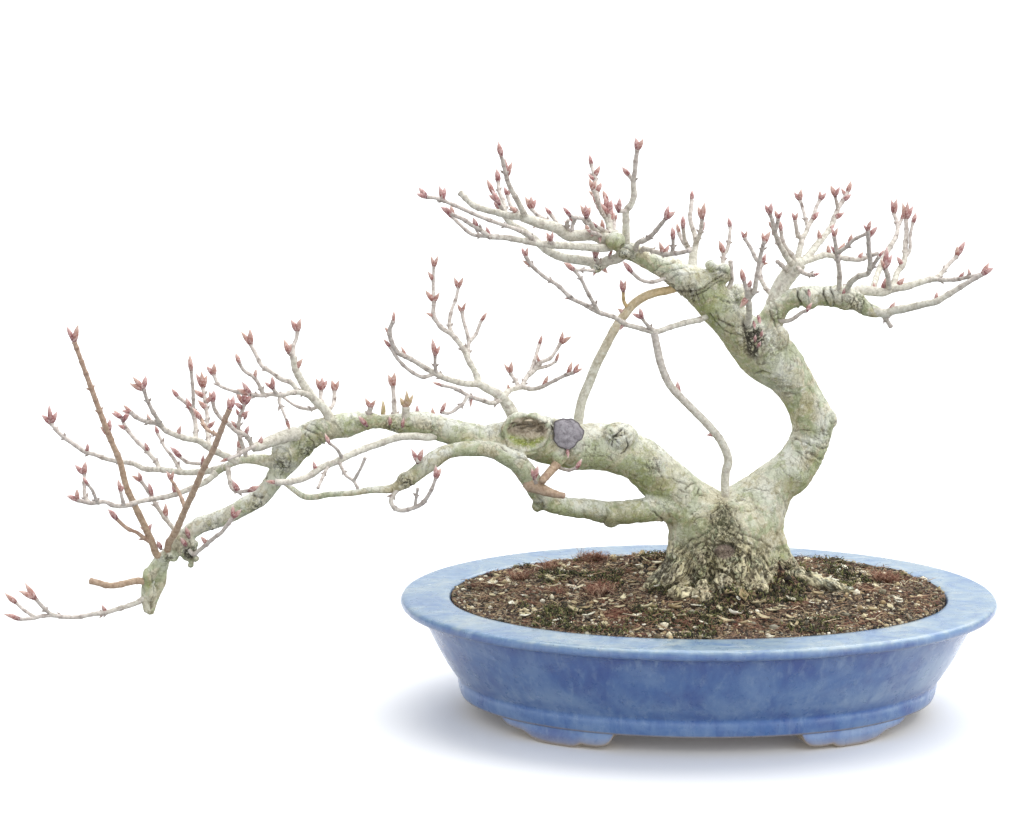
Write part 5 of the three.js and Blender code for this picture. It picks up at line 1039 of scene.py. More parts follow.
@dataclass(frozen=True)
class BarkFinish:
    """Pale grey-green maple bark with lichen, moss tints and dark fissures, and painted highlight on its
    upper faces.
    """

    cream: Colour = srgb(214, 206, 176)
    stone: Colour = srgb(184, 174, 140)
    earth: Colour = srgb(142, 126, 90)
    sage: Colour = srgb(150, 162, 120)
    moss: Colour = srgb(128, 138, 66)
    dark: Colour = srgb(68, 59, 43)
    lichen: Colour = srgb(238, 238, 225)

    def material(self) -> bpy.types.Material:
        """Builds the bark."""
        made = Shader("maple_bark", 0.84)
        grain = made.noise(4.4, 8, 0.68, 0.9)
        fine = made.noise(1.0, 4, 0.65, 0.3)
        colour = made.ramp(grain, (0.3, self.earth), (0.42, self.stone), (0.56, self.cream),
                           (0.7, self.lichen))
        patch = made.ramp(made.noise(17, 6, 0.6, 1.2), (0.49, 0.0), (0.53, 0.75))
        colour = made.mix(patch, colour, made.ramp(grain, (0.35, self.sage), (0.62, srgb(190, 198, 160))))
        spread = made.ramp(made.noise(2.6, 5, 0.7), (0.4, 0.1), (0.52, 0.9))
        colour = made.mix(made.times(made.paint("moss"), spread), colour,
                          made.ramp(fine, (0.35, self.moss), (0.7, srgb(182, 186, 112))))
        # lichen and painted highlight: the pale paint, strongest on upward faces, turns the bark near white
        crust = made.ramp(made.noise(6, 7, 0.7, 0.6), (0.42, 0.3), (0.49, 1.0))
        colour = made.mix(made.times(made.paint("pale"), crust), colour, self.lichen)
        colour = made.mix(made.paint("brown"), colour, made.ramp(grain, (0.35, srgb(138, 116, 98)),
                                                                 (0.65, srgb(206, 190, 170))))
        fleck = made.ramp(made.noise(1.5, 4, 0.7), (0.61, 0.0), (0.67, 0.55))
        colour = made.mix(fleck, colour, srgb(122, 110, 80))
        foot = made.paint("foot")
        colour = made.mix(made.times(foot, made.ramp(made.noise(9, 5, 0.65, 0.6), (0.45, 0.0),
                                                     (0.56, 0.75))),
                          colour, made.ramp(grain, (0.35, srgb(166, 150, 104)), (0.6, srgb(220, 208, 166))))
        net = made.ramp(made.cells(4.6, "DISTANCE_TO_EDGE", made.warped(4, 7, (1, 1, 0.45))), (0.02, 1.0),
                        (0.1, 0.0))
        gaps = made.ramp(made.noise(7, 3), (0.38, 0.0), (0.48, 1.0))
        lines = made.times(made.times(net, gaps), made.ramp(foot, (0.0, 0.28), (0.5, 0.1)))
        colour = made.mix(lines, colour, srgb(86, 76, 50))
        flow = made.paint("flow", "Vector")
        for size, dark in ((4.4, 0.95), (2.4, 0.75)):
            string = made.ramp(made.noise(size, 4, 0.62, 0.5, flow), (0.45, 0.0), (0.485, dark),
                               (0.515, dark), (0.555, 0.0))
            colour = made.mix(made.times(string, foot), colour, srgb(58, 50, 32))
        ridge = made.ramp(made.noise(3, 4, 0.6, 0.4, flow), (0.52, 0.0), (0.6, 0.95))
        colour = made.mix(made.times(ridge, foot), colour, srgb(234, 224, 186))
        colour = made.mix(made.ramp(made.paint("crack"), (0.12, 0.0), (0.7, 0.92)), colour,
                          made.ramp(made.paint("crack"), (0.6, self.dark), (0.95, srgb(34, 30, 22))))
        rot = made.noise(1.7, 5, 0.7, 0.4)
        colour = made.mix(made.times(made.paint("flaky"), made.ramp(rot, (0.47, 0.9), (0.52, 0.0))), colour,
                          srgb(58, 54, 42))
        colour = made.mix(made.times(made.paint("flaky"), made.ramp(rot, (0.55, 0.0), (0.62, 0.8))), colour,
                          srgb(228, 222, 196))
        colour = made.mix(made.paint("shade"), colour, srgb(118, 122, 86))
        colour = made.mix(made.ramp(made.paint("scar"), (0.1, 0.0), (0.5, 0.85)), colour,
                          made.ramp(fine, (0.38, srgb(70, 56, 52)), (0.62, srgb(156, 136, 122))))
        crumb = made.ramp(made.noise(2.2, 6, 0.7, 0.5), (0.42, srgb(40, 36, 26)),
                          (0.48, srgb(128, 114, 84)), (0.56, srgb(226, 214, 180)))
        colour = made.mix(made.ramp(made.paint("earthy"), (0.2, 0.0), (0.8, 0.7)), colour, crumb)
        made.bump((grain, 1.1), (fine, 0.4), (lines, -0.6))
        return made.done(colour)


@dataclass(frozen=True)
class TwigFinish:
    """Twig bark: grey-green where it is thick, and of the young wood's colour towards the tips."""

    name: str
    pale: Colour
    body: Colour
    ring: Colour
    old_pale: Colour = srgb(219, 214, 200)
    old_body: Colour = srgb(171, 166, 147)
    crust: float = 0.6

    def material(self) -> bpy.types.Material:
        """Builds the twig bark."""
        made = Shader(self.name, 0.62)
        grain = made.noise(2.2, 5, 0.65, 0.4)
        old = made.ramp(grain, (0.32, self.old_body), (0.58, self.old_pale))
        young = made.ramp(grain, (0.32, self.body), (0.62, self.pale))
        colour = made.mix(made.paint("age"), young, old)
        blotch = made.ramp(made.noise(5, 3, 0.6), (0.54, 0.0), (0.66, 0.35))
        colour = made.mix(blotch, colour, self.ring)
        crust = made.ramp(made.noise(4, 4, 0.6), (0.55, 0.0), (0.62, self.crust))
        colour = made.mix(made.times(crust, made.paint("age")), colour, srgb(224, 224, 210))
        colour = made.mix(made.paint("node"), colour, self.ring)
        made.bump((grain, 0.3), (made.noise(0.7, 2), 0.08))
        return made.done(colour)


@dataclass(frozen=True)
class BudFinish:
    """Winter buds: dark red at the foot, pink to tan at the tip, with pale scale edges that are partly a
    painted highlight.
    """

    foot: Colour = srgb(84, 38, 46)
    middle: Colour = srgb(142, 80, 80)
    tip: Colour = srgb(232, 210, 206)

    def material(self) -> bpy.types.Material:
        """Builds the bud skin."""
        made = Shader("winter_bud", 0.45)
        along = made.paint("along")
        red = made.ramp(along, (0.05, self.foot), (0.46, self.middle), (0.74, srgb(194, 148, 142)),
                        (0.95, self.tip))
        brown = made.ramp(along, (0.05, srgb(92, 52, 48)), (0.45, srgb(162, 106, 92)),
                          (0.95, srgb(218, 190, 170)))
        colour = made.mix(made.ramp(made.paint("tone"), (0.3, 0.0), (0.7, 0.9)), red, brown)
        olive = made.ramp(along, (0.05, srgb(136, 84, 62)), (0.4, srgb(158, 146, 92)),
                          (0.95, srgb(214, 196, 140)))
        colour = made.mix(made.ramp(made.paint("tone"), (0.8, 0.0), (1.0, 0.9)), colour, olive)
        colour = made.mix(made.ramp(made.noise(1.3, 3), (0.45, 0.0), (0.65, 0.45)), colour,
                          srgb(230, 204, 194))
        # pale scale edges, partly a painted highlight along them
        colour = made.mix(made.paint("edge"), colour, srgb(232, 206, 200))
        made.bump((made.noise(0.5, 2, 0.5, 0.0, made.stretched((1, 1, 0.4))), 0.06))
        return made.done(colour)


@dataclass(frozen=True)
class EarthFinish:
    """Dark crumbly earth under the grains."""

    def material(self) -> bpy.types.Material:
        """Builds the earth."""
        made = Shader("soil_earth", 0.95)
        crumb = made.noise(2.4, 6, 0.7, 0.5)
        colour = made.ramp(crumb, (0.44, srgb(16, 14, 12)), (0.51, srgb(72, 58, 46)),
                           (0.6, srgb(188, 166, 132)))
        red = made.ramp(made.noise(22, 3), (0.45, 0.0), (0.62, 0.7))
        colour = made.mix(red, colour,
                          made.ramp(crumb, (0.4, srgb(40, 26, 22)), (0.62, srgb(140, 100, 76))))
        made.bump((crumb, 2.2), (made.noise(0.8, 3), 0.5))
        return made.done(colour)


@dataclass(frozen=True)
class GrainFinish:
    """Loose grains: tan, cream, rust and dark."""

    def material(self) -> bpy.types.Material:
        """Builds the grains' skin."""
        made = Shader("soil_grain", 0.9)
        colour = made.ramp(made.paint("tone"), (0.0, srgb(24, 22, 18)), (0.28, srgb(50, 44, 36)),
                           (0.42, srgb(132, 102, 80)), (0.55, srgb(186, 162, 122)),
                           (0.75, srgb(218, 204, 164)), (0.9, srgb(246, 238, 214)))
        colour = made.mix(made.ramp(made.noise(1.0, 4), (0.4, 0.0), (0.7, 0.55)), colour, srgb(74, 56, 42))
        colour = made.mix(made.ramp(made.noise(24, 4, 0.6, 0.6), (0.47, 0.0), (0.56, 0.7)), colour,
                          srgb(58, 54, 38))
        made.bump((made.noise(0.9, 4), 0.4))
        return made.done(colour)


@dataclass(frozen=True)
class StrandFinish:
    """Moss or fibre strands whose colour runs between three tones."""

    name: str
    low: Colour
    body: Colour
    high: Colour
    tint: Colour = srgb(150, 84, 66)
    tinted: float = 0.0

    def material(self) -> bpy.types.Material:
        """Builds the strands' skin."""
        made = Shader(self.name, 0.85)
        colour = made.ramp(made.paint("tone"), (0.1, self.low), (0.55, self.body), (0.95, self.high))
        colour = made.mix(made.ramp(made.noise(2, 3), (0.45, 0.0), (0.75, 0.5)), colour, self.low)
        colour = made.mix(made.ramp(made.noise(30, 4, 0.6, 0.6), (0.46, 0.0), (0.56, self.tinted)), colour,
                          self.tint)
        made.bump((made.noise(0.5, 2), 0.1))
        return made.done(colour)


@dataclass(frozen=True)
class PasteFinish:
    """Grey-purple sealing paste, finely cracked."""

    def material(self) -> bpy.types.Material:
        """Builds the paste."""
        made = Shader("sealing_paste", 0.8)
        cloud = made.noise(5, 4, 0.6, 0.3)
        colour = made.ramp(cloud, (0.3, srgb(132, 126, 130)), (0.55, srgb(168, 162, 166)),
                           (0.8, srgb(196, 192, 194)))
        crack = made.ramp(made.cells(4.6, "DISTANCE_TO_EDGE", made.warped(2, 4, (1, 1, 1))), (0.0, 0.55),
                          (0.035, 0.0))
        colour = made.mix(crack, colour, srgb(62, 56, 60))
        colour = made.mix(made.paint("rim"), colour, srgb(78, 72, 74))
        made.bump((cloud, 0.5), (made.noise(0.8, 3), 0.12), (crack, -0.15))
        return made.done(colour)


@dataclass(frozen=True)
class NetFinish:
    """Black moulded plastic of the drainage mesh."""

    def material(self) -> bpy.types.Material:
        """Builds the plastic."""
        made = Shader("drain_net", 0.55)
        dust = made.ramp(made.noise(4, 4), (0.45, 0.0), (0.75, 0.6))
        colour = made.mix(dust, srgb(34, 34, 34), srgb(96, 78, 60))
        made.bump((made.noise(0.7, 2), 0.05))
        return made.done(colour)


@dataclass(frozen=True)
class FloorFinish:
    """The plain pale floor."""

    tone: Colour = (0.9, 0.9, 0.9)

    def material(self) -> bpy.types.Material:
        """Builds the floor's paper."""
        made = Shader("pale_floor", 0.9, Specular_IOR_Level=0.1)
        made.surface.inputs["Base Color"].default_value = (*self.tone, 1.0)
        return made.material


# The pot


def oval_ring(inset: float, height: float, sides: int) -> np.ndarray:
    """A ring of the pot's oval, set in from the rim's edge.

    Args:
        inset: how far the ring lies inside the rim's edge.
        height: its height.
        sides: how many points it has.
    """
    turn = circle(sides)
    wide, deep = POT_LENGTH / 2, POT_WIDTH / 2
    x = np.sign(np.cos(turn)) * np.abs(np.cos(turn)) ** (2 / OVAL_POWER) * wide
    y = np.sign(np.sin(turn)) * np.abs(np.sin(turn)) ** (2 / OVAL_POWER) * deep
    normal = unit(np.stack([x / wide ** 2, y / deep ** 2], 1))
    return np.stack([x - inset * normal[:, 0], y - inset * normal[:, 1], np.full(sides, height)], 1)


@dataclass
class OvalPot:
    """The glazed pot: its shell, with a broad flat lip, on four cloud feet."""

    sides: int = 192
    outside: tuple[tuple[float, float], ...] = (
        (64, 11.3), (46, FOOT_HEIGHT), (42.5, 11.1), (40.6, 11.7), (39.8, 13.3), (39, 16), (38.5, 18.5),
        (38.3, 20.8), (38.5, 22.6), (38, 24), (37, 25.4), (35.2, 27.8), (32.6, 31.8), (29, 37.4), (26, 43),
        (22.4, 50), (19, 57), (16, 63), (14.4, 67), (13.2, 69.4), (11.4, 70.7), (8, 71.3), (4, 71.8),
        (1.6, 72.6), (0.5, 73.8), (0, 75.4), (0.2, 76.9), (0.9, 78.1), (2.4, 78.9), (5, POT_HEIGHT))
    inside: tuple[tuple[float, float], ...] = (
        (20, 78.9), (29, 78.9), (31.8, 78.7), (33, 77.8), (33.4, 76.6), (33.6, 70), (34, 56), (37, 42),
        (43, 30), (47, 24.5), (51, POT_FLOOR))
    foot_outline: tuple[tuple[float, float], ...] = (
        (60.6, 10.6), (61.2, 9), (62, 7.2), (63.2, 5.4), (65.4, 3.6), (68, 2.6), (71, 2.15), (74, 2.1),
        (77, 2.15), (79.4, 2.5), (81.4, 2.7), (82.6, 2.1), (84, 1.1), (86, 0.3), (88.7, 0), (100, 0),
        (103.6, 0.2), (107, 0.8), (111.6, 1.8), (114.6, 3.4), (117, 5), (119.4, 5.8), (122.3, 6.1),
        (125, 6.6), (127.7, 7.3), (130, 9), (131.7, 10.6))
    foot_inset: float = 40.4
    foot_depth: float = 20.0
    foot_overlap: float = 3.0
    lip_height: float = 78.0
    lip_width: float = 33.0
    unevenness: float = 0.35
    hole_sides: int = 48
    cut_depth: float = 40.0

    def shell(self, skin: Skin) -> None:
        """Adds the shell."""
        profile = [*self.outside, *self.inside]
        rings = np.array([oval_ring(inset, height, self.sides) for inset, height in profile])
        insets, heights = np.array(profile).T
        lip = (heights > self.lip_height) & (insets < self.lip_width)
        rim = np.where(lip, 0.95, np.interp(heights, (72, 75.4, 77, 78), (0.0, 0.15, 0.45, 0.8)))
        haze = np.interp(heights, (11, 23, 27, 50, 66, 72, 75), (0.3, 0.25, 0.4, 0.05, 0.0, 0.1, 0.1))
        # painted shade: a darker band on the wall just under the lip, deepest right below its roll
        under = np.interp(heights, (52, 66, 70.5, 71.5),
                          (0, 0.5, 0.9, 0.3)) * (heights < 72) * (insets < 20)
        outer = (insets < 45) & (heights > 20) & (heights < 70)
        outer &= np.arange(len(profile)) < len(self.outside)
        # painted light: the outer wall is painted paler towards the right, the side the light falls from
        haze = haze[:, None] + 0.6 * step(40, 165, rings[..., 0]) * outer[:, None]
        haze = np.where((insets > self.lip_width)[:, None] & (heights > POT_FLOOR)[:, None], 0.0, haze)
        wear = np.where(heights < FOOT_HEIGHT + 1, 0.7, 0.0)
        # a thrown and glazed surface is never quite even
        flat = rings.reshape(-1, 3)
        sway = self.unevenness * Noise.smooth(flat, 45, 3, 2).reshape(rings.shape[:2])
        outward = unit(rings * (1, 1, 0))
        rings = rings + outward * sway[..., None]
        skin.add_rings(rings, np.array([0, 0, FOOT_HEIGHT + 0.6]), np.array([0, 0, POT_FLOOR]),
                       rim=rim, wear=wear, haze=haze, under=under)

    def foot(self, skin: Skin, side_x: int, side_y: int) -> None:
        """Adds one cloud foot.

        Args:
            skin: what it is added to.
            side_x: 1 for the right feet, -1 for the left ones.
            side_y: 1 for the back feet, -1 for the front ones.
        """
        wide, deep = POT_LENGTH / 2 - self.foot_inset, POT_WIDTH / 2 - self.foot_inset
        rings, wear = [], []
        for x, low in self.foot_outline:
            y = deep * (1 - (x / wide) ** OVAL_POWER) ** (1 / OVAL_POWER)
            normal = unit(np.array([x / wide ** 2, y / deep ** 2]))
            top = FOOT_HEIGHT + self.foot_overlap
            rise = top - low
            rows = ((0.9, top), (0.6, low + 0.5 * rise), (0.0, low + 0.22 * rise), (0.4, low + 0.08 * rise),
                    (1.6, low + 0.1), (4, low), (self.foot_depth - 3, low), (self.foot_depth - 0.6,
                                                                             low + 0.05 * rise),
                    (self.foot_depth, low + 0.2 * rise), (self.foot_depth, top))
            rings.append([(x - normal[0] * inset, y - normal[1] * inset, height) for inset, height in rows])
            wear.append([0.0, 0.05, 0.35, 0.8, 1, 1, 1, 1, 0.6, 0.3])
        rings, wear = np.array(rings) * (side_x, side_y, 1), np.array(wear)
        if side_x * side_y > 0:
            rings, wear = rings[:, ::-1], wear[:, ::-1]
        skin.add_rings(rings, rings[0].mean(0), rings[-1].mean(0), wear=wear, rim=0.0, haze=0.35)

    def build(self) -> bpy.types.Object:
        """Builds the pot as one piece with its two drain holes."""
        shell, feet = (Skin("rim", "wear", "haze", "under") for _ in range(2))
        self.shell(shell)
        bored = self.bored(shell.mesh("pot_shell"))
        for side_x in (1, -1):
            for side_y in (1, -1):
                self.foot(feet, side_x, side_y)
        whole = bmesh.new()
        whole.from_mesh(bored)
        whole.from_mesh(feet.mesh("pot_feet"))
        return make_piece("oval_pot", as_mesh(whole, "oval_pot"), [GlazeFinish().material()],
                          ("pot",))

    def bored(self, shell: bpy.types.Mesh) -> bpy.types.Mesh:
        """The shell with its two drain holes cut through the floor."""
        cutter = bmesh.new()
        for side in (-1, 1):
            made = bmesh.ops.create_cone(cutter, cap_ends=True, segments=self.hole_sides,
                                         depth=self.cut_depth * MM,
                                         radius1=DRAIN_HOLE_RADIUS * MM, radius2=DRAIN_HOLE_RADIUS * MM)
            shift = Vector(((side * DRAIN_HOLE_X + POT_SHIFT[0]) * MM, POT_SHIFT[1] * MM, FOOT_HEIGHT * MM))
            bmesh.ops.translate(cutter, vec=shift, verts=made["verts"])
        body, tool = (in_scene(data.name, data) for data in (shell, as_mesh(cutter, "drain_cutter")))
        cut = body.modifiers.new("drain_holes", "BOOLEAN")
        cut.operation, cut.object, cut.solver = "DIFFERENCE", tool, "EXACT"
        apply_modifiers(body)
        bored = body.data
        for part in (body, tool):
            bpy.data.objects.remove(part)
        return bored


def apply_modifiers(piece: bpy.types.Object) -> None:
    """Puts the result of a piece's modifiers into its mesh."""
    bpy.context.view_layer.update()
    seen = piece.evaluated_get(bpy.context.evaluated_depsgraph_get())
    mesh = bpy.data.meshes.new_from_object(seen)
    piece.modifiers.clear()
    old = piece.data
    piece.data = mesh
    mesh.name = piece.name
    bpy.data.meshes.remove(old)


@dataclass
class DrainNet:
    """The square plastic mesh over each drain hole."""

    size: float = 40.0
    bars: int = 10
    thickness: float = 1.1
    points: int = 41
    weave: float = 0.28
    bar_share: float = 0.34
    bar_sides: int = 6
    lift: float = 0.62

    def build(self, side: int, name: str, node: str) -> bpy.types.Object:
        """Builds one net.

        Args:
            side: -1 for the left hole, 1 for the right one.
            name: the piece's name.
            node: the CAD node that it replaces.
        """
        skin = Skin()
        half = self.size / 2 - self.thickness / 2
        for turn in (0, 1):
            for offset in np.linspace(-half, half, self.bars):
                along = np.linspace(-half, half, self.points)
                wave = self.weave * np.sin(along * math.pi / (2 * half / (self.bars - 1)) + turn * math.pi)
                line = np.stack([along, np.full(self.points, offset), wave * (1 if turn else -1)], 1)
                if turn:
                    line = line[:, (1, 0, 2)]
                line += (side * DRAIN_HOLE_X, 0, POT_FLOOR + GAP + self.lift)
                bar, *_ = tube(line, np.full(self.points, self.bar_share * self.thickness), self.bar_sides)
                skin.add_rings(bar, line[0], line[-1])
        return make_piece(name, skin.mesh(name), [NetFinish().material()], (node,))


# The wood


def nearest_spot(lines: list[np.ndarray], x: float, z: float) -> np.ndarray:
    """The nearest spot, in the front view, on the lines built so far, as x, z and depth."""
    best, spot = math.inf, None
    for line in lines:
        a, b = line[:-1, :3], line[1:, :3]
        run = (b - a)[:, :2]
        share = np.clip(((x - a[:, 0]) * run[:, 0] + (z - a[:, 1]) * run[:, 1])
                        / np.maximum((run ** 2).sum(1), 1e-9), 0, 1)
        spots = a + (b - a) * share[:, None]
        away = np.hypot(spots[:, 0] - x, spots[:, 1] - z)
        i = int(away.argmin())
        if away[i] < best:
            best, spot = away[i], spots[i]
    return spot


# How much stronger twigs lean to the back or front than stated, and how far they sway from their lean
LEAN = 1.5
WANDER = 1.6
# How much thicker twigs are than stated
TWIG_GAIN = 1.13
# How near a stated root must be to a limb to count as lying on it, and the spacing of a twig's rings
ROOT_SINK = 0.5
TWIG_SPACING = 0.8


def grown(twig: Twig, parents: list[np.ndarray], others: list[np.ndarray]) -> np.ndarray:
    """A twig's line as rows of x, z, depth and radius.

    Args:
        twig: the twig.
        parents: the lines that it may grow from.
        others: the lines that its end may join.
    """
    steps = in_rows(twig.path, 2)
    root = nearest_spot(parents, *steps[0])
    if math.dist(root[:2], steps[0]) > ROOT_SINK:
        steps = np.vstack([root[:2], steps])
    reach = lengths_along(steps)
    share = reach / reach[-1]
    end = nearest_spot(others, *steps[-1]) if twig.joins else None
    lean = twig.lean * LEAN if end is None else end[2] - root[2]
    wander = np.sin(0.11 * steps[:, 0] + 0.07 * steps[:, 1]) * WANDER * np.sin(math.pi * share)
    rows = np.stack([steps[:, 0], steps[:, 1], root[2] + lean * share ** 0.85 + wander,
                     TWIG_GAIN * (twig.thick + (twig.thin - twig.thick) * share)], 1)
    return curve_through(rows, TWIG_SPACING)


@dataclass
class Bud:
    """A winter bud: a pointed spindle under overlapping pairs of scales."""

    sides: int = 12
    rows: int = 15
    spread: float = 1.2
    shrink: float = 0.9
    slender: float = 0.43
    widest: float = 3.8
    root: float = 1.2
    squash: float = 0.88
    scale_step: float = 0.055
    scale_edge: float = 0.04
    # how far up each pair of scales reaches, and how deep it dips between them
    scales: tuple[tuple[float, float], ...] = ((0.34, 0.2), (0.62, 0.26), (0.9, 0.3))

    def add(self, skin: Skin, base: np.ndarray, tip: np.ndarray, chance: np.random.Generator, look: int = 1,
            tone: float = 0.3) -> None:
        """Adds a bud.

        Args:
            skin: what it is added to.
            base: where it stands on its twig.
            tip: its tip.
            chance: gives its small differences.
            look: its material slot.
            tone: its tint, from red at 0 over brown to olive at 1.
        """
        length = float(np.linalg.norm(tip - base))
        along = (tip - base) / length
        length *= self.shrink
        tip = base + along * length
        width = min(self.slender * length, self.widest) * chance.uniform(0.88, 1.08)
        across = np.cross((0, 1, 0), along)
        across /= max(np.linalg.norm(across), 1e-6)
        up = np.cross(along, across)
        share = np.linspace(0, 1, self.rows) ** 0.92
        swell = np.interp(share, (0, 0.12, 0.28, 0.42, 0.56, 0.7, 0.82, 0.92, 1),
                          (0.5, 0.64, 0.92, 1, 0.95, 0.78, 0.5, 0.24, 0.05))
        turn = circle(self.sides)
        face = chance.uniform(0, math.pi)
        step_out, edge = np.zeros((2, self.rows, self.sides))
        for pair, (peak, dip) in enumerate(self.scales):
            reach = peak - dip * np.abs(np.sin(turn - face - pair * math.pi / 2)) ** 1.3
            inside = share[:, None] < reach[None, :]
            step_out += self.scale_step * inside
            # a pale band along each scale's edge, partly a painted highlight
            near = np.abs(share[:, None] - reach[None, :])
            edge = np.maximum(edge, np.clip(1 - near / self.scale_edge, 0, 1) * 0.6)
        radius = 0.5 * width * swell[:, None] * (0.88 + step_out)
        rings = (base + along * (share[:, None, None] * (length + self.root) - self.root)
                 + across * (radius * np.cos(turn))[..., None]
                 + up * (radius * self.squash * np.sin(turn))[..., None])
        curl = chance.uniform(-0.06, 0.06) * length
        rings = rings + across * (curl * share[:, None, None] ** 2 * (1 - share[:, None, None]) * 4)
        skin.add_rings(rings, rings[0].mean(0), tip, look, along=share, edge=edge, node=0.7 * (1 - share),
                       tone=np.full(self.rows, tone))


class Wood(Enum):
    """The kind of a spray's wood, which gives its bark."""

    OLD = "old"
    YOUNG = "young"
    GRAFT = "graft"


# The slenderness of a spray's buds and the range of their tone, where they differ from the others
BUD_KINDS = {"middle_spray": (0.36, 0.45, 0.8), "left_high": (0.42, 0.3, 0.8),
             "left_middle_high": (0.42, 0.3, 0.8)}

WOODS = {"left_long_shoot": Wood.YOUNG, "left_back_shoot": Wood.YOUNG, "graft_arch": Wood.GRAFT,
         "left_cut_shoot": Wood.YOUNG}


@dataclass
class Spray:
    """Twigs that grow from one place, fused, with their buds."""

    name: str
    twigs: list[Twig]
    wood: Wood = Wood.OLD
    sides: int = 8
    resting_share: float = 0.6
    resting_limit: float = 2.2

    def twig_lines(self, trunks: list[np.ndarray]) -> list[np.ndarray]:
        """The lines of all twigs, each rooted on a limb or on an earlier twig."""
        lines: list[np.ndarray] = []
        for order, twig in enumerate(self.twigs):
            parents = trunks if order == 0 or twig.from_limb else lines
            lines.append(grown(twig, parents, [*trunks, *lines]))
        return lines

    def add_twig(self, skin: Skin, twig: Twig, line: np.ndarray, chance: np.random.Generator) -> None:
        """Adds a twig with its swollen nodes."""
        centre = place(line[:, :3])
        reach = lengths_along(centre)
        nodes = [reach[-1]]
        at = chance.uniform(5, 10)
        while at < reach[-1] - 4:
            nodes.append(at)
            at += chance.uniform(8, 15)
        for x, z, *_ in in_rows(twig.buds, 4):
            nodes.append(reach[np.hypot(line[:, 0] - x, line[:, 1] - z).argmin()])
        gap = np.abs(reach[:, None] - np.array(nodes)[None, :]).min(1)
        knot = np.exp(-(gap / 1.2) ** 2)
        foot = np.exp(-reach / 2.5)
        slim = step(3.2, 1.4, line[:, 3])
        radius = line[:, 3] * (1.0 + (0.04 + 0.14 * slim) * knot
                               + 0.3 * foot) + 0.12 * Noise.smooth(centre, 3.5, 9, 2)
        ring_mark = np.exp(-((gap - 0.5) / 0.55) ** 2)
        fall = 1.6 if self.wood is Wood.GRAFT else 1.4 if twig.from_limb else 0.5
        age = np.clip(step(1.2, 2.6, line[:, 3]) * 1.3 + 0.25 - fall * reach / reach[-1], 0, 1)
        skin.add_rings(*tube(centre, radius, self.sides), 2 if twig.tan else 0,
                       node=(0.04 + 0.34 * slim) * ring_mark, age=age)
        self.add_resting(skin, centre, radius, reach, nodes[1:], chance)

    def add_resting(self, skin: Skin, centre: np.ndarray, radius: np.ndarray, reach: np.ndarray,
                    nodes: list[float], chance: np.random.Generator) -> None:
        """Adds pairs of small resting buds at some nodes of a twig, each a quarter round from the last."""
        tangents, across, up = frames_along(centre)
        small = Bud(sides=6, rows=6, slender=0.5, root=0.6)
        for order, at in enumerate(nodes):
            i = int(np.abs(reach - at).argmin())
            if radius[i] > self.resting_limit or chance.uniform() > self.resting_share:
                continue
            turn = order * math.pi / 2 + chance.uniform(-0.4, 0.4)
            for side in (1, -1):
                out = side * (across[i] * math.cos(turn) + up[i] * math.sin(turn))
                base = centre[i] + out * radius[i] * 0.75
                small.add(skin, base, base + (0.8 * tangents[i] + 0.6 * out) * chance.uniform(2.2, 4.0),
                          chance, 0)

    def add_to(self, skin: Skin, trunks: list[np.ndarray], seed: int) -> None:
        """Adds the whole spray."""
        chance = np.random.default_rng(seed)
        slender, *tones = BUD_KINDS.get(self.name, (Bud.slender, 0.0, 0.75))
        bud = Bud(slender=slender)
        for twig, line in zip(self.twigs, self.twig_lines(trunks)):
            self.add_twig(skin, twig, line, chance)
            ends = [(line[-1, :3], tip, 1 if i % 2 == 0 else -1)
                    for i, tip in enumerate(in_rows(twig.tips, 2))]
            ends += [(nearest_spot([line], x, z), (tip_x, tip_z), 1 if i % 2 else -1)
                     for i, (x, z, tip_x, tip_z) in enumerate(in_rows(twig.buds, 4))]
            for root, tip, side in ends:
                base, peak = place(np.array([root, (*tip, root[2] + side * bud.spread)]))
                bud.add(skin, base, peak, chance,
                        tone=chance.uniform(*tones) if twig.tone is None else twig.tone)

    def build(self, trunks: list[np.ndarray], seed: int,
              looks: list[bpy.types.Material]) -> bpy.types.Object:
        """Builds the spray as one piece in place of its node."""
        skin = Skin("node", "age", "along", "edge", "tone")
        self.add_to(skin, trunks, seed)
        return make_piece("spray_" + self.name, skin.mesh(self.name), looks, (self.name,))


def line_gap(seen: np.ndarray, width: float, path: list[float]) -> np.ndarray:
    """How far points are from a line in the front view, in half-widths, where it is less than 4 of them.

    Args:
        seen: the points as seen from the front.
        width: the line's half-width.
        path: its points, as x, z, x, z and so on.
    """
    line = in_rows(path, 2)
    if len(line) > 2:
        line = curve_through(np.column_stack([line, line[:, 0]]), 1.5)[:, :2]
    away = np.full(len(seen), 9.0)
    close = np.nonzero(((seen > line.min(0) - 4 * width) & (seen < line.max(0) + 4 * width)).all(1))[0]
    part = seen[close]
    for a, run in zip(line, np.diff(line, axis=0)):
        share = np.clip(((part - a) @ run) / max(run @ run, 1e-9), 0, 1)
        away[close] = np.minimum(away[close],
                                 np.linalg.norm(part - a - share[:, None] * run, axis=1) / width)
    return away


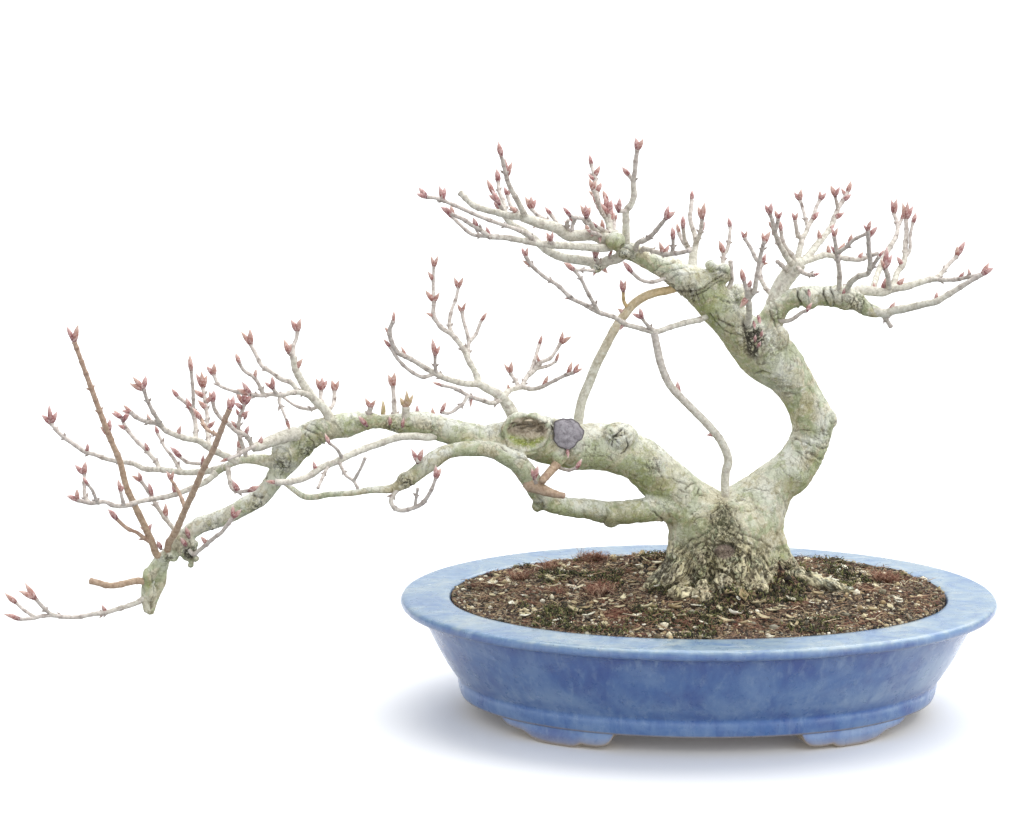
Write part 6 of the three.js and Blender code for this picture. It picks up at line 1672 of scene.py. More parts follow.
# Old wire marks, cracks, scars and knots as seen from the front: [width, depth, dark, x, z, x, z, ...]
# A depth below 0 is a ridge.
STROKES = [
    # the wound on the thick limb, cracked like a star inside a healed ring
    [0.5, 0.9, 1.2, -57, 185.5, -62.5, 188.5], [0.43, 0.8, 1.2, -57, 185.5, -59.5, 190.5],
    [0.65, 1, 1.2, -57, 185.5, -52, 190.5], [0.43, 0.7, 1.2, -56, 186, -50, 187.5],
    [0.43, 0.7, 1.2, -57, 185.5, -53, 182], [0.5, 0.8, 1.2, -57, 185.5, -58.5, 180.5],
    [0.43, 0.7, 1.2, -57, 185.5, -63.5, 183], [1.15, 1.1, 1.2, -57.5, 186, -55, 187],
    [0.65, 0.7, 1.1, -50, 191, -47.4, 185, -49, 178, -53, 175],
    [0.43, 0.5, 0.38, -62, 192, -66.5, 187, -65, 180],
    # round the healed cut
    [0.79, 1, 0.6, -132, 191, -129, 182, -120, 176.5, -110, 176.5, -102, 181, -98.5, 190, -97, 198],
    [0.65, 1.4, 1, -126, 193.5, -118, 196, -108, 194.5, -100, 198],
    [0.58, 0.6, 0.66, -118, 187, -113, 184, -106, 188, -101, 194],
    [0.43, 0.5, 0.57, -124, 191, -115, 190, -106, 192], [1.3, 1.3, 0.95, -97, 196, -94, 188, -92, 180],
    [0.72, 0.4, 0.66, -78, 182, -75, 174], [0.94, 0.4, 0.76, -78, 173, -73, 172],
    # the thick limb
    [1.58, 0.4, 0.71, -31, 171, -27, 163], [1.15, 0.4, 0.66, -36, 166, -29, 164],
    [0.5, 0.6, 0.76, -30, 158, -22, 158.5, -14, 156, -8, 152],
    [0.5, 0.5, 0.66, -28, 162, -24, 156, -26, 150],
    [0.5, 0.7, 0.81, -9, 150, -4, 154, 1, 152, -1, 148, 5, 147],
    [0.5, 0.6, 0.76, -9, 146, -10, 141, -6, 138], [0.43, 0.5, 0.66, -14, 151, -8, 148, -3, 150],
    [0.43, 0.5, 0.66, 0, 155, -1, 149, -3, 146], [0.79, 1, 0.81, -40, 146, -34, 139, -28, 134, -23, 126],
    [0.58, 0.6, 0.57, -32, 142, -24, 138, -18, 131], [0.43, 0.4, 0.57, -30, 150, -20, 148, -12, 144],
    [0.58, 0.5, 0.52, -46, 160, -38, 154, -34, 147], [0.43, 0.3, 0.38, -29, 182, -29, 176],
    [0.43, 0.2, 0.33, -20, 173, -16, 168, -12, 163],
    # the fork
    [0.79, 1.2, 0.95, 15, 144, 13, 138, 9, 132, 10, 125],
    [0.72, 1.2, 0.95, 16, 143, 20, 136, 21, 128, 19, 120],
    [0.58, 0.7, 0.71, 20, 140, 26, 136.5, 34, 136, 40, 138], [0.58, 1, 0.85, 14, 138, 17, 131, 15, 124],
    [0.5, 0.6, 0.76, 9, 132, 2, 131, -3, 128], [0.58, 0.8, 0.76, 23, 133, 27, 127, 26, 119],
    [0.72, 1.1, 0.85, 10, 124, 2, 119, -8, 114, -15, 107], [0.65, 1, 0.85, 8, 117, -2, 112, -12, 106],
    [0.72, 1.1, 0.85, 22, 119, 32, 114, 42, 107, 48, 99],
    [0.65, 0.9, 0.76, 26, 121, 38, 117, 48, 112, 56, 110], [1.73, 1.9, 0.95, 11, 111, 17, 113, 24, 111],
    [0.5, 0.6, 0.57, 52, 122, 56, 115, 60, 108], [0.79, 1, 0.9, 30, 108, 38, 100, 42, 92],
    [0.72, 1, 0.85, 6, 108, 2, 98, -6, 92], [0.79, 1, 0.9, 15, 102, 13, 92, 15, 82],
    [0.79, 1, 0.9, 26, 104, 30, 94, 28, 84],
    # the right trunk
    [0.5, 0.6, 0.71, 62, 191, 71, 190.5, 80, 188.8, 87, 187],
    [0.65, -0.7, 0, 63, 186.6, 72, 183.6, 82, 180.4, 85, 180],
    [0.5, 0.8, 0.85, 64, 185, 70, 182, 78, 179, 85, 178], [0.65, 0.6, 0.66, 64, 176, 69, 173.5, 73, 170],
    [1.15, 0.8, 0.81, 71, 174.6, 76, 173.8, 81, 171.4], [0.65, 0.6, 0.71, 67, 173, 70, 168, 74, 163],
    [0.43, 0.6, 0.57, 79, 210, 79.6, 200, 82, 193, 87, 188.5],
    [0.43, 0.5, 0.57, 81.5, 201, 83.5, 195, 88, 190],
    [0.5, 0.4, 0.47, 67, 229, 71.5, 221, 76, 213, 79, 209],
    [0.58, 0.6, 0.85, 87, 202, 90, 201, 91, 197, 88, 194.6, 86.6, 197],
    [0.58, 0.5, 0.76, 36, 228.5, 44, 229.5, 52, 228], [0.86, 0.4, 0.71, 42, 226, 50, 224, 58, 223],
    [1.15, 0.5, 0.66, 56, 216.5, 62, 214.6, 67, 212], [0.86, 0.3, 0.66, 53, 221, 60, 219],
    [0.43, 0.4, 0.43, 60, 209.6, 70, 210.4, 79, 209.6], [1.01, 0.3, 0.47, 64, 198, 70, 196, 74, 199],
    [0.5, 0.6, 0.62, 30, 149, 37, 150.5, 46, 150, 53, 151.5], [0.58, 0.6, 0.62, 52, 147, 57, 143, 58, 137],
    [0.43, 0.4, 0.47, 36, 148, 36, 141, 42, 134], [0.43, 0.4, 0.47, 46, 146, 45, 138, 50, 131],
    [0.86, 0.4, 0.57, 54, 166, 58, 161, 64, 158], [0.43, 0.4, 0.47, 44, 158, 48, 153, 47, 146],
    # the upper trunk, ringed by old wire marks
    [0.5, 0.6, 0.57, -38, 299, -30, 303.5, -22, 307], [0.5, 0.7, 0.62, -34, 295, -26, 300, -17, 303],
    [0.5, 0.7, 0.62, -29, 292, -21, 297, -12, 299], [0.58, 0.8, 0.66, -24, 289, -15, 294, -6, 295],
    [0.79, 1.1, 0.85, -22, 288, -12, 283, -3, 284, 6, 289, 14, 295],
    [0.58, 0.8, 0.81, -20, 285, -8, 280, 4, 285, 14, 291], [0.58, 0.7, 0.85, -13, 286, -9, 278],
    [0.58, 0.7, 0.85, -9, 286, -5, 277], [0.58, 0.7, 0.85, -5, 286, -1, 276],
    [0.5, 0.6, 0.76, -1, 285, 3, 275], [0.58, 0.8, 0.76, 6, 297, 11, 299, 15, 297, 16, 292],
    [0.43, 0.5, 0.57, 2, 303, 7, 304, 10, 302], [0.79, 1, 0.85, 8, 280, 15, 276.5, 22, 275.6, 27, 279],
    [0.58, 0.6, 0.66, 20, 284, 24, 281, 27, 283], [0.79, 1, 0.85, 11, 272, 14, 264, 21, 260.5, 28, 260],
    [0.72, 0.9, 0.76, 7, 270, 11, 261, 18, 256, 27, 254], [2.16, 1.3, 0.95, 29, 264, 30, 256, 34, 249.5],
    [1.87, 1, 0.85, 36, 263, 36.5, 253], [0.86, 1, 0.81, 44, 270, 48, 262, 52, 256],
    [1.01, 1.3, 0.9, 46, 279, 50, 270, 52, 262],
    # the right limb, knobbed between deep creases
    [1.08, 1.6, 0.95, 63, 284, 65.5, 276, 68, 269], [0.58, 0.8, 0.76, 68, 285, 71, 278, 71, 271],
    [0.94, 1.4, 0.95, 80, 287, 82, 279, 84, 273], [0.79, 1.1, 0.9, 85, 287, 87, 280, 88, 273],
    [0.58, 0.8, 0.76, 90, 285, 93, 278, 94, 271], [0.65, 1, 0.81, 104, 284, 107, 277, 106, 269],
    [0.65, 0.8, 0.76, 112, 280, 113, 274, 117, 269], [0.58, 0.6, 0.76, 97, 284, 101, 279, 99, 273],
    # the long limb: wire spirals, the ringed knuckle and small rotten holes
    [0.58, 0.6, 0.47, -233, 201, -226, 196, -221, 190], [0.58, 0.7, 0.57, -251, 199, -242, 193, -236, 187],
    [0.58, -0.6, 0, -257, 197, -249, 191, -244, 184], [0.58, 0.9, 0.66, -260, 196, -252, 189, -249, 181],
    [0.79, 1.1, 0.81, -266, 192, -257, 189, -252, 182, -252, 176],
    [0.72, 0.8, 0.76, -262, 188, -257, 182, -257, 177],
    [0.72, 1.1, 0.85, -284, 178, -278, 178.6, -273.6, 173, -274, 165, -279, 159],
    [0.5, 0.6, 0.57, -286, 174, -280, 174, -277.4, 168, -280, 163],
    [0.58, 0.6, 0.47, -267, 182, -266, 174, -268, 168], [1.44, 1.4, 0.95, -295, 161, -289, 159],
    [1.15, 0.8, 0.85, -298, 147, -292, 145], [0.86, 0.6, 0.85, -305, 137, -301, 136],
    [1.44, 0.5, 0.66, -331, 130, -322, 126], [1.15, 0.8, 0.85, -359, 103, -351, 103.5],
    [0.72, 1, 0.85, -345, 121, -341, 114, -342, 106, -340, 100], [1.15, 0.6, 0.85, -361, 111, -356, 113],
    [0.5, 0.8, 0.76, -368, 94, -366, 86, -367, 78, -368, 68],
    [0.79, 1, 0.76, -197, 160, -194, 154, -189, 152], [0.58, 0.6, 0.66, -201, 158, -199, 152],
    [0.86, 0.5, 0.66, -190, 194, -198, 193, -206, 195], [0.58, 0.6, 0.47, -141, 194, -140, 184, -142, 178],
    [0.43, 0.4, 0.38, -149, 192, -148, 184], [0.94, 0.8, 0.76, -134, 181, -124, 174, -116, 171],
    [0.72, 0.7, 0.66, -110, 150, -106, 143, -104, 137], [0.58, 0.5, 0.57, -94, 143, -92, 137, -95, 133],
    [0.58, 0.6, 0.57, -62, 137, -60, 131, -64, 127], [0.72, 0.8, 0.76, -46, 310, -51, 314, -53, 308],
    [1.15, 0.5, 0.85, -69, 303, -66, 298],
]

# Rough, flaky spots, speckled with dark and pale, as seen from the front: x, z, size and how much
ROUGH = [
    (35, 253, 10, 1.2), (48, 246, 9, 0.5), (-7, 283, 7, 0.7), (14, 296, 6, 0.6), (102, 276, 8, 0.9),
    (-51, 306, 8, 0.9), (-342, 108, 7, 1), (-352, 121, 5, 0.7), (-293, 160, 4, 0.8), (-357, 103, 4, 0.9),
    (-255, 178, 6, 0.9), (-206, 191, 9, 0.9), (-279, 167, 6, 1), (-31, 167, 6, 0.8), (-97, 190, 4, 0.7),
    (18, 128, 9, 0.8), (18, 112, 9, 0.6), (68, 98, 8, 0.8), (-24, 98, 7, 0.7), (86, 200, 5, 0.3),
    (-106, 140, 5, 0.6), (-64, 132, 5, 0.5), (76, 174, 5, 0.5), (54, 222, 9, 0.4), (-23, 140, 8, 0.4),
    (66, 158, 5, 0.5), (50, 268, 6, 0.6), (-326, 121, 6, 1.1), (-295, 138, 6, 1.1), (-262, 176, 6, 1),
    (-180, 190, 8, 0.7), (24, 279, 6, 0.6), (-86, 176, 5, 0.6), (-196, 156, 5, 1.1), (-68, 300, 5, 1),
    (45, 108, 8, 0.4), (-6, 108, 8, 0.4),
]

# Pale lichen on the bark, and painted highlights on the limbs' lit tops and the right trunk's lit side: x,
# z, size and how much
LICHEN_AND_HIGHLIGHT_SPOTS = [
    (-330, 128, 26, 0.7), (-302, 140, 16, 0.6), (-280, 166, 12, 0.6), (-74, 193, 13, 0.95),
    (-40, 186, 12, 0.9), (-57, 186, 9, 0.9), (-100, 200, 12, 0.9), (-300, 146, 14, 0.8),
    (-347, 120, 9, 0.6), (-22, 172, 8, 0.6), (-16, 296, 12, 0.6), (-3, 290, 8, 0.5), (88, 202, 8, 0.6),
    (88, 184, 8, 0.4), (-238, 198, 10, 0.6), (96, 285, 8, 0.5), (-160, 192, 14, 0.4), (9, 301, 7, 0.9),
    (96, 90, 14, 0.9), (16, 84, 6, 0.7), (4, 75, 6, 0.7), (-278, 160, 24, 0.75), (52, 230, 16, 0.7),
    (-52, 186, 14, 0.8), (-115, 182, 12, 0.4), (24, 274, 14, 0.5),
]

# Darker parts of the bark: x, z, size and how much
SHADY = [
    (-58, 132, 24, 0.5), (-150, 152, 24, 0.22), (-110, 146, 16, 0.22), (60, 150, 15, 0.25), (-10, 147, 22,
                                                                                             0.2),
    (16, 126, 12, 0.3), (46, 122, 12, 0.2),
]

# Dark rotten hollows: x, z, half-width, half-height and depth
HOLLOWS = [(36, 250, 7.5, 12, 1.6), (-97, 192, 2.5, 5, 0.8), (-342, 107, 4, 5, 0.8)]

# Green and yellow-green growth on the bark: x, z, size and how much
MOSSY = [
    (-60, 170, 16, 0.75), (-40, 178, 9, 0.5), (-16, 158, 12, 0.5), (-8, 132, 12, 0.6), (28, 142, 10, 0.6),
    (33, 240, 16, 0.75), (20, 252, 10, 0.7), (72, 205, 7, 0.7), (74, 187, 6, 0.8), (66, 156, 9, 0.7),
    (12, 270, 8, 0.6), (-236, 192, 8, 0.9), (-57, 317, 8, 0.8), (-262, 178, 8, 0.8), (-160, 184, 14, 0.6),
    (-352, 117, 5, 0.8), (-326, 128, 6, 0.7), (-369, 85, 5, 0.8), (-186, 162, 12, 0.6), (-10, 290, 6, 0.3),
    (-48, 307, 6, 0.6), (5, 100, 10, 0.4), (-15, 104, 8, 0.6), (58, 275, 6, 0.5), (-292, 176, 8, 0.7),
    (96, 276, 6, 0.5),
]


@dataclass
class Wound:
    """A cut, scar or hollow that faces the front: its middle as seen, half-width and half-height."""

    x: float
    z: float
    width: float
    height: float

    def polar(self, seen: np.ndarray) -> tuple[np.ndarray, np.ndarray]:
        """How far out of the wound each seen point is, 1 at its edge, and the angle there."""
        x, z = (seen[:, 0] - self.x) / self.width, (seen[:, 1] - self.z) / self.height
        return np.hypot(x, z), np.arctan2(z, x)

    def middle(self, seen: np.ndarray) -> np.ndarray:
        """How much each seen point lies in the wound: 1 in its middle, and falling to 0 past its edge."""
        return np.exp(-self.polar(seen)[0] ** 4)


@dataclass
class Trunk:
    """The trunk with its roots, limbs, healed cuts and scars, in one rough skin."""

    voxel: float = 0.95
    most_faces: int = 160000
    smoothing: int = 6
    callus: Wound = field(default_factory=lambda: Wound(-115, 189, 16, 12.5))
    callus_depth: float = -19.0
    callus_rim: float = 2.9
    scar: Wound = field(default_factory=lambda: Wound(17.5, 107.5, 6.5, 4.5))
    fork_x: float = 16.0
    fork_z: float = 143.0
    least_stroke: float = 0.62
    ball_rings: int = 11
    ball_sides: int = 20
    foot_sides: int = 96
    callus_sides: int = 64
    callus_rim_sides: int = 12
    batch: int = 4000
    limb_sides: int = 24
    spacing: float = 2.0
    foot_x: float = 21.0
    foot_y: float = 15.0
    lobes: int = 5

    def limb_lines(self) -> list[np.ndarray]:
        """Each limb's smooth line, as rows of x, z, depth and radius."""
        return [curve_through(np.array(limb, float), self.spacing) for limb in LIMBS]

    def core(self) -> Skin:
        """The plain solids that the trunk's skin is drawn over."""
        skin = Skin()
        for line in self.limb_lines():
            skin.add_rings(*tube(place(line[:, :3]), line[:, 3], self.limb_sides))
        for root in ROOTS:
            line = curve_through(np.array(root, float), self.spacing)
            skin.add_rings(*tube(line[:, :3], line[:, 3], self.limb_sides))
        for x, z, depth, *radii in [*SWELLINGS, *KNOBS]:
            self.add_ball(skin, place([(x, z, depth)])[0], np.array(radii))
        self.add_foot(skin)
        self.add_callus(skin)
        return skin

    def add_ball(self, skin: Skin, centre: np.ndarray, radii: np.ndarray) -> None:
        """Adds a rounded swelling."""
        rise = np.linspace(-1, 1, self.ball_rings + 2)[1:-1] * math.pi / 2
        turn = circle(self.ball_sides)
        rings = np.stack([np.cos(rise)[:, None] * np.cos(turn), np.cos(rise)[:, None] * np.sin(turn),
                          np.broadcast_to(np.sin(rise)[:, None], (len(rise), len(turn)))], -1)
        skin.add_rings(centre + rings * radii, centre - (0, 0, radii[2]), centre + (0, 0, radii[2]))

    def add_foot(self, skin: Skin) -> None:
        """Adds the foot of the trunk, whose rings widen into surface roots."""
        rows = curve_through(np.array(FOOT_RINGS, float), self.spacing)
        turn = circle(self.foot_sides)
        rings = []
        for height, wide, deep, lobe in rows:
            swell = 1 + lobe * np.cos(self.lobes * turn + 0.6) + lobe * 0.4 * np.cos(3 * turn + 2)
            ribs = 1 + 0.035 * np.cos(13 * turn + 1.3 + 0.02 * height) * step(135, 100, np.array(height))
            lean = (height - 90) * -0.06
            rings.append(np.stack([self.foot_x + lean + np.cos(turn) * wide * swell * ribs,
                                   self.foot_y + np.sin(turn) * deep * swell * ribs,
                                   np.full(self.foot_sides, height)], 1))
        middle = np.array([self.foot_x, self.foot_y, 0])
        skin.add_rings(np.array(rings), middle + (0, 0, rows[0, 0] - 2), middle + (0, 0, rows[-1, 0] + 4))

    def add_callus(self, skin: Skin) -> None:
        """Adds the raised ring round the healed cut."""
        turn, small = circle(self.callus_sides), circle(self.callus_rim_sides)
        wide = self.callus.width - self.callus_rim / 2
        high = self.callus.height - self.callus_rim / 2
        bulge = self.callus_rim * (1 + 0.18 * np.sin(3 * turn + 0.6) + 0.1 * np.sin(7 * turn))
        rings = np.stack([np.cos(turn)[:, None] * (wide + bulge[:, None] * np.cos(small)),
                          -bulge[:, None] * np.sin(small) * 1.1,
                          np.sin(turn)[:, None] * (high + bulge[:, None] * np.cos(small))], -1)
        rings = rings + place([(self.callus.x, self.callus.z, self.callus_depth)])[0]
        count, sides = rings.shape[:2]
        row, side = np.meshgrid(np.arange(count), np.arange(sides), indexing="ij")
        a, b = row * sides + side, row * sides + (side + 1) % sides
        c, d = (row + 1) % count * sides + (side + 1) % sides, (row + 1) % count * sides + side
        skin.add(rings.reshape(-1, 3), np.stack([a, b, c, d], -1).reshape(-1, 4))

    def remeshed(self) -> bpy.types.Object:
        """The solids drawn into one smooth skin."""
        piece = in_scene("trunk_and_limbs", self.core().mesh("trunk_core"))
        wrap = piece.modifiers.new("one_skin", "REMESH")
        wrap.mode, wrap.voxel_size, wrap.adaptivity = "VOXEL", self.voxel * MM, 0.0
        ease = piece.modifiers.new("ease", "SMOOTH")
        ease.factor, ease.iterations = 0.5, self.smoothing
        apply_modifiers(piece)
        return piece

    def along_limbs(self, points: np.ndarray) -> tuple[np.ndarray, np.ndarray, np.ndarray, np.ndarray]:
        """Which limb each point lies on.

        Returns:
            The limb's number, the length along it, the angle round it and its radius there.
        """
        centres, radii, reaches, limbs, sideways, ups = [], [], [], [], [], []
        for number, line in enumerate(self.limb_lines()):
            centre = place(line[:, :3])
            _, across, up = frames_along(centre)
            centres.append(centre)
            radii.append(line[:, 3])
            reaches.append(lengths_along(centre))
            limbs.append(np.full(len(centre), number))
            sideways.append(across)
            ups.append(up)
        centres, radii, reaches = np.vstack(centres), np.concatenate(radii), np.concatenate(reaches)
        limbs, sideways, ups = np.concatenate(limbs), np.vstack(sideways), np.vstack(ups)
        nearest = np.empty(len(points), int)
        for start in range(0, len(points), self.batch):
            part = points[start:start + self.batch]
            away = np.linalg.norm(part[:, None] - centres[None], axis=2) - radii[None]
            nearest[start:start + self.batch] = away.argmin(1)
        out = points - centres[nearest]
        angle = np.arctan2((out * ups[nearest]).sum(1), (out * sideways[nearest]).sum(1))
        return limbs[nearest], reaches[nearest], angle, radii[nearest]

    def dress(self, piece: bpy.types.Object) -> None:
        """Carves the bark into the skin and paints its fissures, moss and pale patches."""
        mesh = piece.data
        count = len(mesh.vertices)
        points, normals = np.empty((count, 3)), np.empty((count, 3))
        mesh.vertices.foreach_get("co", points.ravel())
        mesh.vertices.foreach_get("normal", normals.ravel())
        points = points / MM - POT_SHIFT
        seen = front_view(points)
        facing = step(-0.1, 0.35, -normals[:, 1])
        limb, reach, angle, radius = self.along_limbs(points)
        x, z = seen[:, 0], seen[:, 1]
        height = points[:, 2]

        # the foot's interlaced fissures fan out and down from the fork
        near_foot = step(-70, -45, x)
        warp = np.stack([Noise.smooth(points, 9, 21 + k, 3) for k in range(3)], 1) * 2.6
        wedge = np.exp(-((x - self.fork_x) / (4 + 0.42 * np.maximum(self.fork_z - z, 0))) ** 2)
        wedge *= step(self.fork_z + 5, self.fork_z - 4, z)
        foot = np.clip(step(124, 104, height) * 0.9 + wedge, 0, 1) * step(150, 142, height) * near_foot
        foot *= 1 - 0.85 * np.exp(-(((x - 58) / 13) ** 2)) * step(96, 106, z)
        fan = 1 / (0.5 + np.clip(138 - height, 0, 60) / 38)
        flow = (points - (self.fork_x, self.foot_y, 0)) * np.stack([fan, fan, np.full(count, 0.22)], 1)
        flow += 0.4 * warp
        strings = np.minimum(np.abs(Noise.smooth(flow, 5.4, 31, 2)),
                             1.2 * np.abs(Noise.smooth(flow, 3.8, 37, 2)))
        broken = step(-0.6, 0.25, Noise.smooth(points, 6, 39, 2))
        fissure = step(0.2, 0.0, strings) * foot * broken
        thick = step(6, 13, radius)
        fine = step(0.055, 0.0, Noise.edges(points + 1.6 * warp, 12, 41))
        fine *= step(-0.1, 0.45, Noise.smooth(points, 22, 43, 2)) * 0.8 * thick
        lumps = Noise.smooth(points, 15, 5, 3) * (0.3 + 0.7 * thick)
        rough = Noise.smooth(points, 3.2, 7, 3)
        ribbed = np.stack([reach * 1.5, angle * 1.1, limb * 9.0], 1)
        creases = step(0.35, 0.75, Noise.smooth(ribbed, 2.4, 61, 2)) * step(-0.15, 0.35,
                                                                            Noise.smooth(points, 20, 63))
        creases *= 0.55 * step(2.5, 5, radius) * (1 - foot)
        shift = 0.75 * lumps + 0.4 * rough * (0.7 + foot) - 1.15 * fissure - 0.5 * fine - 0.4 * creases
        shift += (0.35 + 0.5 * foot) * Noise.smooth(points * (1, 1, 0.55), 6, 71, 2)
        crack = np.clip(fissure * 0.75 + fine * 0.7 + 0.2 * creases, 0, 1)
        earthy = step(11, 2, height - soil_height(points[:, 0], points[:, 1])) * near_foot
        earthy *= step(-0.35, 0.35, Noise.smooth(points, 6.5, 73, 2) + 0.3 * rough)
        shift += 0.9 * earthy * rough
        scar = self.scar.middle(seen) * facing
        shift -= 0.7 * scar

        # the healed cut: a flaky hollow under the upper rim of its raised ring, a mossy lip below
        out, turn = self.callus.polar(seen)
        at_cut = facing * step(22, 10, np.abs(points[:, 1] - self.callus_depth))
        inside = step(0.92, 0.74, out) * at_cut
        hollow = inside * step(-2.5, 2.5, z - (184.5 + 0.25 * np.abs(x + 113)))
        flakes = Noise.smooth(points * (0.6, 1, 2.2), 3.4, 83, 2)
        shift += inside * (2.2 - 1.2 * out) - hollow * (2.2 + 0.9 * flakes)
        crack = crack * (1 - inside) + 0.55 * hollow * step(0.2, 0.6, flakes)

        wavy = seen + 0.5 * rough[:, None] + 0.5 * warp[:, :2]
        faded = 0.35 + 0.65 * step(-0.5, 0.25, Noise.smooth(points, 4.5, 87, 2))
        for width, depth, dark, *path in STROKES:
            away = line_gap(wavy, max(0.9 * width, self.least_stroke), path)
            line = np.exp(-away ** 2) * facing
            shift += depth * (0.55 * np.exp(-((away - 1.9) / 0.8) ** 2) * facing - line)
            crack = np.maximum(crack, 0.84 * dark * faded
                               * line ** 1.5) if depth > 0 else crack * (1 - line)
        flaky = dabbed(x, z, ROUGH, np.zeros(count), facing)
        shift += 1.3 * flaky * Noise.smooth(points, 2.8, 89, 2)
        speckle = step(0.5, -0.05, Noise.smooth(points, 2.3, 101, 2))
        for *place_and_size, depth in HOLLOWS:
            rot = Wound(*place_and_size).middle(seen) * facing
            shift -= depth * rot * speckle
            crack = np.maximum(crack, 1.1 * rot * speckle)
        crack = np.clip(crack, 0, 1)

        moss = np.clip(0.8 * Noise.smooth(points, 20, 91, 3) + 0.12 - 0.35 * normals[:, 2], 0,
                       1) * step(2.5, 8, radius)
        moss = dabbed(x, z, MOSSY, moss, facing * (0.75 + 0.5 * rough))
        moss = np.maximum(np.clip(moss, 0, 1), 1.9 * (inside - hollow) * step(6, -4, z - 186))
        moss = np.maximum(moss * (1 - 0.7 * earthy),
                          0.6 * earthy * step(0.0, 0.4, Noise.smooth(points, 11, 75, 2)))
        crack = np.maximum(crack, 0.62 * earthy * step(0.3, -0.3, Noise.smooth(points, 4, 77, 2)))
        # pale lichen and painted highlight: upward faces are painted paler as if lit from above, less so
        # round the fork and at the foot
        pale = np.clip(0.2 + 0.75 * normals[:, 2] + 0.55 * Noise.smooth(points, 12, 95, 3), 0,
                       1) * (1 - 0.8 * foot)
        pale *= 1 - 0.6 * np.exp(-(((x - 22) / 40) ** 2 + ((z - 132) / 30) ** 2))
        pale = dabbed(x, z, LICHEN_AND_HIGHLIGHT_SPOTS, pale, 0.85 + 0.5 * rough)
        pale = np.clip(pale * (1 - inside) + 0.5 * flaky * step(0.1, 0.5, Noise.smooth(points, 3, 99)), 0,
                       1)
        shade = dabbed(x, z, SHADY, np.zeros(count), 0.8 + 0.6 * rough)
        brown = np.clip(hollow * 0.85 + step(0.2, 0.7, Noise.smooth(points, 9, 97, 2)) * 0.45 * foot, 0, 1)

        moved = points + normals * (shift * np.clip(radius / 7, 0.35, 1))[:, None]
        mesh.vertices.foreach_set("co", ((moved + POT_SHIFT) * MM).ravel())
        paints = {"crack": crack, "moss": moss, "pale": pale, "brown": brown, "foot": foot,
                  "earthy": earthy,
                  "scar": scar, "shade": np.clip(shade, 0, 1), "flaky": np.clip(flaky, 0,
                                                                                1), "flow": flow * MM}
        for name, values in paints.items():
            lay_paint(mesh, name, values)
        shade_smooth(mesh)

    def build(self) -> bpy.types.Object:
        """Builds the trunk in place of its node."""
        piece = self.remeshed()
        self.dress(piece)
        faces = sum(len(face.vertices) - 2 for face in piece.data.polygons)
        thin = piece.modifiers.new("fewer_faces", "DECIMATE")
        thin.ratio = min(1.0, self.most_faces / faces)
        apply_modifiers(piece)
        mesh = piece.data
        bpy.data.objects.remove(piece)
        return make_piece("trunk_and_limbs", mesh, [BarkFinish().material()], ("trunk",))

    def build_shorts(self, looks: list[bpy.types.Material]) -> bpy.types.Object:
        """Builds the short twigs and resting buds that stand straight on the limbs."""
        skin = Skin("node", "age", "along", "edge", "tone")
        trunks = self.limb_lines()
        for number, twig in enumerate(LIMB_TWIGS):
            Spray("short", [twig]).add_to(skin, trunks, 400 + number)
        chance = np.random.default_rng(77)
        for base, tip in LOOSE_BUDS:
            ends = place(np.array([base, tip], float))
            Bud().add(skin, ends[0], ends[1], chance)
        return make_piece("short_twigs", skin.mesh("short_twigs"), looks)


@dataclass
class SealingPatch:
    """The dark sealing paste on the limb's second cut."""

    x: float = -88.0
    z: float = 188.5
    depth: float = -21.5
    width: float = 10.0
    height: float = 10.5
    thickness: float = 3.0
    rows: int = 39
    sides: int = 72

    def build(self) -> bpy.types.Object:
        """Builds the patch: a thin dome with an uneven edge."""
        skin = Skin("rim")
        rise = np.linspace(-1, 1, self.rows + 2)[1:-1] * math.pi / 2
        turn = circle(self.sides)
        # the dome's axis points to the front, so its rim is the seen outline
        radial = np.cos(rise)[:, None] * (1 + 0.07 * np.sin(3 * turn + 1) + 0.05 * np.sin(5 * turn + 2)
                                               + 0.025 * np.sin(11 * turn))
        rings = np.stack([radial * np.cos(turn) * self.width,
                          np.broadcast_to(np.sin(rise)[:, None], radial.shape) * self.thickness,
                          radial * np.sin(turn) * self.height], -1)
        centre = place([(self.x, self.z, self.depth)])[0]
        flat = rings.reshape(-1, 3)
        bumps = 0.5 * Noise.smooth(flat, 3.2, 12, 3).reshape(rings.shape[:2])
        rings = rings + np.array([0, -1, 0]) * bumps[..., None]
        rim = step(0.86, 1.0, np.cos(rise))
        rings = rings[:, ::-1] + centre
        skin.add_rings(rings, centre - (0, self.thickness, 0), centre + (0, self.thickness, 0), rim=rim)
        return make_piece("sealing_patch", skin.mesh("sealing_patch"), [PasteFinish().material()],
                          ("sealing_paste",))


# The soil


def soil_height(x: np.ndarray, y: np.ndarray) -> np.ndarray:
    """The height of the soil: it rises in a low mound to the trunk."""
    away = np.hypot((x - SOIL_CENTRE[0]) / SOIL_SPREAD[0], (y - SOIL_CENTRE[1]) / SOIL_SPREAD[1])
    mound = SOIL_RISE * np.cos(np.minimum(away, 1) * math.pi / 2) ** 0.9
    bumps = 0.8 * np.sin(0.09 * x + 1) * np.sin(0.12 * y) * np.minimum(4 * (1.1 - away), 1)
    fine = Noise.smooth(np.stack([x, y, np.zeros_like(x)], 1), 9, 15, 3)
    collar = COLLAR_RISE * np.exp(-(np.hypot(x - COLLAR_CENTRE[0], y - COLLAR_CENTRE[1])
                                    / COLLAR_SIZE) ** 6) * (1 + 0.5 * fine)
    for at_x, at_y, size, rise in CLUMPS:
        mound = mound + rise * bell(x - at_x, y - at_y, size) * (1 + 0.6 * fine)
    return SOIL_EDGE + mound + bumps + collar + 0.9 * fine * np.clip(4 * (1.12 - away), 0.2, 1)


def clumped(spots: np.ndarray) -> np.ndarray:
    """How much each spot, a row of x and y, lies on a mossy clump."""
    dabs = [(x, y, size, min(rise / 7, 1.2)) for x, y, size, rise in CLUMPS]
    return dabbed(*spots.T, dabs, np.zeros(len(spots)))


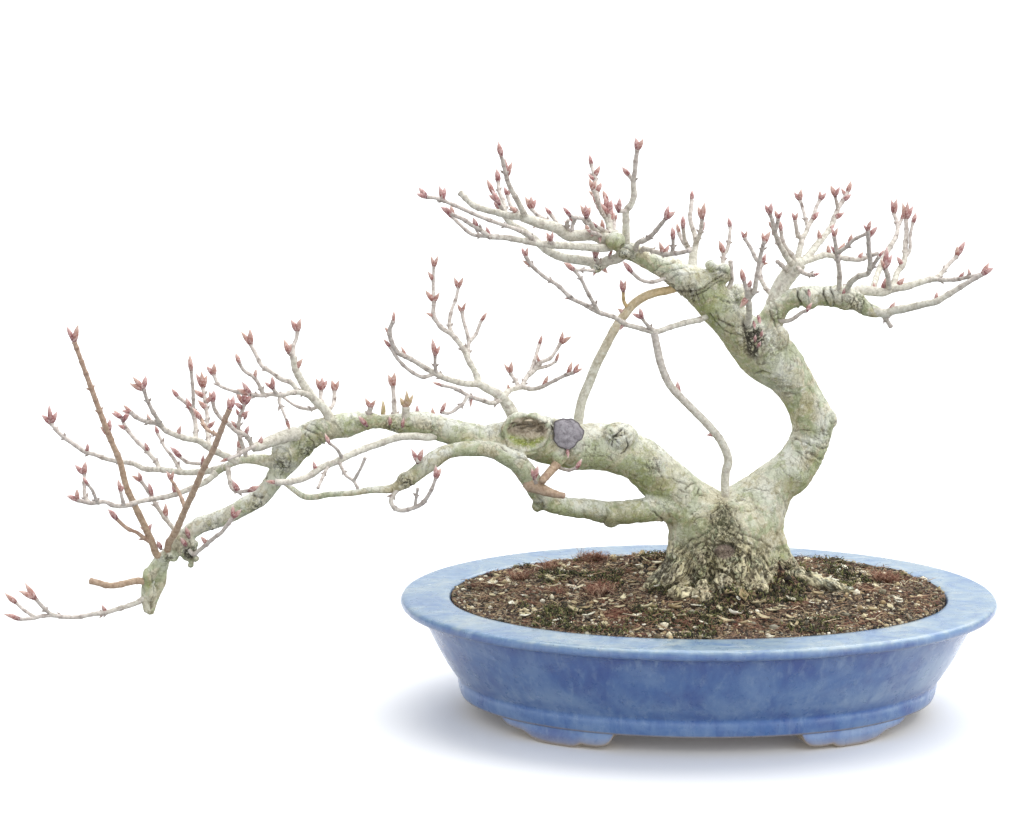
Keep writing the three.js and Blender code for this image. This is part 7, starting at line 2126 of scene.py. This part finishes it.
def turned(bodies: np.ndarray, angles: np.ndarray) -> np.ndarray:
    """Bodies of points, each turned about its own upright axis."""
    c, s = np.cos(angles)[:, None], np.sin(angles)[:, None]
    x, y, z = bodies[..., 0], bodies[..., 1], bodies[..., 2]
    return np.stack([x * c - y * s, x * s + y * c, z + 0 * c], -1)


@dataclass(frozen=True)
class Strand:
    """The least and most length, rise and radius of strands, and how high their feet lie over the soil."""

    length: tuple[float, float]
    rise: tuple[float, float]
    radius: tuple[float, float]
    lift: float


@dataclass
class Soil:
    """The soil that fills the pot, with its grains, fibres, moss and leaf litter."""

    sides: int = 220
    rings: int = 70
    edge_inset: float = 34.2
    grain_count: int = 7200
    fibre_count: int = 8000
    moss_count: int = 6800
    leaf_count: int = 170
    straw_count: int = 260
    grain_sizes: tuple[float, ...] = (0.7, 1.0, 1.5, 2.3)
    grain_shares: tuple[float, ...] = (0.42, 0.34, 0.19, 0.05)
    over_floor: float = 1.7
    rim_points: int = 720
    leaf_rows: int = 9
    leaf_columns: int = 7
    leaf_thickness: float = 0.35
    # curly tufts of fibre: x, y and size
    tufts: tuple[tuple[float, float, float], ...] = (
        (-58, -62, 14), (-142, 20, 12), (-96, -10, 9), (-12, -84, 8), (66, -52, 9), (112, -10, 9),
        (-70, 92, 10), (150, 34, 8))
    # tufts that stand up: x, y and size
    tall_tufts: tuple[tuple[float, float, float], ...] = (
        (-70, 90, 4), (-64, 86, 3), (132, 20, 3), (126, 24, 3), (-66, -14, 5), (-120, 34, 3),
        (-100, 60, 3), (20, 100, 4))
    # large pale leaf pieces in front of the trunk: x and y
    near_leaves: tuple[tuple[float, float], ...] = (
        (-34, -58), (-26, -64), (-19, -60), (-12, -66), (2, -74), (10, -60), (20, -70), (34, -58),
        (-4, -54), (26, -56), (50, -58), (-16, -76), (12, -82), (36, -78), (44, -66), (-44, -70),
        (58, -44), (-60, -48), (-84, -58))

    def bed(self) -> bpy.types.Object:
        """Builds the body of earth."""
        skin = Skin()
        edge = oval_ring(self.edge_inset, SOIL_EDGE, self.sides)
        wall = [oval_ring(inset + 0.6, height, self.sides)
                for inset, height in ((50, POT_FLOOR + self.over_floor), (43, 30), (37, 42), (34, 56),
                                      (33.6, 70))]
        top = []
        for share in np.linspace(1, 0.02, self.rings):
            x = edge[:, 0] * share + SOIL_CENTRE[0] * (1 - share)
            y = edge[:, 1] * share + SOIL_CENTRE[1] * (1 - share)
            top.append(np.stack([x, y, soil_height(x, y)], 1))
        rings = np.array([*wall, *top])
        flat = rings.reshape(-1, 3)
        crumbs = Noise.smooth(flat, 3.2, 17, 2).reshape(rings.shape[:2])
        crumbs[:len(wall) + 1] = 0
        rings[..., 2] += 0.8 * crumbs
        peak = np.array([*SOIL_CENTRE, rings[-1, :, 2].mean()])
        skin.add_rings(rings, np.array([0, 0, POT_FLOOR + self.over_floor]), peak)
        return make_piece("soil_bed", skin.mesh("soil_bed"), [EarthFinish().material()], ("soil",))

    def spots(self, count: int, chance: np.random.Generator, edge: float = 0.985) -> np.ndarray:
        """Random places on the soil, as rows of x and y."""
        turn = chance.uniform(0, 2 * math.pi, count)
        out = np.sqrt(chance.uniform(0, edge ** 2, count))
        ring = oval_ring(self.edge_inset, 0, self.rim_points)
        rim = ring[(turn / (2 * math.pi) * self.rim_points).astype(int) % self.rim_points]
        return rim[:, :2] * out[:, None]

    def grains(self) -> bpy.types.Object:
        """Builds the loose grains."""
        chance = np.random.default_rng(5)
        ball = bmesh.new()
        bmesh.ops.create_icosphere(ball, subdivisions=1, radius=1.0)
        shape = np.array([vertex.co[:] for vertex in ball.verts])
        faces = np.array([[vertex.index for vertex in face.verts] for face in ball.faces])
        ball.free()
        count = self.grain_count
        spots = self.spots(count, chance, 1.0)
        size = chance.choice(self.grain_sizes, count, p=self.grain_shares) * chance.uniform(0.8, 1.2, count)
        radii = size[:, None] * chance.uniform(0.5, 1.2, (count, 3)) * (1, 1, 0.75)
        rough = 1 + 0.6 * (chance.uniform(size=(count, len(shape))) - 0.5)
        points = turned(shape * rough[..., None] * radii[:, None], chance.uniform(0, 2 * math.pi, count))
        points[..., :2] += spots[:, None]
        points[..., 2] += (soil_height(*spots.T) + 0.35 * radii[:, 2])[:, None]
        skin = Skin("tone")
        skin.add_copies(points, faces,
                        tone=chance.uniform(size=count) ** 0.8 * (1 - 0.6 * np.clip(clumped(spots), 0, 1)))
        return make_piece("soil_grains", skin.mesh("soil_grains"), [GrainFinish().material()])

    def strands(self, name: str, spots: np.ndarray, size: Strand, look: StrandFinish,
                seed: int) -> bpy.types.Object:
        """Builds thin strands that lie or stand on the soil.

        Args:
            name: the piece's name.
            spots: the x and y of their feet.
            size: their measures.
            look: their finish.
            seed: picks their small differences.
        """
        chance = np.random.default_rng(seed)
        count, share = len(spots), np.linspace(0, 1, 4)
        angle = chance.uniform(0, 2 * math.pi, count)[:, None] + chance.uniform(-0.9, 0.9,
                                                                                count)[:, None] * share
        length, rise, thick = (chance.uniform(*span, count)[:, None] for span in (size.length, size.rise,
                                                                                  size.radius))
        flat = np.cumsum(np.stack([np.cos(angle), np.sin(angle)], -1) * length[..., None] / 3, 1)
        flat -= flat[:, :1]
        lift = size.lift + soil_height(*spots.T)[:, None] + rise * length * np.sin(share * math.pi * 0.6)
        line = np.concatenate([spots[:, None] + flat, lift[..., None]], -1)
        side = np.stack([-np.sin(angle), np.cos(angle), np.zeros_like(angle)], -1)
        thin = (thick * np.array([1, 0.9, 0.7, 0.3]))[..., None]
        rings = np.stack([line + (0, 0, 1.4) * thin, line - side * thin, line + side * thin], 2)
        ring = np.arange(3)
        quads = [[a + 3 * row, (a + 1) % 3 + 3 * row, (a + 1) % 3 + 3 * row + 3, a + 3 * row + 3]
                 for row in range(3) for a in ring]
        skin = Skin("tone")
        tone = chance.uniform(size=count)
        bodies = rings.reshape(count, 12, 3)
        skin.add_copies(bodies, np.array(quads), tone=tone)
        skin.faces.append(np.vstack([np.arange(count)[:, None] * 12 + (2, 1, 0),
                                     np.arange(count)[:, None] * 12 + (9, 10, 11)]))
        skin.looks.append(np.zeros(2 * count, int))
        return make_piece(name, skin.mesh(name), [look.material()])

    def fibres(self) -> bpy.types.Object:
        """Builds the brown and rust-red fibres that mat the surface."""
        chance = np.random.default_rng(6)
        spots = self.spots(self.fibre_count, chance)
        mat = Noise.smooth(np.column_stack([spots, np.zeros(len(spots))]), 26, 19, 2)
        spots = spots[mat - 2 * clumped(spots) > chance.uniform(-1.0, 0.6, len(spots))]
        tufts = [chance.normal((x, y), size * 0.42, (int(14 * size), 2)) for x, y, size in self.tufts]
        look = StrandFinish("soil_fibre", srgb(44, 34, 30), srgb(112, 80, 62), srgb(206, 182, 146),
                            tinted=0.4)
        return self.strands("soil_fibres", np.vstack([spots, *tufts]),
                            Strand((2, 8), (0.0, 0.45), (0.13, 0.3), 0.5), look, 16)

    def straws(self) -> bpy.types.Object:
        """Builds the longer dry straws that lie over the rest."""
        chance = np.random.default_rng(10)
        look = StrandFinish("dry_straw", srgb(122, 88, 66), srgb(178, 146, 116), srgb(228, 212, 180))
        return self.strands("dry_straws", self.spots(self.straw_count, chance, 0.95),
                            Strand((6, 19), (0.0, 0.12), (0.18, 0.36), 1.5), look, 19)

    def standing_tufts(self) -> bpy.types.Object:
        """Builds the curly tufts that stand up over the pot's edge."""
        chance = np.random.default_rng(9)
        spots = [chance.normal((x, y), size, (int(60 * size), 2)) for x, y, size in self.tall_tufts]
        look = StrandFinish("tuft_fibre", srgb(88, 60, 50), srgb(166, 120, 96), srgb(224, 194, 166),
                            tinted=0.3)
        return self.strands("standing_tufts", np.vstack(spots),
                            Strand((3, 7), (0.5, 1.2), (0.12, 0.24), 0.4), look, 18)

    def moss(self) -> bpy.types.Object:
        """Builds the green moss in patches round the trunk and over the soil."""
        chance = np.random.default_rng(7)
        spots = self.spots(self.moss_count * 3, chance)
        patch = Noise.smooth(np.column_stack([spots, np.zeros(len(spots))]), 20, 23, 2)
        near = np.hypot((spots[:, 0] - 15) / 70, (spots[:, 1] - 5) / 55)
        for x, y, size in MOSS_SPOTS:
            patch += 0.6 * bell(spots[:, 0] - x, spots[:, 1] - y, size)
        spots = spots[patch + clumped(spots) + 0.6 * np.exp(-near ** 2) > 0.55][:self.moss_count]
        look = StrandFinish("green_moss", srgb(24, 26, 18), srgb(70, 72, 40), srgb(140, 142, 84))
        return self.strands("moss", spots, Strand((1.4, 3.2), (0.5, 1.3), (0.25, 0.45), 0.3), look, 17)

    def litter(self) -> bpy.types.Object:
        """Builds the pale dead leaf pieces."""
        chance = np.random.default_rng(8)
        rows, across = self.leaf_rows, self.leaf_columns
        skin = Skin("tone")
        i, j = np.meshgrid(np.arange(rows - 1), np.arange(across - 1), indexing="ij")
        a = (i * across + j).ravel()
        size = rows * across
        quads = np.stack([a, a + across, a + across + 1, a + 1], 1)
        border = [*range(across - 1), *range(across - 1, size - 1, across),
                  *range(size - 1, size - across, -1),
                  *range(size - across, 0, -across)]
        hem = [[k, n, n + size, k + size] for k, n in zip(border, border[1:] + border[:1])]
        faces = np.vstack([quads, quads[:, ::-1] + size, hem])
        spots = np.vstack([self.spots(self.leaf_count, chance, 0.93), self.near_leaves])
        share, side = np.linspace(0, 1, rows)[:, None], np.linspace(-1, 1, across)[None]
        for order, ((x, y), z) in enumerate(zip(spots, soil_height(*spots.T))):
            large = 1.7 if order >= self.leaf_count else 1.0
            length, width = large * chance.uniform(3, 9), large * chance.uniform(0.9, 2.6)
            curl = chance.uniform(0.1, 0.6)
            half = width * np.sin(math.pi * np.clip(share, 0.04, 0.96)) ** 0.8 * chance.uniform(0.55, 1.15,
                                                                                                (rows, 1))
            bend = curl * side ** 2 * width + length * curl * (share - 0.5) ** 2
            grid = np.stack([(share - 0.5) * length + 0 * side, half * side, bend], -1).reshape(-1, 3)
            grid[:, 2] += 0.3 * Noise.smooth(grid + x, 2.5, 25) + grid[:, 0] * chance.uniform(-0.35, 0.35)
            top = turned(grid[None], np.array([chance.uniform(0, 2 * math.pi)]))[0] + (x, y, z + 1.6)
            skin.add(np.vstack([top, top - (0, 0, self.leaf_thickness)]), faces, tone=chance.uniform())
        look = StrandFinish("dead_leaf", srgb(160, 142, 106), srgb(214, 204, 170), srgb(242, 240, 224))
        return make_piece("leaf_litter", skin.mesh("leaf_litter"), [look.material()])

    def build(self) -> None:
        """Builds all of the soil's pieces."""
        self.bed()
        self.grains()
        self.fibres()
        self.straws()
        self.standing_tufts()
        self.moss()
        self.litter()


# The studio


@dataclass
class Studio:
    """The camera, the floor and the light."""

    lens: float = 89.0
    pitch: float = 9.67
    floor_radius: float = 60.0
    floor_drop: float = 0.2
    floor_sides: int = 96
    sensor: float = 36.0
    clips: tuple[float, float] = (0.05, 200.0)
    sky: Colour = (0.93, 0.96, 1.0)
    sky_strength: float = 1.0
    ground_strength: float = 0.35
    # how far below the horizon the sky is at its dimmest
    dusk: float = -0.35
    # each lamp's name, tilt, turn, strength and angle
    lamps: tuple[tuple[str, float, float, float, float], ...] = (
        ("top_light", 26, 150, 2.6, 70), ("front_light", 62, 50, 1.3, 80))

    def camera(self) -> None:
        """Stands the camera where the picture is taken from."""
        view = bpy.data.cameras.new("view")
        view.lens, view.sensor_width, view.sensor_fit = self.lens, self.sensor, "HORIZONTAL"
        view.clip_start, view.clip_end = self.clips
        stand = in_scene("view", view)
        stand.location = Vector(((EYE + POT_SHIFT) * MM).tolist())
        stand.rotation_euler = (math.radians(90 - self.pitch), 0, 0)
        bpy.context.scene.camera = stand

    def floor(self) -> None:
        """Lays the pale floor under the feet."""
        made = bmesh.new()
        bmesh.ops.create_circle(made, cap_ends=True, segments=self.floor_sides, radius=self.floor_radius)
        floor = in_scene("floor", as_mesh(made, "floor"))
        floor.location = (POT_SHIFT[0] * MM, 0, -self.floor_drop * MM)
        floor.data.materials.append(FloorFinish().material())
        floor.visible_diffuse = False

    def light(self) -> None:
        """Lights the scene: an even bright sky, dimmer from below, and one wide soft lamp above."""
        world = bpy.data.worlds.new("studio_sky")
        world.use_nodes = True
        bpy.context.scene.world = world
        nodes, links = world.node_tree.nodes, world.node_tree.links
        back = nodes["Background"]
        where, split, ramp = (nodes.new("ShaderNode" + kind) for kind in ("TexCoord", "SeparateXYZ",
                                                                          "MapRange"))
        links.new(where.outputs["Generated"], split.inputs[0])
        links.new(split.outputs["Z"], ramp.inputs["Value"])
        for socket, value in (("From Min", self.dusk), ("From Max", 0.0), ("To Min", self.ground_strength),
                              ("To Max", self.sky_strength)):
            ramp.inputs[socket].default_value = value
        links.new(ramp.outputs["Result"], back.inputs["Strength"])
        back.inputs["Color"].default_value = (*self.sky, 1.0)
        for name, tilt, turn, strength, angle in self.lamps:
            lamp = bpy.data.lights.new(name, "SUN")
            lamp.energy, lamp.angle = strength, math.radians(angle)
            in_scene(name, lamp).rotation_euler = (math.radians(tilt), 0, math.radians(turn))
        bpy.context.scene.view_settings.view_transform = "Standard"

    def build(self) -> None:
        """Sets up the whole studio."""
        self.camera()
        self.floor()
        self.light()


def main() -> None:
    """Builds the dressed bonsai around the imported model."""
    global POT_SHIFT
    logging.basicConfig(level=logging.INFO, format="%(name)s %(message)s")
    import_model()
    low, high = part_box("pot")
    POT_SHIFT = np.array([(low.x + high.x) / 2, (low.y + high.y) / 2, low.z]) / MM
    Studio().build()
    OvalPot().build()
    DrainNet().build(-1, "drain_net_left", "drain_mesh_left")
    DrainNet().build(1, "drain_net_right", "drain_mesh_right")
    Soil().build()
    trunk = Trunk()
    trunk.build()
    SealingPatch().build()
    bud = BudFinish().material()
    barks = {
        Wood.OLD: TwigFinish("old_twig_bark", srgb(216, 207, 199), srgb(172, 160, 149),
                             srgb(118, 95, 86)).material(),
        Wood.YOUNG: TwigFinish("young_twig_bark", srgb(194, 168, 148), srgb(162, 132, 110),
                               srgb(118, 82, 68),
                               srgb(190, 166, 140), srgb(150, 122, 98), 0.08).material(),
        Wood.GRAFT: TwigFinish("graft_bark", srgb(212, 188, 142), srgb(184, 156, 106), srgb(120, 98, 66),
                               srgb(208, 204, 188), srgb(168, 165, 144)).material(),
    }
    trunk.build_shorts([barks[Wood.OLD], bud, barks[Wood.YOUNG]])
    trunks = trunk.limb_lines()
    for seed, (name, twigs) in enumerate(SPRAYS.items(), 100):
        wood = WOODS.get(name, Wood.OLD)
        Spray(name, twigs, wood).build(trunks, seed, [barks[wood], bud])


if __name__ == "__main__":
    main()
